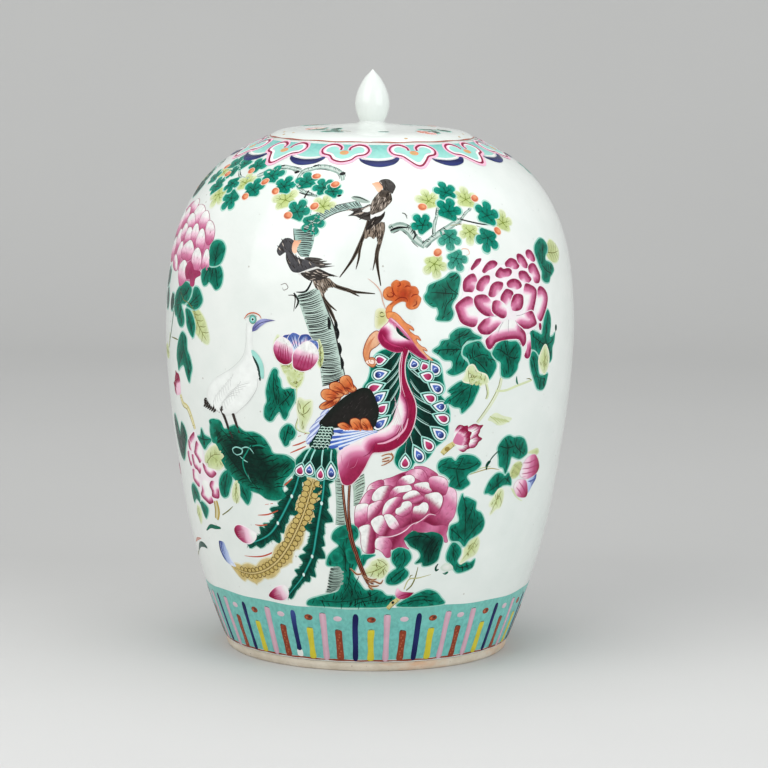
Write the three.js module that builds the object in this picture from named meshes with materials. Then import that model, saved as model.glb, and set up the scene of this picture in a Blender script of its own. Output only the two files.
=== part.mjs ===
// A porcelain ginger jar of the tall, melon-shaped kind, with a flat lid and a bud-shaped knop.
//
// The jar is thrown in sections that are luted together with slip before firing: a foot ring and a base
// disc, a lower and an upper body that meet at the belly, and a mouth rim with a recessed lid seat.
// The lid is a shallow dome with a locating flange luted underneath and a solid knop on top.
// The jar and the lid are the two loose pieces: the lid lifts straight up out of its seat.
//
// Millimetres, +Z up, origin at the centre of the foot's resting face. Every section is a solid of
// revolution about Z, so each one is a closed profile of radius and height, turned by LatheGeometry.

import * as THREE from "three";

// Driving dimensions.
const TOTAL_HEIGHT = 385; // foot to the tip of the knop
const WALL = 6; // body wall, square to the surface
const SEGMENTS = 64; // facets round a full turn
const KNOP_SEGMENTS = 40;

// Foot.
const FOOT_HEIGHT = 6.5; // bare clay below the glaze
const FOOT_RADIUS = 94.5; // at the top of the bare ring
const FOOT_CHAMFER = 1.4;
const FOOT_INNER_RADIUS = 84;
const BASE_RECESS = 8; // depth of the hollow under the base
const BASE_THICKNESS = 7;

// Outer outline of the body, glaze edge to mouth, as [radius, height].
const BODY_OUTLINE = [
  [96, FOOT_HEIGHT],
  [103, 25],
  [113, 55],
  [121.8, 90],
  [128.4, 130],
  [133.9, 170],
  [136.5, 210],
  [135, 245],
  [129.7, 275],
  [119.3, 300],
  [105.3, 318],
  [89.7, 330],
  [70.5, 340],
];
const BELLY_SEAM = 0.47; // share of the outline where the lower body meets the upper one
const LOWER_ROWS = 9;
const UPPER_ROWS = 12;

// Mouth and lid.
const RIM_SHARE = 0.93; // share of the outline where the upper body meets the mouth rim
const RIM_ROWS = 3;
const MOUTH_RADIUS = 54;
const SEAT_RADIUS = 69; // the recess that the lid's edge drops into
const SEAT_HEIGHT = 337.2;
const RIM_DEPTH = 8; // clay below the seat
const LID_UNDER_RISE = 5;
const LID_UNDER_RADIUS = 45;
// Top of the lid from its edge inwards, as [radius, height]: a sloping lip, a nearly level field and
// a low rise to the knop.
const LID_OUTLINE = [
  [68.3, 340.4],
  [65, 342.4],
  [59, 344.9],
  [46, 346.3],
  [28, 347.5],
  [16, 348.9],
  [8.5, 349.6],
];
const LID_ROWS = 9;
const FLANGE_OUTER = 52;
const FLANGE_INNER = 47;
const FLANGE_DEPTH = 12;

// Knop: a pointed bud on a short waist, as [radius, height above the lid's top].
const KNOP_WAIST = 7.9;
const KNOP_WIDEST = 11.4;
const KNOP_SEAT = LID_OUTLINE.at(-1)[1];

const vector = (radius, height) => new THREE.Vector2(radius, height);

// A closed profile turned about Z. Profiles run anticlockwise seen with the radius to the right and
// the height up, from the axis outwards along the bottom and back along the top.
function turned(name, profile, material, segments = SEGMENTS) {
  const points = [...profile];
  if (points[0].x > 0) points.push(points[0].clone());
  const geometry = new THREE.LatheGeometry(points, segments);
  geometry.rotateX(Math.PI / 2);
  const mesh = new THREE.Mesh(geometry, material);
  mesh.name = name;
  return mesh;
}

const outline = new THREE.SplineCurve(BODY_OUTLINE.map(([r, z]) => vector(r, z)));

// The outline between two shares of its length, in rows steps.
function outerRows(from, to, rows) {
  return Array.from({ length: rows + 1 }, (_, i) =>
    outline.getPointAt(from + ((to - from) * i) / rows),
  );
}

// The same stretch, one wall thickness inside, from its top to its foot. The rows at the two ends
// keep the height of the outer ones, so that the sections meet on flat rings.
function innerRows(from, to, rows) {
  return outerRows(from, to, rows)
    .map((point, i) => {
      const share = from + ((to - from) * i) / rows;
      const along = outline.getTangentAt(share);
      const inside = point.clone().add(vector(-along.y, along.x).multiplyScalar(WALL));
      if (i > 0 && i < rows) return inside;
      return vector(point.x - WALL / along.y, point.y);
    })
    .reverse();
}

// Materials.
const glazed = () =>
  new THREE.MeshStandardMaterial({ color: 0xe6ece6, roughness: 0.14, metalness: 0 });
const biscuit = () =>
  new THREE.MeshStandardMaterial({ color: 0xdccdb4, roughness: 0.8, metalness: 0 });

// Foot and base.
function footRing() {
  return turned(
    "foot_ring",
    [
      vector(FOOT_INNER_RADIUS + FOOT_CHAMFER, 0),
      vector(FOOT_RADIUS - 2 * FOOT_CHAMFER, 0),
      vector(FOOT_RADIUS - FOOT_CHAMFER / 2, FOOT_CHAMFER),
      vector(FOOT_RADIUS, FOOT_HEIGHT),
      vector(FOOT_INNER_RADIUS, FOOT_HEIGHT),
      vector(FOOT_INNER_RADIUS, FOOT_CHAMFER),
    ],
    biscuit(),
  );
}

// The floor of the jar, held inside the lower body and standing on the foot ring's inner edge.
const BASE_TOP = BASE_RECESS + BASE_THICKNESS;
const BASE_RADIUS = FOOT_INNER_RADIUS + 6;
function baseDisc() {
  return turned(
    "base_disc",
    [
      vector(0, BASE_RECESS),
      vector(FOOT_INNER_RADIUS, BASE_RECESS),
      vector(FOOT_INNER_RADIUS, FOOT_HEIGHT),
      vector(BASE_RADIUS, FOOT_HEIGHT),
      vector(BASE_RADIUS, BASE_TOP),
      vector(0, BASE_TOP),
    ],
    glazed(),
  );
}

// Body. The lower section grips the base disc at its foot, and thins to the wall above it.
function lowerBody() {
  const outer = outerRows(0, BELLY_SEAM, LOWER_ROWS);
  const inner = innerRows(0, BELLY_SEAM, LOWER_ROWS).filter((p) => p.y > BASE_TOP + 3);
  return turned(
    "lower_body",
    [vector(BASE_RADIUS, FOOT_HEIGHT), ...outer, ...inner, vector(BASE_RADIUS, BASE_TOP)],
    glazed(),
  );
}

function upperBody() {
  const outer = outerRows(BELLY_SEAM, RIM_SHARE, UPPER_ROWS);
  const inner = innerRows(BELLY_SEAM, RIM_SHARE, UPPER_ROWS);
  return turned("upper_body", [...outer, ...inner], glazed());
}

// The mouth rim carries the shoulder in to the lid's edge, and holds the flat seat inside it.
function mouthRim() {
  const outer = outerRows(RIM_SHARE, 1, RIM_ROWS);
  const joint = outer[0];
  const wallWidth = WALL / outline.getTangentAt(RIM_SHARE).y;
  return turned(
    "mouth_rim",
    [
      vector(MOUTH_RADIUS, SEAT_HEIGHT - RIM_DEPTH),
      vector(joint.x - wallWidth, joint.y),
      ...outer,
      vector(SEAT_RADIUS, outer[RIM_ROWS].y),
      vector(SEAT_RADIUS, SEAT_HEIGHT),
      vector(MOUTH_RADIUS, SEAT_HEIGHT),
    ],
    biscuit(),
  );
}

// Lid. Its underside is hollowed a little inside the flange.
function lidDisc() {
  const top = new THREE.SplineCurve(LID_OUTLINE.map(([r, z]) => vector(r, z)));
  return turned(
    "lid_disc",
    [
      vector(0, SEAT_HEIGHT + LID_UNDER_RISE),
      vector(LID_UNDER_RADIUS / 2, SEAT_HEIGHT + LID_UNDER_RISE * 0.75),
      vector(LID_UNDER_RADIUS, SEAT_HEIGHT),
      vector(LID_OUTLINE[0][0], SEAT_HEIGHT),
      ...top.getSpacedPoints(LID_ROWS),
      vector(0, LID_OUTLINE.at(-1)[1]),
    ],
    glazed(),
  );
}

function lidFlange() {
  const foot = SEAT_HEIGHT - FLANGE_DEPTH;
  return turned(
    "lid_flange",
    [
      vector(FLANGE_INNER, foot),
      vector(FLANGE_OUTER - 1, foot),
      vector(FLANGE_OUTER, foot + 1),
      vector(FLANGE_OUTER, SEAT_HEIGHT),
      vector(FLANGE_INNER, SEAT_HEIGHT),
    ],
    biscuit(),
  );
}

function knop() {
  const rise = TOTAL_HEIGHT - KNOP_SEAT;
  const bud = new THREE.SplineCurve([
    vector(KNOP_WAIST, KNOP_SEAT),
    vector(KNOP_WAIST + 0.2, KNOP_SEAT + rise * 0.03),
    vector(KNOP_WIDEST - 0.9, KNOP_SEAT + rise * 0.2),
    vector(KNOP_WIDEST, KNOP_SEAT + rise * 0.38),
    vector(KNOP_WIDEST - 1.6, KNOP_SEAT + rise * 0.6),
    vector(KNOP_WIDEST - 5.6, KNOP_SEAT + rise * 0.82),
    vector(1.3, KNOP_SEAT + rise * 0.965),
  ]);
  return turned(
    "knop",
    [vector(0, KNOP_SEAT), ...bud.getSpacedPoints(14), vector(0, TOTAL_HEIGHT)],
    glazed(),
    KNOP_SEGMENTS,
  );
}

const jar = new THREE.Group();
jar.add(footRing(), baseDisc(), lowerBody(), upperBody(), mouthRim());

const lid = new THREE.Group();
lid.add(lidDisc(), lidFlange(), knop());

const gingerJar = new THREE.Group();
gingerJar.add(jar, lid);

export default gingerJar;
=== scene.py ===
"""A covered ginger jar in white porcelain, painted in overglaze enamels.

The porcelain is turned about the jar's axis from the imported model's own outline. The painting is a set
of thin raised enamel pieces that lie on the glaze. Each one is a panel of brush shapes, drawn flat in
millimetres and then wrapped round the jar.
"""

import math

import bpy
import numpy as np
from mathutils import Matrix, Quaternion, Vector
from mathutils.geometry import delaunay_2d_cdt


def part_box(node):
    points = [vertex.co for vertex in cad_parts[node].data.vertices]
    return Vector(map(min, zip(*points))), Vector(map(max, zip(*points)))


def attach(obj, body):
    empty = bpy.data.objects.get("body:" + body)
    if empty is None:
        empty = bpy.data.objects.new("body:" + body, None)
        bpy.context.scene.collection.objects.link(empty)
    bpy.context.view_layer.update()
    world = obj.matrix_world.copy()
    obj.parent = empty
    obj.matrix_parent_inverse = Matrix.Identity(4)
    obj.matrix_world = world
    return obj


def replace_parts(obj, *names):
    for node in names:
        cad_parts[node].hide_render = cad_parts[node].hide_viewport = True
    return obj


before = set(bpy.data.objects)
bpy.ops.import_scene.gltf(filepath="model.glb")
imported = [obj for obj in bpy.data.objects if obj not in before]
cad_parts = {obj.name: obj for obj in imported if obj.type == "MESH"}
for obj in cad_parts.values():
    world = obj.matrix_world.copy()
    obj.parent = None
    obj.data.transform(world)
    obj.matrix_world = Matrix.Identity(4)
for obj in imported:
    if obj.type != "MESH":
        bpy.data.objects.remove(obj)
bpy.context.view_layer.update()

MM = 0.001
rng = np.random.default_rng(11)


# ---------------------------------------------------------------- the jar's outline


def rows(*nodes):
    """Radius and height in mm of every ring of vertices in some CAD nodes."""
    found = set()
    for node in nodes:
        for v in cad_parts[node].data.vertices:
            found.add((round(math.hypot(v.co.x, v.co.y) / MM, 2), round(v.co.z / MM, 2)))
    return sorted(found)


def convex_outside(points, low, high):
    """The outer outline, foot to mouth, of rings whose outline is convex."""
    start, end = low, high
    chain = []
    for p in sorted((p for p in points if low[1] <= p[1] <= high[1]), key=lambda p: (p[1], -p[0])):
        while len(chain) >= 2:
            (r0, z0), (r1, z1) = chain[-2:]
            if (r1 - r0) * (p[1] - z0) - (z1 - z0) * (p[0] - r0) > 1e-6:
                break
            chain.pop()
        chain.append(p)
    return [start, *[p for p in chain if start[1] < p[1] < end[1]], end]


class Spline:
    """A natural cubic through points, measured along its length in mm."""

    def __init__(self, points):
        self.p = np.array(points, float)
        self.t = np.r_[0, np.cumsum(np.hypot(*np.diff(self.p, axis=0).T))]
        n, h = len(self.t), np.diff(self.t)
        a = np.eye(n)
        b = np.zeros((n, 2))
        for i in range(1, n - 1):
            a[i, i - 1 : i + 2] = h[i - 1], 2 * (h[i - 1] + h[i]), h[i]
            b[i] = 3 * ((self.p[i + 1] - self.p[i]) / h[i] - (self.p[i] - self.p[i - 1]) / h[i - 1])
        self.c = np.linalg.solve(a, b)
        self.length = self.t[-1]

    def __call__(self, s, slope=False):
        s = np.clip(np.asarray(s, float), 0, self.length)
        i = np.clip(np.searchsorted(self.t, s, side="right") - 1, 0, len(self.t) - 2)
        h, d = (self.t[i + 1] - self.t[i])[..., None], (s - self.t[i])[..., None]
        c0, c1 = self.c[i], self.c[i + 1]
        b = (self.p[i + 1] - self.p[i]) / h - h * (2 * c0 + c1) / 3
        k = (c1 - c0) / (3 * h)
        return b + d * (2 * c0 + 3 * k * d) if slope else self.p[i] + d * (b + d * (c0 + k * d))


FOOT_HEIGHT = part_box("lower_body")[0][2] / MM
MOUTH_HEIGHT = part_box("mouth_rim")[1][2] / MM
SAME_LEVEL = 0.02  # mm within which two rows of vertices are at one height
body_rows = rows("lower_body", "upper_body", "mouth_rim")


def edge_at(height):
    """The outermost row of the body at a height, as (radius, height)."""
    return max(p for p in body_rows if abs(p[1] - height) < SAME_LEVEL)


SKIN_INSET = 0.6  # the enamels' height, so that they stay inside the model's box
body_outline = convex_outside(body_rows, edge_at(FOOT_HEIGHT), edge_at(MOUTH_HEIGHT))
outline = Spline([(r - SKIN_INSET, z) for r, z in body_outline])
JAR_TOP = outline.length  # the lid's edge, in mm along the outline from the glaze's lower edge


def skin(azimuth, height, lift=0.0):
    """Points on the jar: degrees round from the front, mm up along the outline, mm off the glaze."""
    at, slope = outline(height), outline(height, slope=True)
    slope = slope / np.linalg.norm(slope, axis=-1, keepdims=True)
    r = at[..., 0] + lift * slope[..., 1]
    z = at[..., 1] - lift * slope[..., 0]
    a = np.radians(azimuth)
    return np.stack([r * np.sin(a), -r * np.cos(a), z], -1) * MM


def radius(height):
    return float(outline(height)[0])


# ---------------------------------------------------------------- node materials


class Nodes:
    """A short way to write a node material."""

    def __init__(self, name):
        self.material = bpy.data.materials.new(name)
        self.material.use_nodes = True
        self.tree = self.material.node_tree
        self.shader = self.tree.nodes["Principled BSDF"]

    def add(self, kind, **settings):
        node = self.tree.nodes.new("ShaderNode" + kind)
        for key, value in settings.items():
            if key in node.inputs:
                self.feed(node.inputs[key], value)
            else:
                setattr(node, key, value)
        return node

    def feed(self, socket, value):
        if isinstance(value, bpy.types.NodeSocket):
            self.tree.links.new(value, socket)
        elif isinstance(value, bpy.types.Node):
            self.tree.links.new(value.outputs[0], socket)
        else:
            socket.default_value = value

    def set(self, **sockets):
        for key, value in sockets.items():
            self.feed(self.shader.inputs[key.replace("_", " ")], value)
        return self.material

    def place(self, scale=(1, 1, 1)):
        mapping = self.add("Mapping", Scale=scale)
        self.feed(mapping.inputs["Vector"], self.add("TexCoord").outputs["Object"])
        return mapping.outputs[0]

    def noise(self, scale, detail=3.0, roughness=0.5, stretch=(1, 1, 1)):
        node = self.add("TexNoise", Scale=scale, Detail=detail, Roughness=roughness)
        self.feed(node.inputs["Vector"], self.place(stretch))
        return node.outputs["Fac"]

    def ramp(self, value, *stops):
        node = self.add("ValToRGB")
        self.feed(node.inputs["Fac"], value)
        marks = node.color_ramp.elements
        while len(marks) < len(stops):
            marks.new(0.5)
        for mark, (at, colour) in zip(marks, stops):
            mark.position = at
            mark.color = (*colour, 1) if isinstance(colour, tuple) else (colour, colour, colour, 1)
        return node.outputs["Color"]

    def mix(self, factor, a, b, kind="MIX"):
        node = self.add("Mix", data_type="RGBA", blend_type=kind)
        for socket, value in zip((node.inputs[0], node.inputs[6], node.inputs[7]), (factor, a, b)):
            self.feed(socket, (*value, 1) if isinstance(value, tuple) else value)
        return node.outputs[2]

    def maths(self, operation, a, b=0.0, clamp=False):
        node = self.add("Math", operation=operation, use_clamp=clamp)
        self.feed(node.inputs[0], a)
        self.feed(node.inputs[1], b)
        return node.outputs[0]

    def bump(self, height, distance, under=None):
        """A bump by so many metres, over another one if it is given."""
        node = self.add("Bump", Distance=distance, Strength=1.0)
        self.feed(node.inputs["Height"], height)
        if under is not None:
            self.feed(node.inputs["Normal"], under)
        return node.outputs[0]

    def specks(self, scale, size, chance):
        """Small round spots, a chance of one in each cell, as 0 to 1."""
        cells = self.add("TexVoronoi", feature="F1", Scale=scale)
        self.feed(cells.inputs["Vector"], self.place())
        near = self.maths("LESS_THAN", cells.outputs["Distance"], size)
        value = self.add("SeparateColor", Color=cells.outputs["Color"]).outputs[0]
        pick = self.maths("LESS_THAN", value, chance)
        return self.maths("MULTIPLY", near, pick)


GLAZE_WHITE, GLAZE_GREEN = (0.80, 0.825, 0.79), (0.70, 0.75, 0.715)


def glaze():
    n = Nodes("glaze")
    pool = n.noise(9, 2, stretch=(1, 1, 0.6))
    colour = n.ramp(pool, (0.3, GLAZE_WHITE), (0.75, GLAZE_GREEN))
    cloud = n.ramp(n.noise(60, 4), (0.35, (0.94, 0.955, 0.95)), (0.7, (1, 1, 1)))
    colour = n.mix(0.8, colour, cloud, "MULTIPLY")
    iron = n.specks(130, 0.085, 0.10)
    colour = n.mix(n.maths("MULTIPLY", iron, 0.55), colour, (0.30, 0.25, 0.20))
    pinholes = n.specks(240, 0.14, 0.05)
    colour = n.mix(n.maths("MULTIPLY", pinholes, 0.25), colour, (0.45, 0.45, 0.42))
    waves = n.bump(n.noise(22, 2, stretch=(1, 1, 1.5)), 0.0009)
    peel = n.bump(n.noise(320, 2), 0.00006, under=waves)
    pits = n.bump(n.maths("SUBTRACT", 1.0, pinholes), 0.0001, under=peel)
    rough = n.maths("ADD", n.maths("MULTIPLY", n.noise(45, 3), 0.10), 0.12)
    return n.set(Base_Color=colour, Roughness=rough, Normal=pits, IOR=1.5, Coat_Weight=0.15,
        Coat_Roughness=0.04)


def biscuit():
    n = Nodes("biscuit")
    colour = n.ramp(n.noise(70, 5, 0.6), (0.3, (0.50, 0.43, 0.33)), (0.7, (0.66, 0.60, 0.50)))
    burn = n.ramp(n.noise(28, 4, 0.6, stretch=(1, 1, 2.5)), (0.52, 0.0), (0.68, 1.0))
    colour = n.mix(n.maths("MULTIPLY", burn, 0.6), colour, (0.60, 0.30, 0.14))
    grit = n.specks(420, 0.2, 0.10)
    colour = n.mix(n.maths("MULTIPLY", grit, 0.7), colour, (0.16, 0.12, 0.09))
    grain = n.bump(n.noise(900, 4, 0.65), 0.00025)
    turning = n.bump(n.noise(40, 3, stretch=(0.3, 0.3, 14)), 0.0004, under=grain)
    rough = n.maths("ADD", n.maths("MULTIPLY", n.noise(200, 3), 0.2), 0.68)
    return n.set(Base_Color=colour, Roughness=rough, Normal=turning, IOR=1.45)


def enamel():
    """Painted colour from the mesh, streaked by the brush where the paint's alpha says so."""
    n = Nodes("enamel")
    paint = n.add("Attribute", attribute_name="paint")
    streaks = n.ramp(n.noise(420, 4, 0.62, stretch=(1, 1, 0.7)), (0.32, 0.55), (0.6, 1.12))
    colour = n.mix(paint.outputs["Alpha"], paint.outputs["Color"], streaks, "MULTIPLY")
    wash = n.ramp(n.noise(150, 3), (0.3, 0.9), (0.7, 1.06))
    colour = n.mix(0.6, colour, wash, "MULTIPLY")
    lumps = n.bump(n.noise(260, 3), 0.00016)
    grain = n.bump(n.noise(1500, 2), 0.00002, under=lumps)
    rough = n.maths("ADD", n.maths("MULTIPLY", n.noise(180, 3), 0.14), 0.12)
    return n.set(Base_Color=colour, Roughness=rough, Normal=grain, IOR=1.5, Specular_IOR_Level=0.11)


GLAZE, BISCUIT, ENAMEL = glaze(), biscuit(), enamel()


# ---------------------------------------------------------------- the porcelain

TURNS = 288  # facets round a full turn
KNOP_TURNS = 96
ROUND_STEPS = 4  # straight runs in a rounded corner
WALL = 6.0  # mm, the jar's wall, square to its surface


def new_piece(name, verts, faces, materials, body, indices=None):
    mesh = bpy.data.meshes.new(name)
    mesh.from_pydata([tuple(v) for v in verts], [], [tuple(f) for f in faces])
    for material in materials:
        mesh.materials.append(material)
    if indices is not None:
        mesh.polygons.foreach_set("material_index", np.asarray(indices, np.int32))
    mesh.polygons.foreach_set("use_smooth", np.full(len(mesh.polygons), True))
    piece = bpy.data.objects.new(name, mesh)
    bpy.context.scene.collection.objects.link(piece)
    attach(piece, body)
    return piece


def turned(name, profile, body, turns=TURNS):
    """A body of revolution. The profile runs round the section with the solid on its left, as
    (radius mm, height mm, material of the span that starts here)."""
    materials = list(dict.fromkeys(p[2] for p in profile))
    angle = np.arange(turns) * 2 * np.pi / turns
    verts, rings, faces, indices = [], [], [], []
    for r, z, _ in profile:
        if r < 1e-6:
            rings.append([len(verts)] * turns)
            verts.append((0, 0, z * MM))
        else:
            rings.append(range(len(verts), len(verts) + turns))
            verts += [(r * MM * math.sin(a), -r * MM * math.cos(a), z * MM) for a in angle]
    closed = profile[0][0] > 1e-6
    for k in range(len(profile) if closed else len(profile) - 1):
        low, high = rings[k], rings[(k + 1) % len(rings)]
        for i in range(turns):
            j = (i + 1) % turns
            face = list(dict.fromkeys((low[i], low[j], high[j], high[i])))
            faces.append(face)
            indices.append(materials.index(profile[k][2]))
    return new_piece(name, verts, faces, materials, body, indices)


def round_corner(before, corner, after, size):
    """Points of a small round between two straight runs."""
    p0, p1, p2 = (np.array(p[:2], float) for p in (before, corner, after))
    a = p1 + (p0 - p1) / np.linalg.norm(p0 - p1) * size
    b = p1 + (p2 - p1) / np.linalg.norm(p2 - p1) * size
    for t in np.arange(ROUND_STEPS + 1) / ROUND_STEPS:
        yield (1 - t) ** 2 * a + 2 * t * (1 - t) * p1 + t * t * b


def rounded(points, material, closed):
    """(radius, height[, round[, material]]) corners as a profile with their rounds drawn in."""
    out = []
    for i, p in enumerate(points):
        size = p[2] if len(p) > 2 else 0
        own = p[3] if len(p) > 3 else material
        if size and (closed or 0 < i < len(points) - 1):
            for q in round_corner(points[i - 1], p, points[(i + 1) % len(points)], size):
                out.append((max(q[0], 0), q[1], own))
        else:
            out.append((p[0], p[1], own))
    return out


floor_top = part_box("base_disc")[1][2] / MM
seat_in = min(r for r, z in rows("mouth_rim"))
seat_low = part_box("mouth_rim")[0][2] / MM
seat_out = edge_at(MOUTH_HEIGHT)[0]
seat_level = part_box("lid_disc")[0][2] / MM
seat_wall = max(r for r, z in rows("mouth_rim") if abs(z - seat_level) < SAME_LEVEL)
recess_radius = min(r for r, z in rows("foot_ring"))
recess_level = min(z for r, z in rows("base_disc") if r < 1)
foot_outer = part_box("foot_ring")[1][0] / MM
flange_in, flange_out = min(rows("lid_flange"))[0], max(rows("lid_flange"))[0]
flange_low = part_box("lid_flange")[0][2] / MM


def jar_shell():
    outer = [(*outline(s), GLAZE) for s in np.linspace(0, JAR_TOP - 0.8, 130)]
    inner = []
    for s in np.linspace(JAR_TOP * 0.93, 16, 70):
        at, slope = outline(s), outline(s, slope=True)
        slope = slope / np.linalg.norm(slope)
        inner.append((at[0] - WALL * slope[1], at[1] + WALL * slope[0], GLAZE))
    lip = [(seat_out - 1.0, MOUTH_HEIGHT - 0.1), (seat_wall + 0.2, MOUTH_HEIGHT - 0.3, 0.5)]
    floor_edge = floor_top + 72  # mm from the axis, where the floor turns up into the wall
    profile = [
        *rounded(
            [
                (0, recess_level),
                (recess_radius - 0.4, recess_level, 1.2),
                (recess_radius - 0.4, FOOT_HEIGHT - 2.5),
                (recess_radius + 1.5, FOOT_HEIGHT - 0.4),
                (foot_outer + 0.6, FOOT_HEIGHT - 0.2),
            ],
            GLAZE,
            False,
        ),
        *outer,
        *rounded([outer[-1][:2], *lip, (seat_wall + 0.2, seat_level - 1)], GLAZE, False)[1:],
        (seat_in + 3, seat_level - 2, GLAZE),
        (seat_in + 3, seat_low + 1, GLAZE),
        *inner,
        *rounded([inner[-1][:2], (floor_edge, floor_top, 3), (0, floor_top)], GLAZE, False)[1:],
    ]
    shell = turned("jar_shell", profile, "jar")
    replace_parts(shell, "lower_body", "upper_body", "base_disc")


def mouth_seat():
    """The bare ledge that the lid lies on, and the throat below it."""
    corners = [
        (seat_in + 5, seat_low),
        (seat_wall + 0.25, seat_low + 2),
        (seat_wall + 0.25, MOUTH_HEIGHT - 1.6),
        (seat_wall, MOUTH_HEIGHT - 1.6),
        (seat_wall, seat_level, 0.5),
        (seat_in, seat_level, 0.9),
        (seat_in, seat_low, 1.5),
    ]
    seat = turned("mouth_seat", rounded(corners, BISCUIT, True), "jar")
    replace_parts(seat, "mouth_rim")


def foot():
    """The bare ring that the jar stands on, trimmed with a knife at both edges."""
    corners = [
        (recess_radius, 0, 1.2),
        (foot_outer - 1.2, 0, 1.1),
        (foot_outer - 0.2, 2.6, 0.8),
        (foot_outer, FOOT_HEIGHT - 0.8, 0.5),
        (foot_outer - 1, FOOT_HEIGHT, 0.3),
        (recess_radius, FOOT_HEIGHT),
    ]
    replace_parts(turned("foot", rounded(corners, BISCUIT, True), "jar"), "foot_ring")


def lid_shell():
    top_rows = [p for p in rows("lid_disc") if p[1] > seat_level + 3 and p[0] > 1]
    edge = max(top_rows)
    chain = [edge]
    for p in sorted(top_rows, reverse=True):
        if p[1] > chain[-1][1]:
            chain.append(p)
    top = Spline(chain)
    dome = [(*top(s), GLAZE) for s in np.linspace(1.2, top.length, 60)]
    under_rise = min(z for r, z in rows("lid_disc") if r < 1)
    bottom = [
        (0, under_rise),
        (flange_in - 9, under_rise - 1.6, 3),
        (flange_in - 0.3, seat_level + 0.4, 0.8),
        (flange_in, seat_level, 0.2, BISCUIT),
        (edge[0] - 0.6, seat_level, 0.6, BISCUIT),
        (edge[0] - 0.05, seat_level + 1.0, 0.5, GLAZE),
        (edge[0] - 0.05, edge[1] - 0.6, 0.9, GLAZE),
        (dome[0][0], dome[0][1], 0, GLAZE),
    ]
    profile = [*rounded(bottom, GLAZE, False)[:-1], *dome, (0, dome[-1][1] + 0.02, GLAZE)]
    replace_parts(turned("lid_shell", profile, "lid"), "lid_disc")
    return top


def lid_flange():
    corners = [
        (flange_in, flange_low, 0.8),
        (flange_out - 0.5, flange_low, 1.0),
        (flange_out, flange_low + 3, 0.6),
        (flange_out, seat_level + 0.2),
        (flange_in, seat_level + 0.2),
    ]
    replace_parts(turned("lid_flange_ring", rounded(corners, BISCUIT, True), "lid"),
        "lid_flange")


def knop():
    found = sorted((p for p in rows("knop") if p[0] > 0.1), key=lambda p: p[1])
    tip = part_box("knop")[1][2] / MM
    side = Spline([*found, (0.25, tip - 0.12)])
    waist = found[0]
    fillet = [(waist[0] + 3.5, waist[1] - 0.25), (waist[0] + 1.3, waist[1] + 0.35),
        (waist[0] + 0.25, waist[1] + 1.4)]
    skirt = Spline(fillet)
    profile = [(0, waist[1] - 0.6, GLAZE), (waist[0] + 3.5, waist[1] - 0.6, GLAZE)]
    profile += [(*skirt(s), GLAZE) for s in np.linspace(0, skirt.length, 6)]
    profile += [(*side(s), GLAZE) for s in np.linspace(2.2, side.length, 60)]
    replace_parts(turned("knop_bud", [*profile, (0, tip, GLAZE)], "lid", KNOP_TURNS), "knop")


jar_shell()
mouth_seat()
foot()
lid_outline = lid_shell()
lid_flange()
knop()


# ---------------------------------------------------------------- the painter's engine
#
# Everything is drawn on one flat canvas that wraps round the jar: x is the angle from the front times
# DEGREE, and y the height along the outline, both in mm. A shape is drawn over the ones before it.

CANVAS_RADIUS = 125  # mm, where the canvas has its true width
DEGREE = math.radians(1) * CANVAS_RADIUS  # canvas mm in a degree
PAINT_LIFT, EDGE_LIFT = 0.16, 0.03  # mm of enamel above the glaze, and at the edge of a panel
RISE_REACH = 2.5  # mm in from its edge where a raised shape reaches its full height
ROW_GAP, JITTER, EDGE_GAP = 0.87, 0.2, 0.3  # of the grid's pitch: rows apart, random shift, gap to lines
CHUNK = 4000  # points compared with a line at one time
THINNEST = 0.06  # mm, the narrowest brush line
DARKENING = 0.30  # how much darker paints are deepened, so that they look like glassy enamel


def curve(points, closed=False, steps=6):
    """A smooth line through points. A point given twice makes a corner."""
    p = np.asarray(points, float)
    n = len(p)
    if n < 3:
        return p
    out = []
    t = np.linspace(0, 1, steps, endpoint=False)[:, None]
    for i in range(n if closed else n - 1):
        if closed:
            p0, p1, p2, p3 = (p[(i + k) % n] for k in (-1, 0, 1, 2))
        else:
            p0, p1, p2, p3 = (p[min(max(i + k, 0), n - 1)] for k in (-1, 0, 1, 2))
        if np.allclose(p1, p2):
            continue
        out.append(
            p1
            + t * (p2 - p0) / 2
            + t**2 * (p0 - 2.5 * p1 + 2 * p2 - p3 / 2)
            + t**3 * (1.5 * (p1 - p2) + (p3 - p0) / 2)
        )
    if not closed:
        out.append(p[-1:])
    return np.concatenate(out)


def inside(points, poly):
    """Which points a polygon winds round."""
    a, b = poly, np.roll(poly, -1, 0)
    found = np.zeros(len(points), bool)
    for start in range(0, len(points), CHUNK):
        x, y = points[start : start + CHUNK, :1], points[start : start + CHUNK, 1:]
        with np.errstate(divide="ignore", invalid="ignore"):
            at = a[:, 0] + (y - a[:, 1]) / (b[:, 1] - a[:, 1]) * (b[:, 0] - a[:, 0])
        up, down = (a[:, 1] <= y) & (b[:, 1] > y), (a[:, 1] > y) & (b[:, 1] <= y)
        found[start : start + CHUNK] = ((up & (x < at)).sum(1) - (down & (x < at)).sum(1)) != 0
    return found


def distance(points, poly, closed=True):
    """Distance from points to a line of points."""
    a = poly if closed else poly[:-1]
    b = np.roll(poly, -1, 0) if closed else poly[1:]
    d = b - a
    best = np.full(len(points), 1e9)
    length = np.maximum((d**2).sum(1), 1e-12)
    for start in range(0, len(points), CHUNK):
        q = points[start : start + CHUNK, None, :] - a
        t = np.clip((q * d).sum(2) / length, 0, 1)[..., None]
        best[start : start + CHUNK] = np.sqrt((((q - t * d) ** 2).sum(2)).min(1))
    return best


def smooth(x):
    x = np.clip(x, 0, 1)
    return x * x * (3 - 2 * x)


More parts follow.
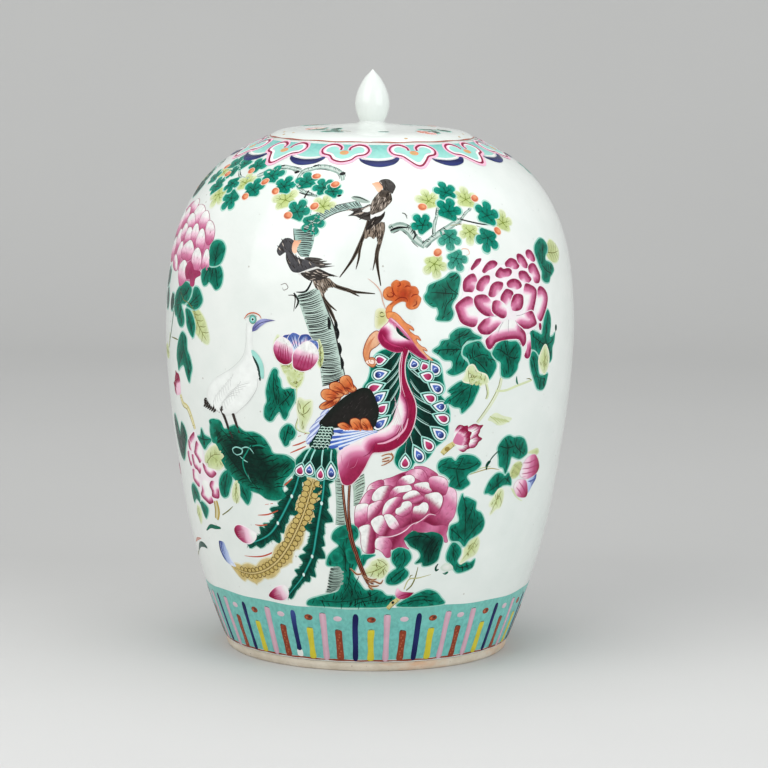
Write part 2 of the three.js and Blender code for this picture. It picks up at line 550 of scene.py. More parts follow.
def blend_colours(t, colours):
    """Colours spread evenly over t from 0 to 1."""
    c = np.array([[*k, 0][:4] for k in colours], float)
    t = np.clip(t, 0, 1) * (len(c) - 1)
    i = np.clip(t.astype(int), 0, len(c) - 2)
    f = smooth(t - i)[:, None]
    return c[i] * (1 - f) + c[i + 1] * f


def on_jar(verts, lifts):
    """Canvas points with their lifts, as points on the jar in metres."""
    return skin(verts[:, 0] / DEGREE, verts[:, 1], lifts)


class Panel:
    """A group of brush shapes that becomes one enamel piece."""

    def __init__(self, name, fine=1.7, over=0.0):
        self.name, self.fine, self.over = name, fine, over
        self.shapes = []

    def add(self, poly, colour, rise=0.0):
        if len(poly) >= 3:
            self.shapes.append((np.asarray(poly, float), colour, rise))

    def build(self, on=on_jar, body="jar"):
        """Triangulate all the shapes in one plane, colour each triangle by the shape drawn last over it,
        and wrap the result round the jar or the lid."""
        polys = [s[0] for s in self.shapes]
        low = np.min([p.min(0) for p in polys], 0)
        high = np.max([p.max(0) for p in polys], 0)
        g = self.fine
        xs, ys = np.arange(low[0], high[0] + g, g), np.arange(low[1], high[1] + g, g * ROW_GAP)
        grid = np.stack(np.meshgrid(xs, ys), -1)
        grid[1::2, :, 0] += g / 2
        grid = grid.reshape(-1, 2) + rng.uniform(-JITTER, JITTER, (grid.shape[0] * grid.shape[1], 2)) * g
        keep = np.zeros(len(grid), bool)
        for p in polys:
            near = np.all((grid > p.min(0)) & (grid < p.max(0)), 1) & ~keep
            keep[near] = inside(grid[near], p)
        for p in polys:
            near = np.flatnonzero(keep & np.all((grid > p.min(0) - g) & (grid < p.max(0) + g), 1))
            keep[near] = distance(grid[near], p) > EDGE_GAP * g
        grid = grid[keep]
        points = np.concatenate([*polys, grid])
        edges, at = [], 0
        for p in polys:
            edges += [(at + i, at + (i + 1) % len(p)) for i in range(len(p))]
            at += len(p)
        points = [Vector(v) for v in points.tolist()]
        verts, _, tris, *_ = delaunay_2d_cdt(points, edges, [], 0, 1e-4, False)
        verts = np.array([tuple(v) for v in verts])
        tris = np.array([tuple(t) for t in tris])
        middle = verts[tris].mean(1)
        top = np.full(len(tris), -1)
        for k, p in enumerate(polys):
            near = np.flatnonzero(np.all((middle > p.min(0)) & (middle < p.max(0)), 1))
            top[near[inside(middle[near], p)]] = k
        tris, top = tris[top >= 0], top[top >= 0]
        used, tris = np.unique(tris, return_inverse=True)
        tris = tris.reshape(-1, 3)
        verts = verts[used]
        colours = np.zeros((len(tris), 3, 4))
        lifts = np.full(len(verts), 9.0)
        for k in np.unique(top):
            poly, colour, rise = self.shapes[k]
            mine = np.flatnonzero(top == k)
            corners, back = np.unique(tris[mine], return_inverse=True)
            q = verts[corners]
            if callable(colour):
                paint = colour(q, poly)
            else:
                paint = np.tile(np.array([*colour, 0.0][:4]), (len(q), 1))
            colours[mine] = paint[back].reshape(-1, 3, 4)
            up = PAINT_LIFT + rise * smooth(distance(q, poly) / RISE_REACH) if rise else PAINT_LIFT
            np.minimum.at(lifts, corners, up)
        edges = np.sort(np.concatenate([tris[:, [0, 1]], tris[:, [1, 2]], tris[:, [2, 0]]]), 1)
        edges, count = np.unique(edges, axis=0, return_counts=True)
        lifts[np.unique(edges[count == 1])] = EDGE_LIFT
        lifts += self.over
        where = on(verts, lifts)
        colours[..., :3] *= 0.70 + DARKENING * colours[..., :3].max(-1, keepdims=True)
        piece = new_piece(self.name, where.tolist(), tris.tolist(), [ENAMEL], body)
        paint = piece.data.color_attributes.new("paint", "FLOAT_COLOR", "CORNER")
        paint.data.foreach_set("color", colours.reshape(-1).astype(np.float32))


class Brush:
    """Draws on a panel in its own millimetres: at(a, h) puts its origin at an angle and a height."""

    def __init__(self, panel, matrix=((DEGREE, 0), (0, 1)), origin=(0, 0), scale=1.0):
        self.panel, self.scale = panel, scale
        self.matrix, self.origin = np.array(matrix, float), np.array(origin, float)

    def __call__(self, points):
        return np.asarray(points, float) @ self.matrix.T + self.origin

    def at(self, a, h, turn=0.0, size=1.0):
        """A brush whose millimetres are true ones on the jar, turned anticlockwise."""
        c, s = math.cos(math.radians(turn)), math.sin(math.radians(turn))
        wide = CANVAS_RADIUS / radius(h)
        m = np.array([[wide, 0], [0, 1]]) @ np.array([[c, -s], [s, c]]) * size
        return Brush(self.panel, m, (a * DEGREE, h), size)

    def part(self, x, y, turn=0.0):
        """A brush placed in this one's own millimetres."""
        c, s = math.cos(math.radians(turn)), math.sin(math.radians(turn))
        m = self.matrix @ np.array([[c, -s], [s, c]])
        return Brush(self.panel, m, self((x, y)), self.scale)

    def flat(self):
        """A brush in the canvas's own millimetres, with its origin at the front and height 0."""
        return Brush(self.panel, np.eye(2))

    def blob(self, points, colour, rise=0.0, steps=6):
        self.panel.add(curve(self(points), True, steps), colour, rise)

    def shape(self, points, colour, rise=0.0):
        self.panel.add(self(points), colour, rise)

    def dot(self, x, y, rx, ry, colour, turn=0.0, rise=0.0, sides=14):
        t = np.arange(sides) * 2 * np.pi / sides
        c, s = math.cos(math.radians(turn)), math.sin(math.radians(turn))
        u, v = rx * np.cos(t), ry * np.sin(t)
        self.panel.add(self(np.stack([x + u * c - v * s, y + u * s + v * c], 1)), colour, rise)

    def line(self, points, width, colour, taper=(0.15, 0.15), rise=0.0, steps=5):
        """A brush line. Width is its full width in the middle; taper is the share left at each end."""
        p = curve(self(points), False, steps)
        d = np.gradient(p, axis=0)
        n = np.stack([-d[:, 1], d[:, 0]], 1) / np.maximum(np.linalg.norm(d, axis=1), 1e-9)[:, None]
        t = np.linspace(0, 1, len(p))
        start = taper[0] + (1 - taper[0]) * np.sin(np.minimum(t * 2, 1) * np.pi / 2)
        end = taper[1] + (1 - taper[1]) * np.sin(np.minimum((1 - t) * 2, 1) * np.pi / 2)
        full = np.maximum(width * np.where(t < 0.5, start, end), THINNEST)
        half = (full * self.scale / 2)[:, None]
        self.panel.add(np.concatenate([p + n * half, (p - n * half)[::-1]]), colour, rise)

    def fade(self, p0, p1, *colours):
        """A colour function that runs from p0 to p1."""
        a, b = self([p0, p1])
        d = (b - a) / max(((b - a) ** 2).sum(), 1e-9)
        return lambda q, poly: blend_colours((q - a) @ d, colours)

    def rim(self, width, *colours):
        """A colour function that runs inwards from the edge."""
        width = width * self.scale
        return lambda q, poly: blend_colours(distance(q, poly) / width, colours)

    def tip(self, centre, reach, *colours):
        """A colour function that runs outwards from a point."""
        a = self([centre])[0]
        reach = reach * self.scale
        return lambda q, poly: blend_colours(np.linalg.norm(q - a, axis=1) / reach, colours)


# ---------------------------------------------------------------- colours

WHITE = (0.84, 0.85, 0.82)
INK, SOOT = (0.012, 0.014, 0.014), (0.05, 0.05, 0.045)
CRIMSON, ROSE = (0.30, 0.008, 0.055), (0.48, 0.06, 0.17)
PINK, BLUSH = (0.66, 0.20, 0.36), (0.86, 0.56, 0.68)
DEEP_GREEN, GREEN, SEA_GREEN = (0.0, 0.07, 0.042), (0.0, 0.17, 0.10), (0.004, 0.28, 0.18)
OLIVE, LIME, PALE_LIME = (0.20, 0.20, 0.04), (0.50, 0.58, 0.24), (0.66, 0.73, 0.45)
TURQUOISE, PALE_TURQUOISE = (0.19, 0.57, 0.52), (0.36, 0.72, 0.64)
NAVY, BLUE, SKY = (0.012, 0.016, 0.10), (0.05, 0.09, 0.34), (0.40, 0.50, 0.75)
ORANGE, APRICOT, BRICK = (0.62, 0.13, 0.04), (0.78, 0.33, 0.16), (0.33, 0.065, 0.03)
YELLOW, OCHRE, STRAW = (0.66, 0.58, 0.05), (0.50, 0.36, 0.07), (0.66, 0.58, 0.25)
LAPPET_PINK = (0.90, 0.50, 0.64)
BROWN = (0.04, 0.028, 0.02)
LEAF_HALO, LIME_HALO = (0.33, 0.64, 0.54), (0.74, 0.80, 0.60)  # the thin wash round leaves


def streaky(colour, amount=1.0):
    """The same colour with brush streaks in it."""
    return (*colour[:3], amount)


# ---------------------------------------------------------------- borders

LAPPETS = [-75, -44, -12.5, 19.5, 49.5]
LAPPETS += [LAPPETS[-1] + (285 - LAPPETS[-1]) * k / 8 for k in range(1, 8)]
USUAL_GAP = 31  # degrees between lappets, where a crescent has its true size
LAPPET_MID, CRESCENT_MID = JAR_TOP - 13.3, JAR_TOP - 21.5


def lappet_path(drop):
    """The cloud shape of a lappet, from its left curl down to its point and up to the right one."""
    half = [(3.0, 4.1), (3.6, 7.9), (8.2, 10.9), (13.6, 9.5), (16.0, 4.5), (13.8, -0.7), (8.6, -2.9)]
    half += [(5.6, -7.2), (1.6, -11.0 - drop)]
    return [(-x, y) for x, y in half] + [(x, y) for x, y in half[::-1]]


def shoulder_band():
    """Turquoise from the lid's edge down, with a cloud-shaped lappet every thirty degrees or so."""
    panel = Panel("shoulder_band_ground", 3.0)
    jar = Brush(panel)
    lower = []
    order = sorted(LAPPETS)
    for i, centre in enumerate(order):
        after = order[(i + 1) % len(order)] + (360 if i == len(order) - 1 else 0)
        gap = (centre + after) / 2 - 0.7
        lower += [(centre - 6, LAPPET_MID - 3), (centre, LAPPET_MID - 8), (centre + 6, LAPPET_MID - 3)]
        lower += [(gap - 5, CRESCENT_MID + 4.2), (gap, CRESCENT_MID + 2.2), (gap + 5, CRESCENT_MID + 4.2)]
    lower.append((order[0] + 360 - 6, LAPPET_MID - 3))
    edge = curve(lower, False, 6)
    upper = [(a, JAR_TOP - 1.4) for a in np.linspace(lower[-1][0], lower[0][0], 181)]
    ground = jar.fade((0, CRESCENT_MID), (0, CRESCENT_MID + 24), streaky(PALE_TURQUOISE, 0.1),
        streaky(TURQUOISE, 0.35))
    panel.add(jar(np.concatenate([edge, upper])), ground)
    panel.build()
    for i, centre in enumerate(order):
        drop = 2.2 * math.sin(i * 2.3) + 0.5
        panel = Panel(f"lappet_{i:02d}", 1.6, over=0.17)
        b = Brush(panel).at(centre, LAPPET_MID, turn=1.6 * math.sin(i * 1.7))
        path = lappet_path(drop)
        b.blob(path, PALE_TURQUOISE)
        b.line(path, 6.0, LAPPET_PINK, (0.75, 0.75))
        b.line([(x * 0.86, y * 0.84 + 0.4) for x, y in path], 2.3, (0.86, 0.87, 0.86), (0.4, 0.4))
        b.line(path, 1.7, CRIMSON, (1.3, 1.3))
        b.line([(x * 0.97, y * 0.96) for x, y in path[2:7]], 0.7, ROSE)
        b.dot(0, 1.0, 3.0, 2.7, APRICOT, rise=0.15)
        b.dot(-0.6, 0.6, 1.7, 1.4, (0.62, 0.42, 0.16))
        panel.build()
        after = order[(i + 1) % len(order)] + (360 if i == len(order) - 1 else 0)
        panel = Panel(f"crescent_{i:02d}", 1.6, over=0.17)
        b = Brush(panel).at((centre + after) / 2 - 0.7, CRESCENT_MID, turn=2.5 * math.sin(i * 2.9 + 1),
            size=(after - centre) / USUAL_GAP)
        b.line([(-11, 5.6), (-7.5, 3.2), (0, 1.9), (7.5, 3.2), (11.5, 5.8)], 1.9, WHITE)
        b.blob([(-12.3, 3.4), (-12.3, 3.4), (-8.5, 1.6), (0, 0.2), (8, 1.6), (12.4, 4.4), (13.4, 2.0),
                (9.5, -3.0), (2, -5.8), (-4.5, -5.0), (-10.5, -0.8)],
            b.fade((0, 3), (0, -4), (0.035, 0.05, 0.21), NAVY, (0.03, 0.045, 0.2)), rise=0.1)
        panel.build()


# Bars of the foot border from the left edge of the front view rightwards, then on round the back.
BARS = [(-66.5, "blue"), (-59.8, "pink"), (-54.2, "red"), (-48.6, "blue"), (-43.0, "yellow"),
    (-37.3, "pink"), (-31.4, "red"), (-26.2, "chipped"), (-20.9, "yellow"), (-15.4, "pink"),
    (-9.9, "red"), (-4.2, "blue"), (1.6, "yellow"), (7.3, "pink"), (12.8, "red"), (18.3, "blue"),
    (23.8, "yellow"), (29.1, "pink"), (34.7, "red"), (40.3, "pink"), (46.2, "yellow"), (52.1, "blue"),
    (57.9, "red"), (63.5, "pink"), (69.4, "yellow")]
BAND_TOP = 40.6
BARS_BEHIND = 39  # evenly spaced on the side that the photo doesn't show


def foot_border():
    panel = Panel("foot_band_ground", 3.2)
    jar = Brush(panel)
    a = np.linspace(-180, 180, TURNS + 1)
    round_by = np.radians(a)
    wave = BAND_TOP + 0.7 * np.sin(round_by * 5) + 0.3 * np.sin(round_by * 17)
    wave += 1.6 * np.sin(round_by / 2) ** 2
    upper, lower = np.stack([a, wave], 1)[::-1], np.stack([a, np.full(len(a), 1.9)], 1)
    ground = jar.fade((0, 0), (0, 42), streaky(TURQUOISE, 0.4), streaky(TURQUOISE, 0.45),
        streaky((0.20, 0.56, 0.49), 0.3))
    panel.add(jar(np.concatenate([lower, upper])), ground)
    panel.build()
    line = Panel("foot_line", 3.0)
    jar = Brush(line)
    low, high = 0.55 + 0.15 * np.sin(a * 0.7), 1.75 + 0.25 * np.sin(a * 0.45)
    jar.shape(np.concatenate([np.stack([a, low], 1), np.stack([a, high], 1)[::-1]]), streaky(BRICK, 0.5))
    line.build()
    bars = list(BARS)
    kinds, step = ["blue", "red", "pink", "yellow"], (BARS[0][0] + 360 - BARS[-1][0]) / (BARS_BEHIND + 1)
    bars += [(BARS[-1][0] + step * (k + 1), kinds[k % 4]) for k in range(BARS_BEHIND)]
    for i, (a, kind) in enumerate(bars):
        panel = Panel(f"bar_{i:02d}_{kind}", 1.5, over=0.17)
        b = Brush(panel).at(a, 0, turn=0.9 * math.sin(i * 2.1))
        wob = [0.22 * math.sin(i * 1.3 + k) for k in range(6)]
        if kind in ("blue", "chipped"):
            low = 7.2 if kind == "chipped" else 2.2
            if kind == "chipped":
                b.blob([(-1.7, 2.4), (1.7, 2.3), (1.9, 6.6), (0, 7.6), (-1.8, 6.4)], WHITE)
            top = (0.05, 0.085, 0.30) if kind == "chipped" else NAVY
            b.blob([(-1.5, low), (1.5, low), (1.6 + wob[1], 14), (1.6 + wob[2], 26), (1.7, 34),
                    (0.2, 36.6), (-1.5, 34.5), (-1.6 + wob[3], 24), (-1.5 + wob[4], 12)],
                b.fade((0, 4), (0, 36), NAVY, (0.02, 0.03, 0.15), top), rise=0.15)
        elif kind == "pink":
            b.blob([(-1.8, 2), (1.8, 2), (1.9 + wob[1], 13), (1.8 + wob[2], 26), (1.9, 35.2), (0, 36),
                    (-1.9, 35.4), (-1.9 + wob[3], 24), (-1.8 + wob[4], 12)],
                b.fade((-2, 0), (2, 0), (0.60, 0.36, 0.44), (0.70, 0.45, 0.54), (0.62, 0.38, 0.46)),
                rise=0.15)
            b.line([(-1.7, 35.9), (0, 36.4), (1.7, 35.9)], 0.5, (0.10, 0.18, 0.16))
        else:
            tall = 24.2 + wob[5] * 2
            body = streaky(YELLOW, 0.15) if kind == "yellow" else streaky(BRICK, 0.5)
            b.blob([(-2.0, 2), (2.0, 2), (2.0 + wob[1], 9), (1.9 + wob[2], 17), (2.0, tall - 0.5),
                    (0, tall), (-2.0, tall - 0.6), (-2.0 + wob[3], 16), (-1.9 + wob[4], 9)], body,
                rise=0.15)
            if kind == "red":
                for k in range(9):
                    b.dot(0.7 * math.sin(k * 2.2 + i), 4 + k * 2.1, 0.5, 0.7, (0.48, 0.13, 0.06))
                b.line([(-2, tall - 1), (-1.2, tall + 0.5), (1.4, tall + 0.1)], 0.7, (0.10, 0.04, 0.02))
                b.dot(0, 32.6, 2.5, 1.9, (0.68, 0.52, 0.58), rise=0.15)
            else:
                b.line([(-1.8, tall + 0.3), (0, tall + 0.5), (1.8, tall + 0.2)], 0.5, OLIVE)
                b.dot(0, 32.4, 2.6, 2.2, streaky(BRICK, 0.4), rise=0.15)
                b.dot(0.8, 32.9, 0.8, 0.9, (0.09, 0.05, 0.04))
                b.dot(-1.1, 32.2, 0.7, 1.0, (0.50, 0.15, 0.07))
        panel.build()


shoulder_band()
foot_border()


# ---------------------------------------------------------------- leaves, flowers and other motifs


def grown(poly, by):
    """A closed line moved outwards by some millimetres."""
    d = np.roll(poly, -1, 0) - np.roll(poly, 1, 0)
    area = (poly[:, 0] * np.roll(poly[:, 1], -1) - poly[:, 1] * np.roll(poly[:, 0], -1)).sum()
    n = np.stack([d[:, 1], -d[:, 0]], 1) / np.maximum(np.linalg.norm(d, axis=1), 1e-9)[:, None]
    return poly + n * by * np.sign(area)


def scatter(poly, count, margin):
    """Random points inside a closed line."""
    spots = rng.uniform(poly.min(0), poly.max(0), (count * 4, 2))
    spots = spots[inside(spots, poly)]
    return spots[distance(spots, poly) > margin][:count] if len(spots) else spots


GREENS = {
    "deep": (DEEP_GREEN, GREEN, SEA_GREEN, (0.0, 0.018, 0.012)),
    "dull": ((0.01, 0.06, 0.045), (0.02, 0.11, 0.08), (0.05, 0.19, 0.14), (0.004, 0.02, 0.016)),
    "lime": (LIME, (0.60, 0.68, 0.33), PALE_LIME, OLIVE),
}


def leaflet_outline(length, width, plain=False):
    """A leaf from the origin up +y: blunt lobes down each side, or a plain pointed one."""
    w = width / 2
    if plain:
        side = [(0.45, 0.08), (0.85, 0.26), (1.0, 0.48), (0.82, 0.72), (0.42, 0.92)]
    else:
        side = [(0.40, 0.03), (0.90, 0.20), (1.04, 0.38), (0.86, 0.47), (1.06, 0.62), (0.84, 0.78),
            (0.66, 0.75), (0.50, 0.93), (0.26, 0.92)]

    def wavy():
        """The side with each of its points moved a little at random."""
        for x, y in side:
            yield x * w * rng.uniform(0.92, 1.08), y * length + rng.uniform(-0.03, 0.03) * length

    right, left = list(wavy()), list(wavy())
    return [(0, 0), *right, (0, length), *[(-x, y) for x, y in left[::-1]]]


def leaflet(b, length, width, tone="deep", veins=5, outline=None):
    """One leaf that grows from the brush's origin along +y."""
    base, mid, edge, ink = GREENS[tone]
    pale = tone == "lime"
    if outline is None:
        outline = leaflet_outline(length, width, pale)
        b.panel.add(grown(curve(b(outline), True, 4), 0.8), LIME_HALO if pale else LEAF_HALO)
    streak = 0.35 if pale else 0.9
    poly = curve(b(outline), True, 4)
    origin = b([(0, 0)])[0]
    axis = b([(0, 1)])[0] - origin
    axis = axis / (axis @ axis)

    def paint(q, poly):
        t = (q - origin) @ axis / length
        t = t * 0.75 + 0.4 * (1 - np.clip(distance(q, poly) / (0.4 * width * b.scale), 0, 1)) - 0.1
        return blend_colours(t, [streaky(base, streak), streaky(mid, streak), streaky(edge, streak)])

    b.panel.add(poly, paint, 0.14)
    w = width / 2
    if pale:
        b.line([(0, length * 0.04), (w * 0.12, length * 0.5), (0, length * 0.92)], 0.55, ink, (1.2, 0.3))
        for k in range(veins * 2):
            t, side = 0.18 + 0.66 * (k // 2) / veins, 1 if k % 2 else -1
            b.line([(0, length * t), (side * w * 0.4, length * (t + 0.10)),
                    (side * w * 0.78, length * (t + 0.15))], 0.42, ink, (0.8, 0.2), steps=3)
        return
    for off in (-0.62, -0.3, 0.0, 0.3, 0.62):
        reach = 0.94 - 0.35 * abs(off)
        b.line([(w * off * 0.12, length * 0.06), (w * off * 0.75, length * reach * 0.55),
                (w * off * 1.15, length * reach)], 0.5, ink, (0.9, 0.2), steps=4)
    for x, y in scatter(poly, int(0.05 * length * width * b.scale**2), 1.3):
        t = rng.uniform(0.8, 2.0) * axis / np.linalg.norm(axis)
        lean = np.array([-t[1], t[0]]) * rng.uniform(-0.5, 0.5)
        b.flat().line([(x, y) - t - lean, (x, y), (x, y) + t + lean], rng.uniform(0.35, 0.65), ink,
            (0.5, 0.2), steps=2)


def maple(b, size, tone="deep"):
    """A small vine leaf with five blunt lobes, about its middle."""
    base, mid, edge, ink = {
        "deep": ((0.0, 0.20, 0.13), (0.0, 0.26, 0.175), (0.01, 0.34, 0.24), (0.0, 0.03, 0.02)),
        "bright": ((0.01, 0.27, 0.18), (0.03, 0.34, 0.24), (0.08, 0.42, 0.32), (0.0, 0.06, 0.04)),
        "lime": ((0.48, 0.58, 0.18), (0.56, 0.66, 0.28), PALE_LIME, (0.17, 0.24, 0.02)),
    }[tone]
    points = []
    lobes = [(-125, 0.78), (-62, 0.98), (0, 1.05), (62, 0.98), (125, 0.78)]
    for turn, reach in lobes:
        for off, share in ((-23, 0.84), (-8, 1.0), (10, 0.98), (24, 0.82)):
            t = math.radians(90 - turn - off)
            points.append((size * reach * share * math.cos(t), size * reach * share * math.sin(t)))
        t = math.radians(90 - (turn + 31.5))
        points.append((size * 0.60 * math.cos(t), size * 0.60 * math.sin(t)))
    halo = [(x * 1.13, y * 1.13) for x, y in points]
    b.blob(halo, (0.42, 0.70, 0.60) if tone != "lime" else (0.74, 0.79, 0.60), steps=3)
    streak = 0.7 if tone != "lime" else 0.3
    b.blob(points, b.tip((0, 0), size, streaky(base, streak), streaky(mid, streak),
            streaky(edge, streak)), rise=0.1, steps=4)
    for turn, reach in lobes:
        t = math.radians(90 - turn)
        u = np.array([math.cos(t), math.sin(t)])
        v = np.array([-u[1], u[0]])
        b.line([(0, 0), tuple(u * size * reach * 0.84)], 0.5, ink, (1, 0.3))
        for side in (-1, 1):
            b.line([tuple(u * size * 0.36), tuple(u * size * reach * 0.66 + v * side * size * 0.2)], 0.34,
                ink, (1, 0.3))


def berry(b, size=2.6, turn=0):
    b = b.part(0, 0, turn)
    b.dot(0, 0, size * 1.18, size * 1.0, (0.86, 0.62, 0.50))
    b.dot(0, 0, size, size * 0.84, b.tip((size * 0.3, size * 0.2), size * 1.4, (0.80, 0.40, 0.22),
            (0.72, 0.22, 0.10), (0.55, 0.12, 0.05)), rise=0.25)
    b.line([(-size * 0.7, -size * 0.3), (0, -size * 0.5), (size * 0.6, -size * 0.4)], 0.4,
        (0.50, 0.10, 0.05))


def petal(b, length, width, dark=CRIMSON, light=WHITE, depth=0.45, notches=2, fold=0.0, middle=PINK,
    slim=0.35, rise=0.3, gap=0.0):
    """A petal that opens along +y from the brush's origin, darkest along its outer edge."""
    w, points = width / 2, []
    points.append((w * slim * 0.6, 0))
    points.append((w * 0.85, length * 0.34))
    points.append((w, length * 0.66))
    n = notches * 2 + 1
    for k in range(n):
        t = 0.62 - 1.24 * k / (n - 1)
        dent = 0.90 if k % 2 else 1.0
        top = (1 - 0.20 * abs(t / 0.62) ** 2.2) * dent
        points.append((w * t * 1.15 + fold * w, length * top))
    points += [(-w, length * 0.66), (-w * 0.85, length * 0.34), (-w * slim * 0.6, 0)]
    origin = b([(0, 0)])[0]
    axis = b([(0, 1)])[0] - origin
    axis = axis / np.linalg.norm(axis)
    reach = length * b.scale

    def paint(q, poly):
        along = (q - origin) @ axis / reach
        inward = distance(q, poly) / (depth * width * b.scale)
        t = np.clip(inward * 0.80 + (1 - smooth((along - 0.02) / 0.66)) * 0.95, 0, 1)
        return blend_colours(t, [streaky(dark, 0.3), streaky(dark, 0.3), streaky(middle, 0.3), BLUSH,
                light, light, light])

    poly = curve(b(points), True, 4)
    if gap:
        b.panel.add(grown(poly, gap), (0.86, 0.80, 0.82))
    b.panel.add(poly, paint, rise)
    for k in range(5):
        x = (k - 2) * w * 0.38
        b.line([(x * 1.02, length * (0.84 - 0.03 * abs(k - 2))),
                (x * 0.9, length * rng.uniform(0.5, 0.62))], 0.34, dark, (0.8, 0.2), steps=2)


def stem(b, points, width=2.0, colour=LIME, ink=OLIVE, ticks=0, light=None):
    """A stalk with a darker line down one side."""
    b.line(points, width, colour, (0.7, 0.6), rise=0.05)
    if light:
        b.line(points, width * 0.45, light, (0.5, 0.4))
    p = curve(b(points), False, 5)
    d = np.gradient(p, axis=0)
    n = np.stack([-d[:, 1], d[:, 0]], 1) / np.maximum(np.linalg.norm(d, axis=1), 1e-9)[:, None]
    raw = b.flat()
    raw.line(p - n * width * 0.38 * b.scale, 0.4, ink, (0.6, 0.4), steps=2)
    for k in range(ticks):
        i = int((k + 0.5) / ticks * (len(p) - 1))
        raw.line([p[i] - n[i] * width * 0.45, p[i] + n[i] * width * 0.3], 0.45, ink, (0.8, 0.4), steps=2)


def hatch(b, left, right, count, colour, width=0.5, bow=0.8):
    """Rows of short lines between two edges."""
    p, q = curve(b(left), False, 8), curve(b(right), False, 8)
    raw = b.flat()
    for k in range(count):
        t = (k + 0.5) / count
        t0 = np.clip(t + rng.uniform(-0.5, 0.5) / count, 0, 1)
        i, j = t0 * (len(p) - 1), t * (len(q) - 1)
        a = p[int(i)] * (1 - i % 1) + p[min(int(i) + 1, len(p) - 1)] * (i % 1)
        c = q[int(j)] * (1 - j % 1) + q[min(int(j) + 1, len(q) - 1)] * (j % 1)
        s = rng.uniform(0.0, 0.12), rng.uniform(0.78, 1.0)
        m = (a + c) / 2 + np.array([0, -bow])
        raw.line([a + (c - a) * s[0], m, a + (c - a) * s[1]], width * rng.uniform(0.7, 1.2), colour,
            (0.9, 0.2), steps=4)


WASHES = {
    "deep": ((0.0, 0.12, 0.075), (0.0, 0.19, 0.12), (0.008, 0.29, 0.19), (0.0, 0.018, 0.012),
        (0.33, 0.64, 0.54)),
    "dark": ((0.0, 0.035, 0.024), (0.0, 0.085, 0.055), (0.002, 0.20, 0.125), (0.0, 0.012, 0.009),
        (0.33, 0.62, 0.52)),
    "lime": ((0.50, 0.60, 0.24), (0.60, 0.69, 0.34), (0.68, 0.75, 0.48), (0.20, 0.20, 0.04),
        (0.76, 0.80, 0.62)),
}


def wash(jar, outline, tone="deep", ribs=(), strokes=0.032, heading=90, halo=0.9):
    """An area of enamel of any outline, with dark brush strokes over it and ribs drawn in."""
    deep, mid, edge, ink, pale = WASHES[tone]
    poly = curve(jar(outline), True, 6)
    streak = 0.25 if tone == "lime" else 0.9
    if halo:
        jar.panel.add(grown(poly, halo), pale)
    jar.panel.add(poly, jar.rim(7, streaky(edge, streak), streaky(mid, streak), streaky(deep, streak)),
        0.16)
    raw = jar.flat()
    span = poly.max(0) - poly.min(0)
    for x, y in scatter(poly, int(strokes * span[0] * span[1]), 1.2):
        t = math.radians(heading) + 0.5 * math.sin(x * 0.21 + y * 0.17) + rng.normal(0, 0.2)
        long = rng.uniform(1.0, 2.6)
        u = np.array([math.cos(t), math.sin(t)]) * long
        raw.line([(x - u[0], y - u[1]), (x + u[1] * 0.1, y), (x + u[0], y + u[1])],
            rng.uniform(0.35, 0.6), ink, (0.5, 0.2), steps=3)
    for rib in ribs:
        jar.line(rib, 0.45 if tone == "lime" else 0.6, ink, (0.7, 0.3))


def curled(jar, outer, inner, reach=9.0):
    """A petal between its outer and inner edge, red along the outer one and fading inwards."""
    dark, middle = streaky((0.33, 0.02, 0.09), 0.4), streaky((0.60, 0.15, 0.29), 0.4)
    poly = curve(jar([*outer, *inner]), True, 6)
    edge = curve(jar(outer), False, 6)

    def paint(q, poly):
        a, d = edge[:-1], np.diff(edge, axis=0)
        along = np.clip(((q[:, None] - a) * d).sum(2) / np.maximum((d * d).sum(1), 1e-9), 0, 1)
        t = np.linalg.norm(a + along[..., None] * d - q[:, None], axis=2).min(1) / reach
        return blend_colours(t, [dark, dark, middle, PINK, BLUSH, WHITE, WHITE])

    jar.panel.add(grown(poly, 0.55), (0.86, 0.79, 0.82))
    jar.panel.add(poly, paint, 0.3)
    raw = jar.flat()
    middle_point = poly.mean(0)
    for _ in range(int(np.linalg.norm(np.diff(edge, axis=0), axis=1).sum() / 1.5)):
        p = edge[rng.integers(1, len(edge) - 1)]
        u = (middle_point - p) / np.linalg.norm(middle_point - p)
        raw.line([p + u * 0.3, p + u * rng.uniform(1.4, 3.4)], 0.32, dark[:3], (0.7, 0.2), steps=2)


def cupped(jar, outline, tip, base, *colours):
    """A petal that is palest at its tip and reddest at its base."""
    poly = curve(jar(outline), True, 6)
    jar.panel.add(grown(poly, 0.35), (0.36, 0.04, 0.13))
    jar.blob(outline, jar.fade(tip, base, *(streaky(c, 0.35) for c in colours)), rise=0.3)
    raw = jar.flat()
    low, high = jar([base])[0], jar([tip])[0]
    for p in scatter(poly, 9, 0.6):
        u = (low - p) / max(np.linalg.norm(low - p), 1e-6)
        if np.linalg.norm(low - p) < np.linalg.norm(high - low) * 0.75:
            raw.line([p, p + u * rng.uniform(1.0, 2.6)], 0.36, (0.40, 0.03, 0.13), (0.7, 0.2), steps=2)


def panel(name, fine=1.7, over=0.0):
    """A new panel and a brush that draws on it at an angle and a height."""
    p = Panel(name, fine, over)
    return p, Brush(p)


# ---------------------------------------------------------------- the front: upper right


def bloom(jar, petals, **look):
    """Petals from the outermost in, each (angle, height, turn, length, width)."""
    for a, h, turn, length, width in petals:
        petal(jar.at(a, h, turn), length, width, **look)


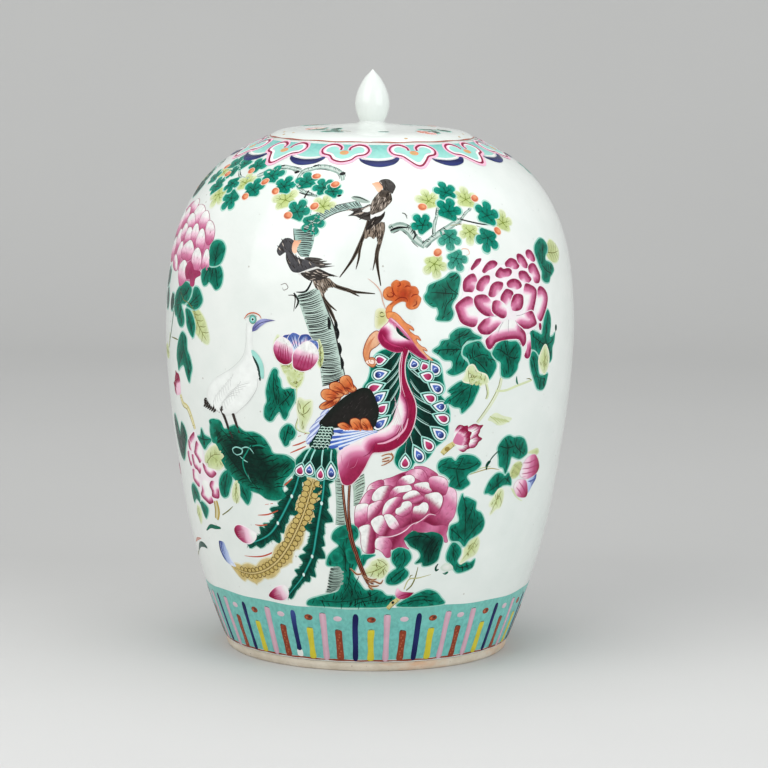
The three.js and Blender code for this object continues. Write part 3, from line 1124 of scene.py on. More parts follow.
def leaflets(jar, tone, *parts, **look):
    """Leaflets, each (angle, height, turn, length, width)."""
    pale = tone == "lime"
    drawn = [(jar.at(a, h, turn), length * 1.06, width * 1.18,
            leaflet_outline(length * 1.06, width * 1.18, pale)) for a, h, turn, length, width in parts]
    for b, length, width, outline in drawn:
        jar.panel.add(grown(curve(b(outline), True, 4), 0.8), LIME_HALO if pale else LEAF_HALO)
    for b, length, width, outline in drawn:
        leaflet(b, length, width, tone, outline=outline, **look)


def right_peony():
    p, jar = panel("right_peony_leaves_left", 1.5)
    wash(jar, [(22.3, 261.5), (24.2, 261.5), (25.2, 258), (24.6, 252), (24, 247), (22.8, 243),
            (22.3, 240), (22.8, 236), (21.9, 232), (20, 231.5), (17.9, 232.5), (18.5, 236), (18.1, 240),
            (16.8, 240.5), (15.2, 243.5), (14.6, 247), (15.4, 250), (16, 254), (18.5, 256.5),
            (20.6, 258.5)], ribs=([(24.4, 248), (22, 252), (21, 257)],
            [(24.2, 248), (20, 249), (16.4, 249.6)], [(23.4, 246), (21, 242), (20, 235)],
            [(21, 251), (19.6, 253.6)]), heading=60)
    wash(jar, [(24.2, 226.5), (27.4, 226), (28.7, 223), (31.2, 220), (29.9, 218.5), (26.5, 218),
            (25.3, 214), (25.5, 208), (27.2, 204), (26.5, 200), (23.2, 196.8), (21.1, 199), (22.5, 202),
            (22.3, 206), (20.2, 207), (18.7, 210), (17, 213), (18.7, 216), (19.4, 219), (21.5, 220),
            (21.9, 223)], ribs=([(25, 213), (21, 213.4), (17.8, 213)],
            [(25, 214), (24.4, 219), (24.6, 225)], [(25, 214.6), (27.4, 219.6), (30, 219.8)],
            [(25, 212), (23.8, 206), (23.6, 199)], [(24.6, 215), (22, 218.4)]), heading=40)
    wash(jar, [(26.1, 215), (28.7, 217.5), (30.8, 217.5), (32.5, 213), (34.6, 209), (36.3, 202),
            (35.6, 197), (34.1, 192.8), (32.7, 195), (30.3, 198), (28.2, 202), (27, 207), (25.5, 210)],
        ribs=([(28.6, 207), (31, 203), (34, 196)], [(28.6, 207.4), (28.4, 212), (29, 216.4)],
            [(28.8, 207.4), (31.4, 209), (33.6, 208)], [(28.4, 207), (26.8, 210.4)],
            [(30, 204.6), (33.4, 204)]), heading=130)
    wash(jar, [(34.8, 210), (36.3, 215), (38.8, 217.2), (40.9, 216), (43.4, 215.5), (45.1, 211),
            (45.1, 205), (44.3, 201), (43.8, 197), (41.3, 192.8), (38.4, 194), (37.9, 199), (37.7, 203),
            (36.3, 205), (35.2, 207.5)], ribs=([(40.2, 207), (37.6, 211), (36, 211.6)],
            [(40.2, 207), (39.6, 212), (39, 216.4)], [(40.4, 207), (42.2, 211), (43.6, 214)],
            [(40.4, 206.4), (42.6, 205), (44.6, 205)], [(40.2, 206), (40.6, 200), (41, 194.6)]),
        heading=90)
    wash(jar, [(23.6, 191), (25.5, 192.8), (27.8, 191.5), (30.8, 189.5), (30.8, 186.5), (29.9, 182),
            (29.2, 178.4), (27.6, 174.6), (26, 172), (25.4, 175.4), (23.6, 176.4), (22, 178.6),
            (20.4, 178.4), (21.2, 182), (22.6, 184.4), (21.6, 187)],
        ribs=([(28, 189), (25.6, 186), (22, 180.4)], [(28.4, 188.6), (28, 182), (27, 175)],
            [(27.8, 189.6), (25, 189.6)]), heading=60)
    wash(jar, [(27.2, 201), (28.7, 202.5), (30.3, 198), (32.9, 195.5), (33.7, 191), (32, 190),
            (30.3, 192), (28.7, 191.5), (26.1, 193), (26.5, 196)], "lime",
        ribs=([(32.6, 193), (29.6, 195.4), (27.4, 198)], [(30.6, 195), (29.4, 200)],
            [(29.8, 195), (28, 193.4)]))
    p.build()
    p, jar = panel("right_peony_leaves_right", 1.5)
    leaflets(jar, "lime", (60, 270, -92, 21, 13), veins=4)
    wash(jar, [(56.5, 278), (58.6, 279.5), (60.7, 278), (61.8, 274), (61.1, 270.5), (59.5, 268),
            (59.2, 265), (61.1, 263.5), (62.8, 261.5), (63.5, 258), (62, 255.5), (60.7, 254),
            (59.5, 250.8), (57.4, 251), (55.9, 253.5), (56.1, 258), (55.2, 262), (54.6, 266), (54, 271),
            (54.6, 275)], ribs=([(56.8, 263), (58, 270), (59.4, 276)],
            [(56.8, 262), (59, 258), (61.4, 256)], [(56.6, 263), (56, 271)]), heading=70)
    wash(jar, [(49.3, 221.5), (51.9, 220), (54.2, 218), (54.8, 222), (55.9, 229), (57.6, 233.3),
            (59, 229), (59.2, 223), (58.6, 216), (60.3, 215.5), (61.6, 217), (61.4, 212), (60.3, 208),
            (60.3, 201), (58.8, 199), (58.2, 205), (54.8, 205), (53.1, 205), (51, 208.5), (49.3, 210),
            (48.9, 216)], ribs=([(56, 211), (56.6, 220), (57.6, 230)],
            [(55.6, 211), (53, 214), (50, 218)], [(56.6, 210.6), (59.4, 212), (61, 215)],
            [(57, 210), (59, 206), (59.4, 201)]), heading=80)
    wash(jar, [(49.8, 207.5), (51.4, 207), (52.9, 203), (53.1, 197), (54, 192), (56.1, 191),
            (58.4, 191.5), (58.2, 188), (57.6, 184), (56.1, 181.5), (53.6, 182.5), (52.3, 186),
            (51, 191), (49.8, 196), (49.1, 202)], ribs=([(50.4, 205), (51.6, 197), (54.6, 185)],
            [(52.6, 191), (56, 188.6)]), heading=100)
    wash(jar, [(56.1, 210.5), (57.6, 207), (58.4, 202), (58.2, 196), (56.5, 192), (54.4, 196),
            (53.3, 201), (54.2, 206)], "lime", ribs=([(56.1, 208), (56.2, 201), (56.4, 194)],
            [(56.1, 204), (57.6, 200)], [(56.2, 201), (54.6, 198)], [(56.2, 199), (57.6, 196)]))
    jar.line([(60.5, 214), (61.6, 216.5), (62.4, 219)], 0.8, GREEN)
    jar.dot(62.5, 220.5, 0.65, 2.2, DEEP_GREEN)
    p.build()
    p, jar = panel("right_peony", 1.1, over=0.04)
    jar.blob([(28, 226), (25, 240), (27, 256), (29, 266), (34, 268), (40, 265), (46, 269), (51, 272),
            (53, 262), (55, 250), (56, 240), (53, 226), (48.6, 220), (42, 219), (36, 220), (32, 222)],
        (0.86, 0.81, 0.83))
    for outer, inner in (
        ([(28.6, 264), (29.6, 267), (30.8, 269.6), (32.4, 269.8)],
            [(31.6, 266.6), (30, 264), (29, 262.6)]),
        ([(32.2, 261.6), (32.8, 264), (34, 266.6),
                (35.4, 268.2), (37, 268), (37.8, 266)], [(36.6, 263.6), (34.4, 262), (33, 260.4)]),
        ([(40.4, 265.8), (41.6, 268), (43, 269), (44.8, 267.6), (46, 264.6), (45.8, 262.6)],
            [(44.6, 261.4), (43, 262), (41, 263)]),
        ([(49.6, 272), (50.8, 273.4), (52.2, 272.6),
                (53.2, 270), (53.6, 266.2)], [(52.4, 265), (50.6, 267), (49.6, 269)]),
        ([(45.4, 270), (46.4, 271.4), (48, 270), (49.2, 266.6), (49.8, 262.6)],
            [(48.6, 261.4), (47, 263), (45.6, 266)]),
        ([(49.8, 262.6), (51.4, 264.4), (53, 263.6),
                (54.2, 260), (55, 255.6), (54.4, 252), (53.4, 251)],
            [(51.8, 252), (51, 257), (49.8, 259)]),
        ([(27.6, 249), (26, 249.8), (25.8, 254),
                (26.4, 257.4), (28, 260), (29.6, 260.4)], [(30.4, 256), (29.6, 252), (28.8, 249)]),
        ([(53.6, 248.6), (54.8, 249), (56.6, 247), (57.8, 243.6), (58, 240), (57.2, 235.4),
                (55.8, 230.6), (54.2, 226.6)], [(52.6, 228), (51.6, 234), (52.6, 242), (52.8, 246)]),
        ([(46.6, 205.8), (47.8, 203.6), (49, 204.8), (49.4, 209)],
            [(49.2, 215), (48.8, 219), (47.4, 218), (47.6, 211)]),
        ([(54, 225), (54.2, 222), (53.4, 220.8), (52.9, 223)], [(53, 225.4)]),
        ([(36.6, 258.2), (36.8, 260.4), (37.8, 262.6), (38.8, 263.6), (39.8, 262.4), (41.2, 262.8),
                (42.4, 262), (42.8, 260)], [(41.8, 257.6), (39.8, 257), (38, 256.6)]),
        ([(30, 250.4), (30.2, 254), (31.4, 257.2), (33, 259), (34.6, 258.6)],
            [(34.4, 255), (33, 251.6), (31.8, 249)]),
        ([(45.4, 259.4), (46.8, 260.4), (48.6, 259.4),
                (49.8, 256.6), (50.6, 254)], [(49, 252), (47, 253), (45.4, 255.6)]),
        ([(33.8, 246), (34.2, 250), (35, 253), (36.8, 254.8), (39, 253.8)],
            [(38.8, 250.6), (37.4, 247.6), (35.6, 245)]),
        ([(40.4, 253.4), (41.8, 255.4), (43.8, 255.6),
                (45.6, 253.6), (46.2, 250.4)], [(44.4, 248.6), (42.6, 249.6), (40.8, 250.6)]),
        ([(27.4, 246.5), (25.5, 245), (23.4, 241), (23.8, 236), (24.8, 230.5), (26.5, 228),
                (28.8, 226.8)], [(30, 230), (30, 238), (29, 244)]),
        ([(48, 252), (50.2, 250.6), (52, 248.4), (52.6, 245.4), (51.8, 240), (51, 236), (50.2, 233.6)],
            [(46.6, 232.6), (46.2, 238), (46.4, 244), (47, 249.4)]),
        ([(32.6, 247), (30, 246.8), (29, 244), (29.4, 240), (30.8, 236), (33, 233.2)],
            [(35.6, 233.6), (35, 240), (34.2, 244)]),
        ([(31.6, 230.8), (30, 227), (30.2, 224.4),
                (31.4, 222), (34, 221.6), (36.2, 223.6)], [(38.6, 229), (35.6, 232.4), (33, 232)]),
        ([(45, 224), (47.4, 222.8), (49, 223), (51.8, 225), (51.4, 229), (50.4, 233), (49.4, 234.2)],
            [(46.6, 233), (43, 230.6), (43.6, 227)]),
        ([(32.5, 218), (33, 213.6), (34, 212), (35.2, 214),
                (36, 216), (38, 217), (41, 217.4), (44, 216.8), (45, 214.6), (46, 211.8), (47.2, 214.6),
                (47, 220), (45.8, 223)], [(44, 226), (42.2, 229.5), (40, 230), (38, 228), (36, 224),
                (34, 221)]),
        ([(37.8, 244.4), (38.8, 247.6), (40, 249.6), (41.4, 249), (42.6, 247)],
            [(42.4, 242), (40, 238), (38.2, 240)]),
        ([(35.4, 242.6), (34.8, 240), (34.8, 236),
                (36.4, 233), (38.4, 231)], [(39.8, 233), (39.4, 239), (37.2, 242.6)]),
        ([(42, 243), (43, 245.6), (45, 245.8), (46.4, 244), (46.4, 239.6), (45.6, 236.2), (44, 235)],
            [(42, 235.6), (41.4, 239)]),
    ):
        curled(jar, outer, inner)
    for a, h, turn in ((38.5, 229, 150), (40.5, 230, 182), (43, 229, -140), (43.4, 232, -80),
        (36.5, 233, 100)):
        jar.at(a, h, turn).line([(0, 0), (0.6, 5), (0.2, 9)], 0.35, (0.42, 0.36, 0.40), (1, 0.3))
    p.build()
    p, jar = panel("right_peony_stems", 1.7)
    stem(jar, [(38.4, 193), (37.6, 186), (35, 176), (31.2, 165)], 2.6, PALE_LIME, light=(0.72, 0.76, 0.6))
    stem(jar, [(33.2, 191), (34, 184), (33.6, 180)], 1.8, PALE_LIME)
    stem(jar, [(50.5, 189), (45, 187), (40, 184.5), (36.6, 185)], 1.6, PALE_LIME, PALE_LIME)
    jar.line([(44, 193), (44.2, 189.5), (44.8, 187.5)], 1.5, GREEN)
    jar.line([(48, 190.5), (49.5, 190.2), (50.5, 189)], 0.6, OLIVE)
    for k in range(5):
        jar.line([(35 + k * 1.3, 167.5 - k * 0.4), (36.6 + k * 1.3, 165.5 - k * 0.3),
                (38.2 + k * 1.1, 162.3 + k * 0.3)], 1.6, LIME, (0.9, 0.3))
    jar.blob([(34.6, 166.5), (37, 170.5), (40, 168), (43.5, 165.5), (41, 162.5), (38.5, 162), (36, 165)],
        (0.70, 0.76, 0.52))
    for k in range(5):
        jar.line([(35.2 + k * 1.3, 168.6 - k * 0.7), (37 + k * 1.2, 166 - k * 0.5),
                (38.6 + k * 0.9, 162.8 + k * 0.3)], 0.7, LIME, (0.9, 0.3))
    p.build()
    p, jar = panel("right_bud", 1.2)
    stem(jar, [(20.8, 146), (22.4, 149.5), (24.6, 153)], 4.2, STRAW, OLIVE, ticks=3)
    jar.dot(22.3, 149, 0.8, 1.6, (0.35, 0.25, 0.06))
    bloom(jar, [(25, 153.5, -88, 19, 11), (25, 154, -64, 21, 9), (24.6, 153, -112, 12, 8),
            (24.4, 154, -42, 13, 11)], depth=0.5)
    bloom(jar, [(24.2, 153.5, -66, 13.5, 12)], depth=0.7, light=PINK, middle=ROSE)
    p.build()
    p, jar = panel("right_small_leaf_above_bud", 1.7)
    leaflets(jar, "lime", (32.6, 192, 78, 12, 8), (30, 191, 30, 7, 6), veins=3)
    for k in range(5):
        jar.line([(26 + k * 0.5, 195 + k), (26.8 + k * 0.6, 192.8 + k * 0.6)], 0.4, (0.45, 0.12, 0.06))
    p.build()


def twig(jar, points, width, ticks=6):
    """A branch washed blue-grey between broken black edges, with dark ticks across it."""
    jar.line(points, width, streaky((0.33, 0.46, 0.40), 0.5), (0.8, 0.5), rise=0.08)
    jar.line(points, width * 0.4, (0.58, 0.68, 0.62), (0.6, 0.3))
    p = curve(jar(points), False, 6)
    d = np.gradient(p, axis=0)
    n = np.stack([-d[:, 1], d[:, 0]], 1) / np.maximum(np.linalg.norm(d, axis=1), 1e-9)[:, None]
    raw = jar.flat()
    for side in (-0.48, 0.48):
        for k in range(3):
            i, j = int(len(p) * (k / 3 + rng.uniform(0, 0.1))), int(len(p) * ((k + 1) / 3 - rng.uniform(0,
                        0.12)))
            if j - i > 2:
                raw.line((p + n * side * width)[i:j:2], 0.5, INK, (0.5, 0.3), steps=2)
    for k in range(ticks):
        i = int(rng.uniform(0.05, 0.95) * (len(p) - 1))
        w = width * rng.uniform(0.25, 0.5)
        raw.line([p[i] + n[i] * w, p[i] + d[i] * 0.6 - n[i] * w * 0.2], rng.uniform(0.4, 0.8), INK,
            (1, 0.3), steps=2)


def vine(name, leaves, berries):
    """Small vine leaves, each (tone, angle, height, size, turn), and berries at (angle, height)."""
    p, jar = panel(name, 1.5)
    for tone, a, h, size, turn in leaves:
        maple(jar.at(a, h, turn), size, tone)
    for k, (a, h) in enumerate(berries):
        berry(jar.at(a, h), 2.8, 40 * math.sin(k * 2.4))
    p.build()


def right_foliage():
    p, jar = panel("right_branch", 1.4)
    twig(jar, [(5.4, 289.5), (8.5, 292), (11, 289), (13, 283), (15.4, 278.5)], 6.0, 12)
    twig(jar, [(15.2, 279), (18, 284), (22, 289), (26, 294), (28.6, 296.5)], 4.0, 12)
    twig(jar, [(18.4, 286), (19, 293), (20.2, 299), (21.4, 306.5)], 2.2, 8)
    twig(jar, [(28, 296), (30, 300), (32.6, 303.4)], 1.8, 4)
    jar.line([(27.6, 296), (31, 294), (35, 292), (39, 291)], 1.0, INK, (0.9, 0.3))
    jar.line([(24, 292), (28, 292.5), (32, 291.5), (35, 289.5)], 0.8, (0.45, 0.45, 0.30), (0.8, 0.3))
    jar.line([(12.4, 289), (12.8, 286), (12, 283)], 1.2, INK, (0.8, 0.3))
    jar.line([(5.6, 289), (8, 291), (11, 291)], 1.5, INK, (0.7, 0.2))
    jar.line([(9.4, 301), (10.4, 300), (10.8, 297)], 0.8, (0.12, 0.13, 0.12), (0.7, 0.3))
    jar.line([(10.2, 300.4), (11.0, 299)], 0.7, INK)
    p.build()
    vine("right_vine_leaves", [("lime", 18.3, 309, 8.5, 10), ("lime", 31.6, 309.5, 9, -10),
            ("lime", 43, 292, 8.5, -20), ("lime", 30, 287.5, 8, 170), ("lime", 17.8, 267.5, 8.5, 190),
            ("deep", 25.2, 315, 8.5, 8), ("deep", 24.2, 301.5, 9.5, -25), ("deep", 15.4, 292.5, 8.0, 35),
            ("bright", 23, 284.5, 8.5, 180), ("bright", 24.4, 270.5, 8.0, 200),
            ("deep", 37.6, 297.5, 10, -20), ("deep", 35.8, 283, 9.5, 160)],
        [(16, 305), (35.2, 310.2), (40, 287), (19, 274.6)])
    p, jar = panel("right_pale_berry", 1.6)
    jar.line([(26.4, 272), (28.6, 273), (28.4, 276), (26.6, 276.4), (26.2, 274), (26.4, 272)], 0.6,
        (0.75, 0.42, 0.28))
    p.build()


right_peony()
right_foliage()


# ---------------------------------------------------------------- the front: upper left


def left_foliage():
    p, jar = panel("left_branch", 1.4)
    twig(jar, [(-45, 325), (-40, 330.5), (-36, 335), (-30.5, 334), (-26, 331.5)], 4.0, 10)
    twig(jar, [(-26.5, 331), (-24, 334), (-19.5, 337), (-14, 334.6), (-11, 330.6), (-10, 325)], 5.0, 14)
    twig(jar, [(-26, 332), (-26.6, 326), (-25, 318.6), (-21.6, 314), (-17, 311.6)], 2.8, 8)
    twig(jar, [(-64, 335), (-58, 330), (-54, 324), (-49, 322.6), (-44.6, 325)], 1.8, 8)
    jar.line([(-21, 316), (-21.8, 309), (-20, 303), (-18, 297)], 1.3, SOOT, (0.9, 0.4))
    jar.line([(-25, 315), (-22, 313), (-18, 312.6)], 0.8, INK, (0.8, 0.3))
    for a, h, r in ((-28.5, 331, 1.8), (-10.6, 331, 2.1), (-22.4, 337.6, 1.5), (-10.4, 313.4, 1.8),
        (-36.2, 336.4, 1.2), (-21.4, 338.6, 1.1), (-27.2, 317.6, 1.0)):
        jar.at(a, h).dot(0, 0, r, r * 0.72, INK, turn=35)
    for k in range(9):
        a, h = -44 + 1.9 * k, 326.5 + 8.5 * math.sin((k + 1) / 7)
        jar.line([(a, h), (a + 0.9, h + 1.8)], 0.5, INK, (1, 0.3))
    p.build()
    vine("left_vine_leaves", [("lime", -28.2, 308, 9.5, 20), ("lime", -15, 304.5, 8, -15),
            ("lime", -48, 318.6, 8.5, 15), ("lime", -58.6, 308, 9, 170), ("lime", -67.4, 325, 8, 15),
            ("deep", -38, 326, 9.5, 0), ("deep", -30.6, 318, 8.5, -8), ("deep", -22.8, 322.4, 8.6, 15),
            ("deep", -16, 318.4, 7.8, 30), ("deep", -12.8, 315.8, 6.6, -30),
            ("deep", -23, 300, 8.8, -20), ("deep", -17.6, 293.6, 8.4, 200), ("deep", -42.6, 314, 9, 5),
            ("deep", -50.6, 306.4, 9, 150), ("deep", -49.4, 334, 9, -25), ("deep", -55, 317.4, 7.6, 200),
            ("deep", -63.4, 313.4, 8.6, 40), ("deep", -65.6, 334, 8.6, 10), ("deep", -58, 334.5, 8, 60),
            ("deep", -60.4, 326.6, 6.6, 100), ("deep", -71.5, 319, 7.5, 20)],
        [(-20, 328), (-12.4, 321.6), (-33.2, 314.2), (-17.8, 304.6), (-25.8, 297.4), (-44.6, 308.6),
            (-39.4, 321), (-50, 329.2), (-63, 324.2), (-70, 330)])
    p, jar = panel("trunk_upper", 1.4)
    outer = [(-20.6, 284), (-20, 291), (-17, 299), (-13, 304), (-9, 306.8), (-4, 309.4)]
    inner = [(-16.8, 284), (-16.6, 290), (-14, 296), (-10.4, 300.6), (-6, 303.4), (-2.6, 304.6)]
    jar.shape(np.concatenate([curve(outer), curve(inner)[::-1]]), streaky((0.42, 0.58, 0.52), 0.4),
        rise=0.1)
    hatch(jar, outer, inner, 34, INK, 0.5, 0.3)
    jar.line(outer, 0.7, SOOT, (0.5, 0.5))
    jar.line(inner, 0.6, SOOT, (0.5, 0.5))
    jar.blob([(-6.4, 311.4), (-4.6, 313), (-1.6, 310.6), (-0.4, 308.4), (-3, 308)], (0.40, 0.50, 0.44))
    jar.line([(-6, 312.2), (-3.6, 311.6), (-1, 309)], 0.9, INK, (0.7, 0.3))
    mid_l, mid_r = [(-23.2, 289), (-22.4, 283), (-21.4, 276), (-19.6, 271)], [(-16.4, 288), (-16.4, 280),
        (-17.4, 271)]
    jar.shape(np.concatenate([curve(mid_l), curve(mid_r)[::-1]]), streaky((0.36, 0.54, 0.48), 0.4),
        rise=0.1)
    hatch(jar, mid_r, mid_l, 15, INK, 0.6, -0.5)
    jar.line(mid_l, 0.8, SOOT)
    jar.line([(-21, 290), (-17, 287), (-16.2, 284)], 0.8, INK)
    p.build()


def trunk():
    """The old trunk that winds down behind the birds, hatched across in black."""
    p, jar = panel("trunk_middle", 1.4)
    left = [(-20.2, 246.5), (-18.4, 236), (-16.4, 224), (-14.4, 212), (-13.2, 201), (-12.6, 190)]
    right = [(-14, 252.5), (-11.8, 240), (-9.6, 228), (-8.2, 214), (-7, 202.5), (-6.4, 196)]
    jar.shape(np.concatenate([curve(left), curve(right)[::-1]]), streaky((0.52, 0.66, 0.59), 0.3),
        rise=0.12)
    hatch(jar, left, right, 56, INK, 0.62, 0.9)
    jar.line(right, 0.8, SOOT, (0.5, 0.5))
    for pts in ([(-21, 248), (-19.6, 243), (-20.4, 238)], [(-16, 256), (-17.6, 249.4), (-20.4, 248.6)],
        [(-10.8, 232), (-11, 228), (-10.2, 226)]):
        jar.line(pts, 1.3, INK, (0.7, 0.2))
    for a, h in ((-9.4, 229), (-8.9, 224), (-8.2, 214), (-7.6, 205), (-11.2, 230)):
        jar.line([(a, h + 4), (a + 0.4, h), (a + 0.3, h - 4)], 2.0, INK, (0.3, 0.2))
    jar.line([(-22.6, 246.4), (-20.6, 245.6), (-20.8, 236.4)], 0.7, BROWN, (0.5, 0.3))
    jar.line([(-25, 252.6), (-23.6, 253.6), (-22.8, 251), (-24, 249.4), (-24.4, 251)], 0.5,
        (0.25, 0.22, 0.20), (0.8, 0.3))
    p.build()
    p, jar = panel("trunk_lower", 1.5)
    left = [(-9.6, 134), (-9.4, 122), (-9.3, 110), (-9.6, 99)]
    right = [(-7.4, 134), (-7, 122), (-6.8, 110), (-6.6, 99)]
    jar.shape(np.concatenate([curve(left), curve(right)[::-1]]), streaky((0.42, 0.56, 0.48), 0.4),
        rise=0.1)
    hatch(jar, right, left, 20, SOOT, 0.5, 0.5)
    left, right = [(-4.6, 128), (-4.2, 120), (-4.2, 112)], [(-1.2, 134), (-1, 124), (-3, 112)]
    jar.shape(np.concatenate([curve(left), curve(right)[::-1]]), streaky((0.46, 0.60, 0.50), 0.4),
        rise=0.1)
    hatch(jar, right, left, 12, SOOT, 0.5, -0.3)
    p.build()


def feathered(jar, outline, tone, heading, barbs=0.10, pale=0.25):
    """An area of short feathers that all point one way, dark ones and a share of pale ones."""
    poly = curve(jar(outline), True, 5)
    jar.panel.add(poly, streaky(tone, 0.9), 0.2)
    raw = jar.flat()
    span = poly.max(0) - poly.min(0)
    for p in scatter(poly, int(barbs * span[0] * span[1]), 0.3):
        t = math.radians(heading) + rng.normal(0, 0.16)
        u = np.array([math.cos(t), math.sin(t)]) * rng.uniform(1.0, 2.2)
        colour = (0.55, 0.47, 0.40) if rng.uniform() < pale else (0.025, 0.018, 0.014)
        raw.line([p - u, p, p + u], rng.uniform(0.4, 0.65), colour, (0.6, 0.15), steps=2)


def streamer(jar, points, width=2.0):
    """A long tail feather that narrows to a point."""
    jar.line(points, width, streaky((0.15, 0.115, 0.085), 0.8), (1.0, 0.2))
    jar.line(points, width * 0.45, (0.02, 0.014, 0.01), (0.8, 0.3))


def swallows():
    slate, sepia, buff = (0.085, 0.075, 0.07), (0.10, 0.078, 0.06), (0.30, 0.235, 0.18)
    throat = ((0.80, 0.38, 0.22), (0.86, 0.56, 0.40))
    p, jar = panel("swallow_upper", 1.2)
    jar.blob([(0, 322.8), (0, 322.8), (1.5, 324), (2.65, 324), (3.8, 320), (2.9, 316), (2, 316.5),
            (0.9, 320.5)], jar.fade((2.4, 324), (1, 318), *throat), rise=0.1)
    streamer(jar, [(-0.7, 295.5), (-1.4, 290), (-2.9, 281), (-5.1, 270), (-8.4, 258.8)], 2.4)
    streamer(jar, [(-2.6, 281), (-3.1, 276), (-3.3, 271), (-4, 264)], 1.5)
    streamer(jar, [(3.4, 294.5), (3.5, 290), (2.6, 282), (1.7, 274), (1.9, 266), (2.8, 254)], 2.6)
    streamer(jar, [(2, 280), (1.5, 274), (1.2, 270), (0.6, 263.5)], 1.3)
    feathered(jar, [(-1.4, 291), (-1.8, 286), (-1.6, 283.5), (-0.3, 285), (0.8, 283.5), (1.5, 285),
            (2.2, 280), (3.2, 283), (3.8, 291), (3.3, 295), (1.6, 293)], buff, 85, 0.22, 0.12)
    feathered(jar, [(-0.2, 307), (-2.4, 305), (-4.2, 303.8), (-5.5, 303.4), (-8.2, 302.8), (-8.2, 302.8),
            (-5.4, 301.6), (-7.1, 298.4), (-7.1, 298.4), (-4.9, 298.6), (-3.3, 297), (-0.7, 295.5),
            (0.2, 297), (0.2, 302)], slate, 25, 0.12, 0.2)
    jar.blob([(-2.8, 302), (-1.4, 304.4), (-0.2, 305.4), (0.2, 303.4), (-1, 301.4)], (0.78, 0.79, 0.76))
    jar.blob([(0, 301), (2, 301.6), (3.6, 303), (4, 301.6), (3, 299.4), (1, 298), (0, 296)],
        (0.80, 0.81, 0.78))
    feathered(jar, [(4.25, 302.4), (4.25, 302.4), (4.0, 299), (3, 295.5), (1.5, 292.5), (-0.2, 290),
            (-1.6, 288.8), (-1.6, 288.8), (-1.4, 291.5), (-0.3, 296), (1, 298), (2.8, 299.2)],
        (0.045, 0.038, 0.034), 50, 0.10, 0.15)
    feathered(jar, [(3.8, 318), (6, 316.5), (6.6, 312), (6.4, 309), (5.1, 306), (3.5, 302.5), (2, 301),
            (0, 299.6), (-0.3, 304), (0.2, 309), (1.5, 313.5), (2.7, 316.4)], (0.20, 0.165, 0.135), 70,
        0.20, 0.35)
    feathered(jar, [(3.4, 317.6), (6, 316.6), (6.6, 312), (6.3, 309), (5.2, 309), (4.4, 312), (2.4, 313)],
        sepia, 60, 0.12, 0.2)
    feathered(jar, [(2.65, 324), (3.3, 326), (4.9, 326.9), (6.4, 326.2), (7.7, 323.5), (8.2, 320.5),
            (7.6, 317.5), (6.8, 314.8), (6.2, 316), (5.3, 317), (4, 317.5), (3.7, 320.5)],
        (0.085, 0.075, 0.07), 110, 0.08, 0.15)
    p.build()
    p, jar = panel("swallow_lower", 1.2)
    jar.blob([(-22.4, 281.5), (-19.9, 282), (-20.4, 278), (-21.3, 273), (-22.4, 274), (-22.8, 278)],
        jar.fade((-22.4, 282), (-21, 273), *throat), rise=0.1)
    streamer(jar, [(-11.7, 257.5), (-9.5, 253.5), (-6, 251), (-4.2, 250), (1.3, 249)], 2.4)
    streamer(jar, [(-6.4, 251), (-5, 249.6), (-2.9, 247.2)], 1.3)
    streamer(jar, [(-14.4, 252), (-12.2, 244), (-10, 235), (-9.1, 230)], 2.2)
    streamer(jar, [(-12.6, 246), (-11, 241.6), (-8.9, 237.8)], 1.4)
    feathered(jar, [(-15.7, 256.4), (-14.4, 258), (-11.7, 258.4), (-9.4, 253.2), (-11.3, 252),
            (-12.2, 249), (-13.2, 245.6), (-14.2, 250), (-15, 252)], buff, 120, 0.22, 0.12)
    feathered(jar, [(-18.6, 270.2), (-15.3, 270.8), (-13.3, 269.8), (-14.2, 269), (-12, 268.9),
            (-13.3, 267.7), (-10.6, 267.2), (-12.6, 265.9), (-9.7, 266), (-9.7, 266), (-13.5, 264.3),
            (-16.6, 264)], slate, -8, 0.12, 0.25)
    jar.blob([(-20.4, 262), (-18, 263.6), (-15, 265), (-14, 263.6), (-17, 260.4), (-19.4, 259)],
        (0.74, 0.74, 0.71))
    feathered(jar, [(-19.4, 260.4), (-17.6, 261.6), (-15.4, 263.4), (-14, 263.8), (-11.3, 261.2),
            (-8.6, 259.2), (-8.6, 259.2), (-11.3, 259.3), (-12.2, 258), (-14.4, 256.5), (-17, 256.4)],
        (0.06, 0.05, 0.045), -12, 0.16, 0.3)
    feathered(jar, [(-27.2, 275.5), (-27, 272.5), (-26.1, 270.8), (-25.2, 272.2), (-24.4, 273),
            (-24.1, 269), (-23.2, 265), (-21.9, 261.4), (-20.1, 260.8), (-18.6, 262), (-17, 263.5),
            (-15.3, 265), (-15.7, 267), (-17.9, 269), (-20.1, 270), (-21.7, 272), (-22.6, 275),
            (-22.6, 279), (-22.4, 281), (-24.1, 282.6), (-25.9, 281.2)], (0.082, 0.08, 0.088), -55,
        0.05, 0.2)
    p.build()


left_foliage()
trunk()
swallows()


# ---------------------------------------------------------------- the front: left side


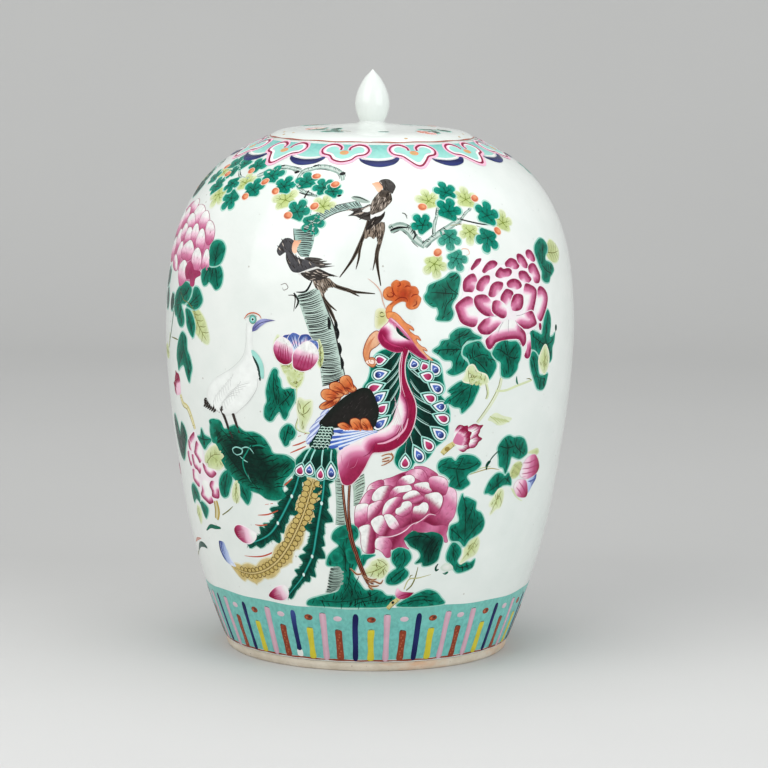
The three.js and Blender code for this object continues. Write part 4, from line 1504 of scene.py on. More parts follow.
def left_peony():
    p, jar = panel("left_peony", 1.15)
    jar.blob([(-85, 264), (-87, 276), (-84, 290), (-78, 299), (-72, 300), (-65, 296), (-59, 290),
            (-54.4, 284), (-53, 276), (-52.6, 264), (-55, 257), (-58.6, 249), (-62, 248), (-66, 247),
            (-70, 253), (-76, 257), (-82, 258)], streaky((0.64, 0.22, 0.37), 0.4))
    for outline in ([(-76, 297), (-73, 301), (-70.5, 300), (-70, 295), (-71, 292), (-75, 293)],
        [(-80, 284), (-79, 292), (-76.6, 294), (-74.6, 290), (-74.8, 284), (-77, 281)],
        [(-86, 276), (-85, 286), (-82, 290), (-80, 284), (-81, 275), (-84, 272)],
        [(-69, 292), (-68, 297), (-65, 297.6), (-62.6, 295), (-61.6, 290), (-63, 285), (-66, 286)],
        [(-62.4, 288), (-62, 293), (-60, 294), (-57.6, 290), (-56, 284), (-57, 282), (-60, 283),
            (-62, 285)], [(-57, 283), (-57, 287.6), (-55, 287.4), (-53, 283.6), (-52.4, 278),
            (-53.6, 275), (-55, 276), (-56, 280)], [(-72.6, 287), (-71.4, 290.6), (-69, 291),
            (-66.6, 287.6), (-65.6, 283.4), (-67.6, 281.8), (-70.6, 284)],
        [(-79, 270), (-78, 277), (-75.6, 278), (-73.6, 272), (-75, 266), (-78, 264)],
        [(-85, 262), (-84, 270), (-81, 272), (-79, 266), (-80, 259), (-83, 258)],
        [(-74.6, 277), (-74, 282.6), (-72.4, 283.6), (-70.6, 281.6), (-70.6, 275), (-72.6, 273.6)],
        [(-69.6, 277), (-69, 281), (-67, 281.6), (-65, 278), (-64.8, 274), (-66.6, 272), (-69, 273)],
        [(-65.2, 280), (-64.6, 284), (-63, 284.4), (-61.2, 280.4), (-60.6, 275), (-61.4, 271),
            (-63, 273), (-64.6, 276)], [(-60.6, 276), (-60, 281), (-58.4, 281.6), (-56.6, 277),
            (-56, 271), (-56.6, 267), (-58, 269), (-60, 272)], [(-54.8, 264), (-54.2, 269), (-53, 269),
            (-51.8, 263), (-52, 258.6), (-53.6, 257.6), (-54.8, 260)],
        [(-74, 263), (-73, 269), (-71, 271), (-69.6, 266), (-70, 260), (-72.6, 257.6)],
        [(-69.4, 266), (-68, 270), (-65, 273.4), (-62.8, 271.4), (-61.6, 267.6), (-62.6, 263.4),
            (-65, 262), (-68, 263)], [(-60.8, 264), (-60, 268), (-58.4, 269.4), (-56.6, 266), (-56, 261),
            (-57, 257), (-58.4, 256), (-60, 259)], [(-77, 259), (-75, 262), (-72.6, 259), (-72, 254),
            (-74.6, 253.6), (-76.6, 255.6)], [(-69.2, 252), (-68.4, 257), (-66, 259.6), (-64, 257),
            (-63.6, 250), (-65, 246), (-67, 245), (-68.4, 248)]):
        middle = np.mean(outline, 0)
        outline = [tuple(middle + (np.array(p) - middle) * 1.2) for p in outline]
        cupped(jar, outline, outline[2], outline[-2], WHITE, WHITE, BLUSH, PINK, (0.54, 0.10, 0.23))
    cupped(jar, [(-64.4, 256), (-62, 261), (-60, 259), (-58.6, 256), (-56, 256), (-55, 254), (-57.6, 251),
            (-58, 246.4), (-60, 245.6), (-60.6, 250), (-63, 250)], (-61, 261), (-59, 247), ROSE,
        (0.36, 0.03, 0.11), ROSE)
    p.build()
    p, jar = panel("left_peony_leaves", 1.7)
    wash(jar, [(-51.5, 261.4), (-46.9, 261.4), (-45.1, 257), (-44.9, 251.8), (-45.7, 247.5),
            (-47.4, 245.8), (-49.2, 248.7), (-50.5, 250), (-51.5, 248), (-53, 247.5), (-54.4, 251.8),
            (-54.5, 257), (-53, 259.6)], ribs=([(-49.4, 261), (-49.6, 255), (-50, 251)],
            [(-49, 261), (-47.4, 254), (-46.8, 248)], [(-50, 261), (-52.4, 255), (-52.8, 250)]),
        heading=95)
    wash(jar, [(-52.3, 274.4), (-50.5, 277.3), (-47.6, 277), (-45.6, 273), (-45.7, 266.6), (-46.9, 262.2),
            (-49.5, 260.4), (-51.7, 261.4), (-52.5, 267.4)], ribs=([(-49, 261.4), (-49, 268),
                (-49, 276)], [(-49, 265), (-47, 270)], [(-49, 266), (-51, 271)]), heading=90)
    leaflets(jar, "lime", (-57.6, 232, -138, 27, 12), veins=4)
    wash(jar, [(-61.7, 230), (-59.4, 230.5), (-57.2, 227), (-55.8, 221), (-56.1, 216), (-57, 212.8),
            (-58.9, 215.5), (-60.6, 220), (-61.1, 225)], ribs=([(-60.6, 229), (-58.6, 222), (-57, 214)],
            ), heading=110)
    wash(jar, [(-60.6, 234), (-58.5, 239), (-57.6, 245), (-55.5, 245.5), (-53.6, 242), (-52.7, 237.5),
            (-54.2, 233), (-56.4, 231), (-58.9, 231.5), (-61.1, 232.5)],
        ribs=([(-60, 233), (-57, 237), (-54.4, 241)], [(-58.6, 233), (-55, 234.6)]), heading=30)
    wash(jar, [(-70.7, 230), (-70.7, 234), (-69.2, 240), (-66.2, 245), (-63.2, 247.8), (-60.2, 246.5),
            (-58.7, 243), (-59.8, 237), (-62.3, 233.5), (-64.5, 232.5), (-62.8, 227), (-62.1, 222),
            (-63.2, 218.5), (-65.3, 218.2), (-67, 221), (-67.9, 224), (-69.2, 224.5)],
        ribs=([(-65.4, 233), (-63, 239), (-60.4, 244)], [(-65.8, 233), (-67, 239), (-68, 241)],
            [(-66, 232), (-69.4, 231)], [(-65.4, 231.6), (-64.6, 226), (-64.2, 220)]), heading=60)
    jar.line([(-66, 241), (-63.6, 236), (-60.4, 234.6), (-57, 231), (-54.8, 227)], 0.6, OLIVE)
    leaflets(jar, "dull", (-77, 234, 100, 12, 12), (-78.5, 244, 60, 12, 12), (-74.5, 233, -100, 9, 10),
        (-83, 262, 20, 20, 15), (-84, 306, 0, 20, 16), (-80, 303, 30, 18, 15))
    p.build()
    p, jar = panel("left_peony_stems", 1.7)
    jar.line([(-70, 232), (-71.5, 222), (-73, 213), (-75, 206)], 1.4, streaky((0.10, 0.22, 0.15), 0.3),
        (0.9, 0.4))
    jar.line([(-73, 209), (-69, 209), (-66, 208.6)], 1.0, OLIVE)
    stem(jar, [(-80, 199), (-76, 203), (-74.6, 212)], 2.0, PALE_LIME)
    leaflets(jar, "lime", (-76, 197, 84, 16, 8), veins=3)
    p.build()
    p, jar = panel("left_bud", 1.2)
    stem(jar, [(-67, 172.6), (-65.6, 167), (-62.6, 165), (-60.6, 159), (-59.2, 152)], 4.0, STRAW, OLIVE,
        ticks=5, light=(0.78, 0.74, 0.45))
    bloom(jar, [(-67.4, 174, 24, 15, 11), (-67, 174, 72, 15, 11), (-67, 173.6, 48, 13, 13)], depth=0.8,
        light=BLUSH, middle=ROSE)
    p.build()
    p, jar = panel("left_low_peony", 1.15)
    jar.blob([(-64, 146), (-60, 150), (-57.6, 146), (-56.4, 140), (-55, 132), (-50.6, 128), (-49.8, 120),
            (-50, 110), (-54, 104), (-58, 104), (-61, 107), (-62, 112), (-65.6, 116), (-66, 126),
            (-66, 138)], (0.85, 0.78, 0.81))
    for outer, inner in (
        ([(-67, 134), (-66.6, 128), (-65.4, 125)], [(-64, 129), (-65, 135)]),
        ([(-65, 137), (-65.2, 141), (-64.2, 143.6)], [(-62, 141), (-62.8, 136)]),
        ([(-64, 143.8), (-62.3, 147.1), (-59.9, 149.8)], [(-60.4, 145), (-62.6, 141.6)]),
        ([(-64.7, 123.3), (-65.1, 120), (-65.1, 116.3), (-63.8, 114.2), (-61.5, 112.1)],
            [(-60.8, 115), (-61.5, 120), (-63, 123.3)]),
        ([(-63.8, 133.3), (-63.6, 127.5),
                (-62.6, 124.6), (-61.2, 123.8), (-60, 121.7), (-59.1, 122.5)],
            [(-58.5, 126.7), (-60.4, 130), (-61.9, 133.3)]),
        ([(-59.5, 143.8), (-61.2, 137.5),
                (-61.7, 135), (-60, 131.7), (-58.9, 129.2)], [(-57.1, 132.5), (-56.7, 137.5),
                (-58.2, 142.5)]),
        ([(-57.1, 130), (-56.9, 125.8), (-55.6, 122.5), (-53.3, 121),
                (-51.5, 122.5), (-50.3, 125)], [(-51.8, 126.7), (-54.8, 127.5)]),
        ([(-59.9, 110.8), (-61, 107.5), (-60, 105.4), (-58.2, 103.8), (-56.3, 102.3), (-54.8, 103.3),
                (-53.7, 105)], [(-54.8, 110), (-55.2, 116.7), (-57.8, 118.3), (-59.3, 115)]),
        ([(-53.7, 118.8), (-54.8, 115.4), (-53.9, 111.7), (-54.1, 108.3), (-52.2, 107.5), (-50.5, 108.3),
                (-50, 111.7)], [(-50.3, 116.7), (-51.8, 119.2)]),
    ):
        curled(jar, outer, inner, 5.5)
    p.build()
    p, jar = panel("left_low_stems", 1.7)
    stem(jar, [(-52.6, 106), (-52.4, 99), (-53.4, 93)], 5.6, OCHRE, (0.14, 0.11, 0.02),
        light=(0.66, 0.60, 0.36))
    jar.line([(-50, 97), (-47, 100.6), (-44.4, 104.6)], 0.8, OLIVE, (0.9, 0.3))
    jar.line([(-61.4, 82.6), (-58, 86.6), (-55, 87), (-52, 87.4)], 3.0, streaky(GREEN, 0.7), (0.25, 0.4),
        rise=0.1)
    jar.line([(-55, 90), (-54, 88)], 0.8, OLIVE)
    jar.line([(-85, 56), (-79, 60), (-74, 65)], 1.2, OLIVE, (0.7, 0.4))
    jar.line([(-75, 64), (-71, 69), (-67, 70.6), (-64, 69.4)], 4.0, streaky((0.01, 0.10, 0.07), 0.7),
        (0.2, 0.3), rise=0.1)
    jar.line([(-77, 69), (-73, 72.4), (-68, 74.6)], 2.2, (0.60, 0.28, 0.22), (0.3, 0.2))
    p.build()


def crane():
    """The crane is mostly bare white: a low relief, thin grey lines, a blue beak and a turquoise eye."""
    p, jar = panel("crane_body", 1.5)
    body = [(-34.4, 228), (-33, 224), (-33, 214), (-32.4, 207), (-31, 199), (-30.6, 191), (-32, 184),
        (-34.6, 176), (-38, 169), (-43, 165.5), (-48, 168), (-51, 173), (-50.6, 181), (-47.5, 188),
        (-43, 194), (-39, 198), (-36, 205), (-35, 214), (-35.4, 222)]
    jar.blob(body, jar.rim(5, (0.76, 0.79, 0.76), (0.83, 0.86, 0.83), (0.84, 0.87, 0.84)), rise=0.35)
    grey = (0.62, 0.64, 0.62)
    for k in range(9):
        a, h = -47 + 0.9 * k, 178 + 1.9 * k
        jar.line([(a, h), (a - 1.2, h - 5), (a - 1.0, h - 9)], 0.36, grey, (0.8, 0.3), steps=3)
        jar.line([(a + 2.6, h - 4), (a + 1.6, h - 8), (a + 2.0, h - 12)], 0.36, grey, (0.8, 0.3), steps=3)
    for k in range(5):
        jar.line([(-39 + 1.2 * k, 180 + 2.2 * k), (-42 + k, 178 + 2 * k), (-45 + 0.8 * k, 173 + 2 * k)],
            0.32, grey, (0.8, 0.3), steps=4)
    jar.line([(-35.2, 227), (-35.2, 216), (-36.2, 206), (-40, 197.6), (-46, 190)], 0.36,
        (0.64, 0.66, 0.64), (0.7, 0.4))
    jar.line([(-31.4, 192), (-32, 185), (-35, 176), (-39.4, 168)], 0.4, (0.56, 0.58, 0.56), (0.7, 0.4))
    p.build()
    p, jar = panel("crane_head", 1.0, 0.2)
    jar.line([(-35.9, 229.6), (-34.8, 232.6), (-33, 233.8), (-31.2, 232.8), (-30.4, 230.6)], 0.8, ORANGE,
        (0.5, 0.3))
    jar.line([(-35.2, 230.4), (-34.2, 231.8), (-33, 232.4), (-31.8, 231.6)], 0.8, (0.40, 0.52, 0.42),
        (0.5, 0.3))
    jar.blob([(-33.2, 221.8), (-33.2, 221.8), (-33.0, 225), (-31.4, 229), (-29.4, 230.6), (-26, 230),
            (-26, 230), (-28.6, 228.4), (-30.6, 225.4), (-31.8, 223)],
        jar.fade((-33, 222), (-26, 230), (0.13, 0.13, 0.36), (0.32, 0.34, 0.62), (0.15, 0.14, 0.34)),
        rise=0.2)
    jar.line([(-32.8, 223.4), (-30.4, 227.8), (-27, 229.8)], 0.45, (0.06, 0.06, 0.18), (0.6, 0.3))
    b = jar.at(-33.1, 229.6)
    b.dot(0, 0, 2.9, 2.9, (0.14, 0.36, 0.28))
    b.dot(0, 0, 2.2, 2.2, TURQUOISE)
    b.dot(0.1, 0.1, 1.3, 1.3, (0.62, 0.80, 0.72))
    b.dot(0.1, 0.0, 0.8, 0.8, (0.02, 0.06, 0.05))
    jar.line([(-34.2, 209.4), (-32.6, 207.4), (-30.6, 201), (-29.9, 192.4)], 4.8, PALE_TURQUOISE,
        (0.4, 0.3))
    jar.line([(-33.0, 206.4), (-31.8, 202), (-31.1, 197.4), (-30.7, 191)], 2.2, (0.02, 0.06, 0.05),
        (0.4, 0.4))
    p.build()
    p, jar = panel("crane_tail_and_legs", 1.3, 0.17)
    for k in range(9):
        a, h = -52 + 0.85 * k, 171.5 - 0.55 * k + (2.4 if k > 5 else 0)
        jar.line([(a + 0.5, h + 2), (a + 0.1, h - 0.6), (a - 1.0, h - 2.6)], 1.6, (0.035, 0.025, 0.02),
            (0.5, 0.2), steps=4)
    for k in range(4):
        jar.line([(-51.2 + 0.3 * k, 174.6 - k), (-52, 174.2 - 1.2 * k), (-52.6, 172.6 - 1.3 * k)], 1.0,
            (0.035, 0.025, 0.02), (0.5, 0.2), steps=3)
    jar.line([(-45.2, 169.6), (-43.8, 163), (-42.8, 157), (-41.4, 151)], 2.0, (0.045, 0.035, 0.03),
        (1.3, 0.5))
    jar.line([(-40.8, 168.4), (-40, 163), (-39.2, 157.6), (-38.2, 152)], 2.0, (0.05, 0.035, 0.03),
        (1.3, 0.4))
    for k in range(3):
        jar.line([(-41.4, 151.6), (-42 + 1.1 * k, 149.6)], 0.7, (0.02, 0.02, 0.02))
        jar.line([(-38.2, 152.4), (-38.8 + 1.2 * k, 150.4)], 0.7, (0.02, 0.02, 0.02))
    p.build()


def rock(jar, outline, centre, ridges=(), count=70):
    """A rock in dark green wash, with short brush strokes over it."""
    jar.blob([(centre[0] + (a - centre[0]) * 1.03, h + (0.7 if h > centre[1] else -0.7)) for a,
            h in outline], (0.28, 0.58, 0.48))
    jar.blob(outline, jar.rim(11, streaky(SEA_GREEN, 1), streaky(GREEN, 1), streaky(DEEP_GREEN, 1),
            streaky((0, 0.035, 0.022), 1)), rise=0.25)
    poly = curve(jar(outline), True, 6)
    raw = jar.flat()
    spots = rng.uniform(poly.min(0), poly.max(0), (count * 3, 2))
    spots = spots[inside(spots, poly)]
    spots = spots[distance(spots, poly) > 2.2][:count]
    for x, y in spots:
        t = 0.5 * math.sin(x * 0.11 + y * 0.05) + 0.3
        long = rng.uniform(2.0, 5.0)
        u = np.array([math.cos(t), math.sin(t)]) * long
        raw.line([(x - u[0], y - u[1]), (x, y + 0.5), (x + u[0], y + u[1])], rng.uniform(0.4, 0.8),
            (0.0, 0.022, 0.015), (0.4, 0.2), steps=3)
    for pts in ridges:
        jar.line(pts, 0.9, (0.0, 0.02, 0.013), (0.5, 0.3))


def crane_rock():
    p, jar = panel("crane_rock", 1.8)
    rock(jar, [(-50.6, 147), (-51, 154), (-49.6, 160.5), (-46, 161.4), (-44.4, 156.4), (-42, 158.6),
            (-39.6, 160), (-36.8, 156.6), (-33.6, 156.8), (-30.6, 154), (-28.6, 148), (-27.6, 144),
            (-24, 143.6), (-21.6, 140.6), (-20.6, 137), (-22.6, 131), (-24.4, 127), (-25.4, 121),
            (-24.4, 116.4), (-27, 113), (-31, 113), (-33.6, 116), (-37.6, 117.6), (-41, 121),
            (-44.4, 127), (-46.6, 132), (-48, 138), (-48.6, 144)], (-37, 138),
        [[(-46, 156), (-42, 149), (-40, 141), (-42, 133)], [(-36, 156), (-33, 150), (-34, 143),
                (-30, 136)], [(-28, 143), (-32, 139), (-36, 140)],
            [(-47, 147), (-44, 139), (-40, 130), (-36, 124), (-33, 118)],
            [(-26, 138), (-30, 131), (-32, 122)]], 120)
    swirl = (0.30, 0.66, 0.58)
    jar.line([(-41.6, 141), (-42, 143.6), (-40.4, 145.4), (-38.4, 144.4), (-38.6, 141.8), (-40.4, 140.2),
            (-41.6, 141.2)], 0.9, swirl, (0.6, 0.4))
    jar.line([(-38.8, 144.6), (-37, 146.2), (-35.4, 145.6), (-34.2, 142.6)], 0.9, swirl, (0.5, 0.3))
    jar.line([(-39.4, 139.6), (-38, 137.4), (-36.6, 136.2)], 0.8, swirl, (0.4, 0.3))
    jar.line([(-37, 128), (-36.4, 124)], 0.5, swirl, (0.4, 0.3))
    jar.line([(-35, 148), (-36.6, 143), (-38.4, 137), (-38, 130), (-36, 123)], 1.0, (0.01, 0.30, 0.20),
        (0.4, 0.4))
    jar.line([(-34.6, 147.4), (-32, 148.6), (-29.6, 147.4)], 0.9, (0.01, 0.30, 0.20), (0.4, 0.3))
    p.build()


def magnolia():
    p, jar = panel("magnolia", 1.1)
    leaflets(jar, "lime", (-19.8, 188, 8, 14, 9), (-20.4, 196, 42, 12, 7), (-21, 193, -38, 11, 7),
        (-25.6, 206, -4, 14, 4), (-13, 202, 4, 17, 4), veins=3)
    for a, h, turn, long, wide, c in ((-19.6, 211, 44, 15, 8, BLUE),
        (-19.4, 209, 14, 16, 9, (0.10, 0.17, 0.48)), (-18.8, 210, -24, 15, 9, BLUE),
        (-18.4, 208, -46, 16, 8, (0.12, 0.20, 0.52))):
        petal(jar.at(a, h, turn), long, wide, c, (0.66, 0.75, 0.88), 0.9, 1, middle=SKY, gap=0.3)
    for k in range(6):
        jar.line([(-22 + 1.1 * k, 222 - 0.6 * k), (-21 + 0.8 * k, 217 - 0.6 * k),
                (-20 + 0.4 * k, 212 - 0.4 * k)], 0.6, BLUE, (0.6, 0.2))
    for outline, low, high, colours in (
        ([(-26.5, 212), (-25.6, 217.4), (-24, 219.6), (-21.8, 217),
                (-20.8, 210.6), (-21.2, 204.6), (-23.2, 202.6), (-25.4, 205.4)], (-25.6, 204),
            (-22.6, 219), (CRIMSON, CRIMSON, ROSE, PINK, BLUSH, WHITE, WHITE)),
        ([(-20.8, 205), (-20.4, 200.8), (-18, 199), (-15.4, 201.4), (-13.7, 208), (-14.4, 214.4),
                (-16.6, 218), (-19, 214.4), (-20.6, 210)], (-18.4, 199.4), (-16.4, 218),
            (CRIMSON, ROSE, ROSE, PINK, BLUSH, WHITE, WHITE, WHITE)),
    ):
        jar.panel.add(grown(curve(jar(outline), True, 5), 0.5), (0.84, 0.76, 0.80))
        jar.blob(outline, jar.fade(low, high, *(streaky(c, 0.4) for c in colours)), rise=0.3)
    for k in range(5):
        jar.line([(-25.2 + 0.8 * k, 205.6 - 0.4 * k), (-25 + 0.7 * k, 210),
                (-24.6 + 0.5 * k, 215 + 0.3 * k)], 0.5, (0.36, 0.02, 0.09), (0.5, 0.2))
        jar.line([(-19.8 + 1.0 * k, 201.4 - 0.3 * k), (-19 + 0.9 * k, 206),
                (-18.4 + 0.8 * k, 209 + 0.4 * k)], 0.5, (0.40, 0.03, 0.11), (0.5, 0.2))
    p.build()
    p, jar = panel("magnolia_leaves", 1.6)
    stem(jar, [(-19.6, 190), (-20, 181), (-19.4, 170), (-20, 161.4), (-15, 158.6)], 1.2, PALE_LIME)
    wash(jar, [(-25.9, 199.6), (-25.2, 198), (-25.2, 195), (-24.5, 192.5), (-24.2, 188), (-23.4, 186.7),
            (-22.3, 187.3), (-20.7, 187.6), (-20.3, 184), (-20.4, 180), (-21.3, 175.8), (-22.2, 172.4),
            (-22.5, 170), (-23.4, 167.1), (-24.2, 168.3), (-25, 171.7), (-26.2, 169.2), (-27.3, 165.8),
            (-28.6, 165.2), (-29.8, 168), (-29.6, 174), (-28.8, 178), (-29, 184), (-28.4, 190),
            (-27.6, 195), (-26.8, 198.6)], ribs=([(-25.6, 176), (-26.6, 186), (-26.4, 197)],
            [(-25, 176), (-22.6, 181), (-21, 186)], [(-26, 175), (-28, 168)],
            [(-25, 175), (-23.6, 169)]), heading=85)
    wash(jar, [(-23.4, 200), (-20.9, 200.8), (-18.1, 197.5), (-18.4, 194.2), (-19.8, 190.8),
            (-20.9, 188.3), (-21.6, 192.5), (-22.7, 195.8)], "lime", heading=70)
    wash(jar, [(-19.1, 181.3), (-17.4, 180), (-15.8, 180.4), (-15.6, 177.5), (-15.9, 171.7),
            (-17.4, 164.2), (-18.1, 160.8), (-19, 162.5), (-19.3, 168.3), (-19.7, 175.8)], "lime",
        ribs=([(-19.4, 180), (-19.5, 174), (-18.7, 170.6)], [(-18.6, 170.6), (-17, 172.6), (-16, 176)],
            [(-18.2, 175), (-17, 178), (-15.8, 180)]), heading=80)
    wash(jar, [(-22.7, 164.2), (-21.4, 163.3), (-20.4, 159.6), (-20.7, 156.7), (-21.4, 154.6),
            (-22.3, 153.3), (-22.7, 150.8), (-23.9, 149.6), (-24.8, 152.9), (-25.3, 155.8), (-25, 159.2),
            (-24.1, 162.1)], ribs=([(-22.4, 163), (-23.2, 157), (-24, 151)], [(-23, 159), (-21, 157)]),
        heading=100)
    p.build()


left_peony()
crane()
crane_rock()
magnolia()


# ---------------------------------------------------------------- the front: the phoenix


def peacock_eye(b, tone, length, width=6.2):
    """The eye of a feather, its point at the origin and its round end up +y."""
    core, glow = {"c": (CRIMSON, (0.55, 0.06, 0.18)), "b": (NAVY, (0.08, 0.15, 0.52))}[tone]
    width, length = width * 1.3, length * 1.18

    def drop(k):
        long, w = length * k, width * k / 2
        low = length * 0.66 * (1 - k)
        right = [(w * 0.62, low + 0.28 * long), (w, low + 0.58 * long), (w * 0.80, low + 0.87 * long)]
        return [(0, low), (0, low), *right, (0, low + long), *[(-x, y) for x, y in right[::-1]]]

    b.blob(drop(1.0), (0.36, 0.72, 0.63), steps=4)
    b.blob(drop(0.84), (0.0, 0.09, 0.065), steps=4)
    b.blob(drop(0.70), (0.80, 0.84, 0.86), steps=4)
    b.blob(drop(0.48), b.fade((0, length * 0.5), (0, length * 0.85), glow, core), rise=0.1, steps=4)
    if tone == "b":
        b.line([(-width * 0.12, length * 0.62), (0, length * 0.54), (width * 0.12, length * 0.62)], 0.5,
            (0.55, 0.66, 0.88), (0.6, 0.4), steps=3)


def plume(jar, points, width, teeth=15, beads=()):
    """A long dark green feather with a ragged edge, barbs and a pale spine."""
    p = curve(jar(points), False, 8)
    d = np.gradient(p, axis=0)
    n = np.stack([-d[:, 1], d[:, 0]], 1) / np.maximum(np.linalg.norm(d, axis=1), 1e-9)[:, None]
    t = np.linspace(0, 1, len(p))

    def edge(side):
        out = []
        for k in range(teeth):
            tall = 1.0 + 0.32 * math.sin(k * 2.3 + side)
            for u, reach in ((k / teeth, 0.66), ((k + 0.35) / teeth, 0.82 * tall),
                ((k + 0.8) / teeth, tall)):
                i = np.array([np.interp(u, t, p[:, 0]), np.interp(u, t, p[:, 1])])
                m = np.array([np.interp(u, t, n[:, 0]), np.interp(u, t, n[:, 1])])
                w = width / 2 * min(1.0, 0.55 + 1.4 * u, 0.3 + 2.6 * (1 - u)) * reach
                out.append(i + m * w * side)
        return out

    poly = curve(np.array(edge(1) + edge(-1)[::-1]), True, 2)
    jar.panel.add(grown(poly, 0.7), (0.34, 0.62, 0.52))
    jar.panel.add(poly, jar.flat().rim(4, streaky((0.0, 0.13, 0.085), 0.8),
            streaky((0.0, 0.05, 0.034), 0.8)), 0.12)
    raw = jar.flat()
    for k in range(teeth * 3):
        i = int((k + 0.5) / (teeth * 3) * (len(p) - 1))
        for side in (-1, 1):
            w = width * 0.42 * min(1.0, 0.4 + 2 * t[i], 0.3 + 2.6 * (1 - t[i])) * side
            f = d[i] / np.linalg.norm(d[i]) * 2.6
            raw.line([p[i] + n[i] * w * 0.15, p[i] + n[i] * w * 0.6 + f * 0.5, p[i] + n[i] * w + f], 0.36,
                (0.0, 0.018, 0.013), (0.9, 0.3), steps=2)
    jar.line(points, 1.7, (0.0, 0.17, 0.12), (0.7, 0.4))
    jar.line(points, 0.9, (0.03, 0.38, 0.33), (0.8, 0.4))
    for u in beads:
        i = int(u * (len(p) - 1))
        raw.dot(*p[i], 0.9, 1.3, (0.66, 0.84, 0.80))


def phoenix_tail():
    p, jar = panel("phoenix_tail_yellow", 1.2)
    mid = [(-15.6, 129), (-17.4, 116), (-19.6, 103), (-22.6, 90), (-25.6, 80), (-29.6, 70.4),
        (-34.6, 63.4), (-40, 59.6), (-45, 59.4), (-50, 62)]
    gold, brown = (0.62, 0.47, 0.16), (0.12, 0.075, 0.015)
    line = curve(jar(mid), False, 8)
    d = np.gradient(line, axis=0)
    n = np.stack([-d[:, 1], d[:, 0]], 1) / np.linalg.norm(d, axis=1)[:, None]
    half = [4.4 + 2.4 * abs(math.sin(k * 0.31)) * (1 if k % 7 else 1.5) for k in range(len(line))]
    other = [4.4 + 2.6 * abs(math.cos(k * 0.27)) for k in range(len(line))]
    taper = np.minimum(1, np.minimum(np.arange(len(line)) / 6 + 0.5,
            (len(line) - np.arange(len(line))) / 9))
    ground = np.concatenate([line + n * (half * taper)[:, None],
            (line - n * (other * taper)[:, None])[::-1]])
    raw = jar.flat()
    jar.panel.add(grown(ground, 0.9), (0.74, 0.72, 0.54))
    jar.panel.add(ground, raw.rim(4, streaky((0.66, 0.54, 0.26), 0.3), streaky((0.62, 0.45, 0.13), 0.5)),
        0.1)
    at = np.concatenate([[0], np.cumsum(np.hypot(*np.diff(line, axis=0).T))])
    step = 4.0
    for k in range(int(at[-1] / step) - 2):
        s = (k + 0.8) * step
        i = np.array([np.interp(s, at, line[:, 0]), np.interp(s, at, line[:, 1])])
        m = np.array([np.interp(s, at, n[:, 0]), np.interp(s, at, n[:, 1])])
        r = 2.7 - 0.9 * s / at[-1]
        for side in (-1, 1):
            c = i + m * side * (r + 0.9) + np.array([0, 0.8 * side])
            raw.dot(*c, r, r * 0.92, brown)
            raw.dot(*c, r - 0.5, r * 0.92 - 0.5, streaky(gold, 0.4), rise=0.1)
    jar.line(mid, 2.0, brown, (0.6, 0.5))
    jar.line(mid, 1.2, (0.66, 0.52, 0.22), (0.6, 0.5))
    jar.blob([(-54.6, 77), (-54, 78), (-51.8, 77.6), (-50.8, 73), (-49.8, 67.6), (-47.6, 62.4), (-50, 62),
            (-53, 64.6), (-54.8, 71)], jar.fade((-55, 70), (-49.6, 70), NAVY, BLUE, SKY,
            (0.70, 0.76, 0.88)), rise=0.2)
    for k in range(5):
        jar.line([(-53.6 + 0.8 * k, 77 - k), (-53.8 + 0.9 * k, 71 - k), (-51.6 + 0.8 * k, 65 - 0.6 * k)],
            0.5, (0.45, 0.54, 0.82), (0.5, 0.3))
    p.build()
    p, jar = panel("phoenix_tail_green", 1.4)
    plume(jar, [(-19.6, 134), (-21.4, 122), (-24, 111), (-27, 100), (-30.4, 90.6), (-34.4, 85),
            (-40.6, 79.6)], 14.5, 10, beads=(0.27, 0.55))
    plume(jar, [(-12.4, 134), (-13, 120), (-14.2, 106), (-15.6, 91), (-17, 78), (-19.6, 67), (-22, 59),
            (-27.8, 45.6)], 14, 12, beads=(0.22, 0.60, 0.80))
    for outline, left, right in (
        ([(-45.3, 88), (-44.2, 91.4), (-42, 92.4), (-39, 90.6), (-36.4, 88),
                (-37, 84), (-39.4, 80.8), (-42, 80.8), (-44.4, 83.8)], (-44.6, 85), (-37.6, 89)),
        ([(-35, 45), (-32.8, 50), (-30.4, 52.8), (-28, 53.6), (-27, 50), (-27.6, 45.6), (-29.6, 43),
                (-32.8, 43)], (-33.4, 44), (-27.6, 52)),
    ):
        jar.panel.add(grown(curve(jar(outline), True, 6), 0.6), (0.84, 0.78, 0.80))
        jar.blob(outline, jar.fade(left, right, CRIMSON, ROSE, BLUSH, WHITE), rise=0.3)
        for k in range(4):
            u = 0.2 + 0.2 * k
            a0, h0 = left[0] + (right[0] - left[0]) * 0.1, left[1] + (right[1] - left[1]) * 0.1 + (
                u - 0.5) * 7
            jar.line([(a0, h0), (a0 + 3, h0 + 2)], 0.4, (0.62, 0.12, 0.24), (0.5, 0.2))
    for pts in ([(-42.5, 71.2), (-38, 71.8), (-34, 73.6), (-30, 77.6), (-26.6, 82.6)],
        [(-36.2, 94.4), (-34, 94.4), (-31.6, 95.6)], [(-34.8, 101.2), (-31, 102.6), (-27.4, 106)],
        [(-31.8, 109), (-29, 110.4)], [(-25.8, 121.6), (-24.4, 124), (-22.2, 128.4)],
        [(-24, 131), (-21.4, 134.4)], [(-22.4, 145.2), (-19.6, 148.2), (-17.6, 150.4)],
        [(-21.6, 150), (-19.6, 151.6), (-17.6, 153.8)], [(-19.8, 156.4), (-17, 159.2)]):
        jar.line(pts, 1.0, (0.55, 0.10, 0.05), (0.3, 0.5))
    p.build()


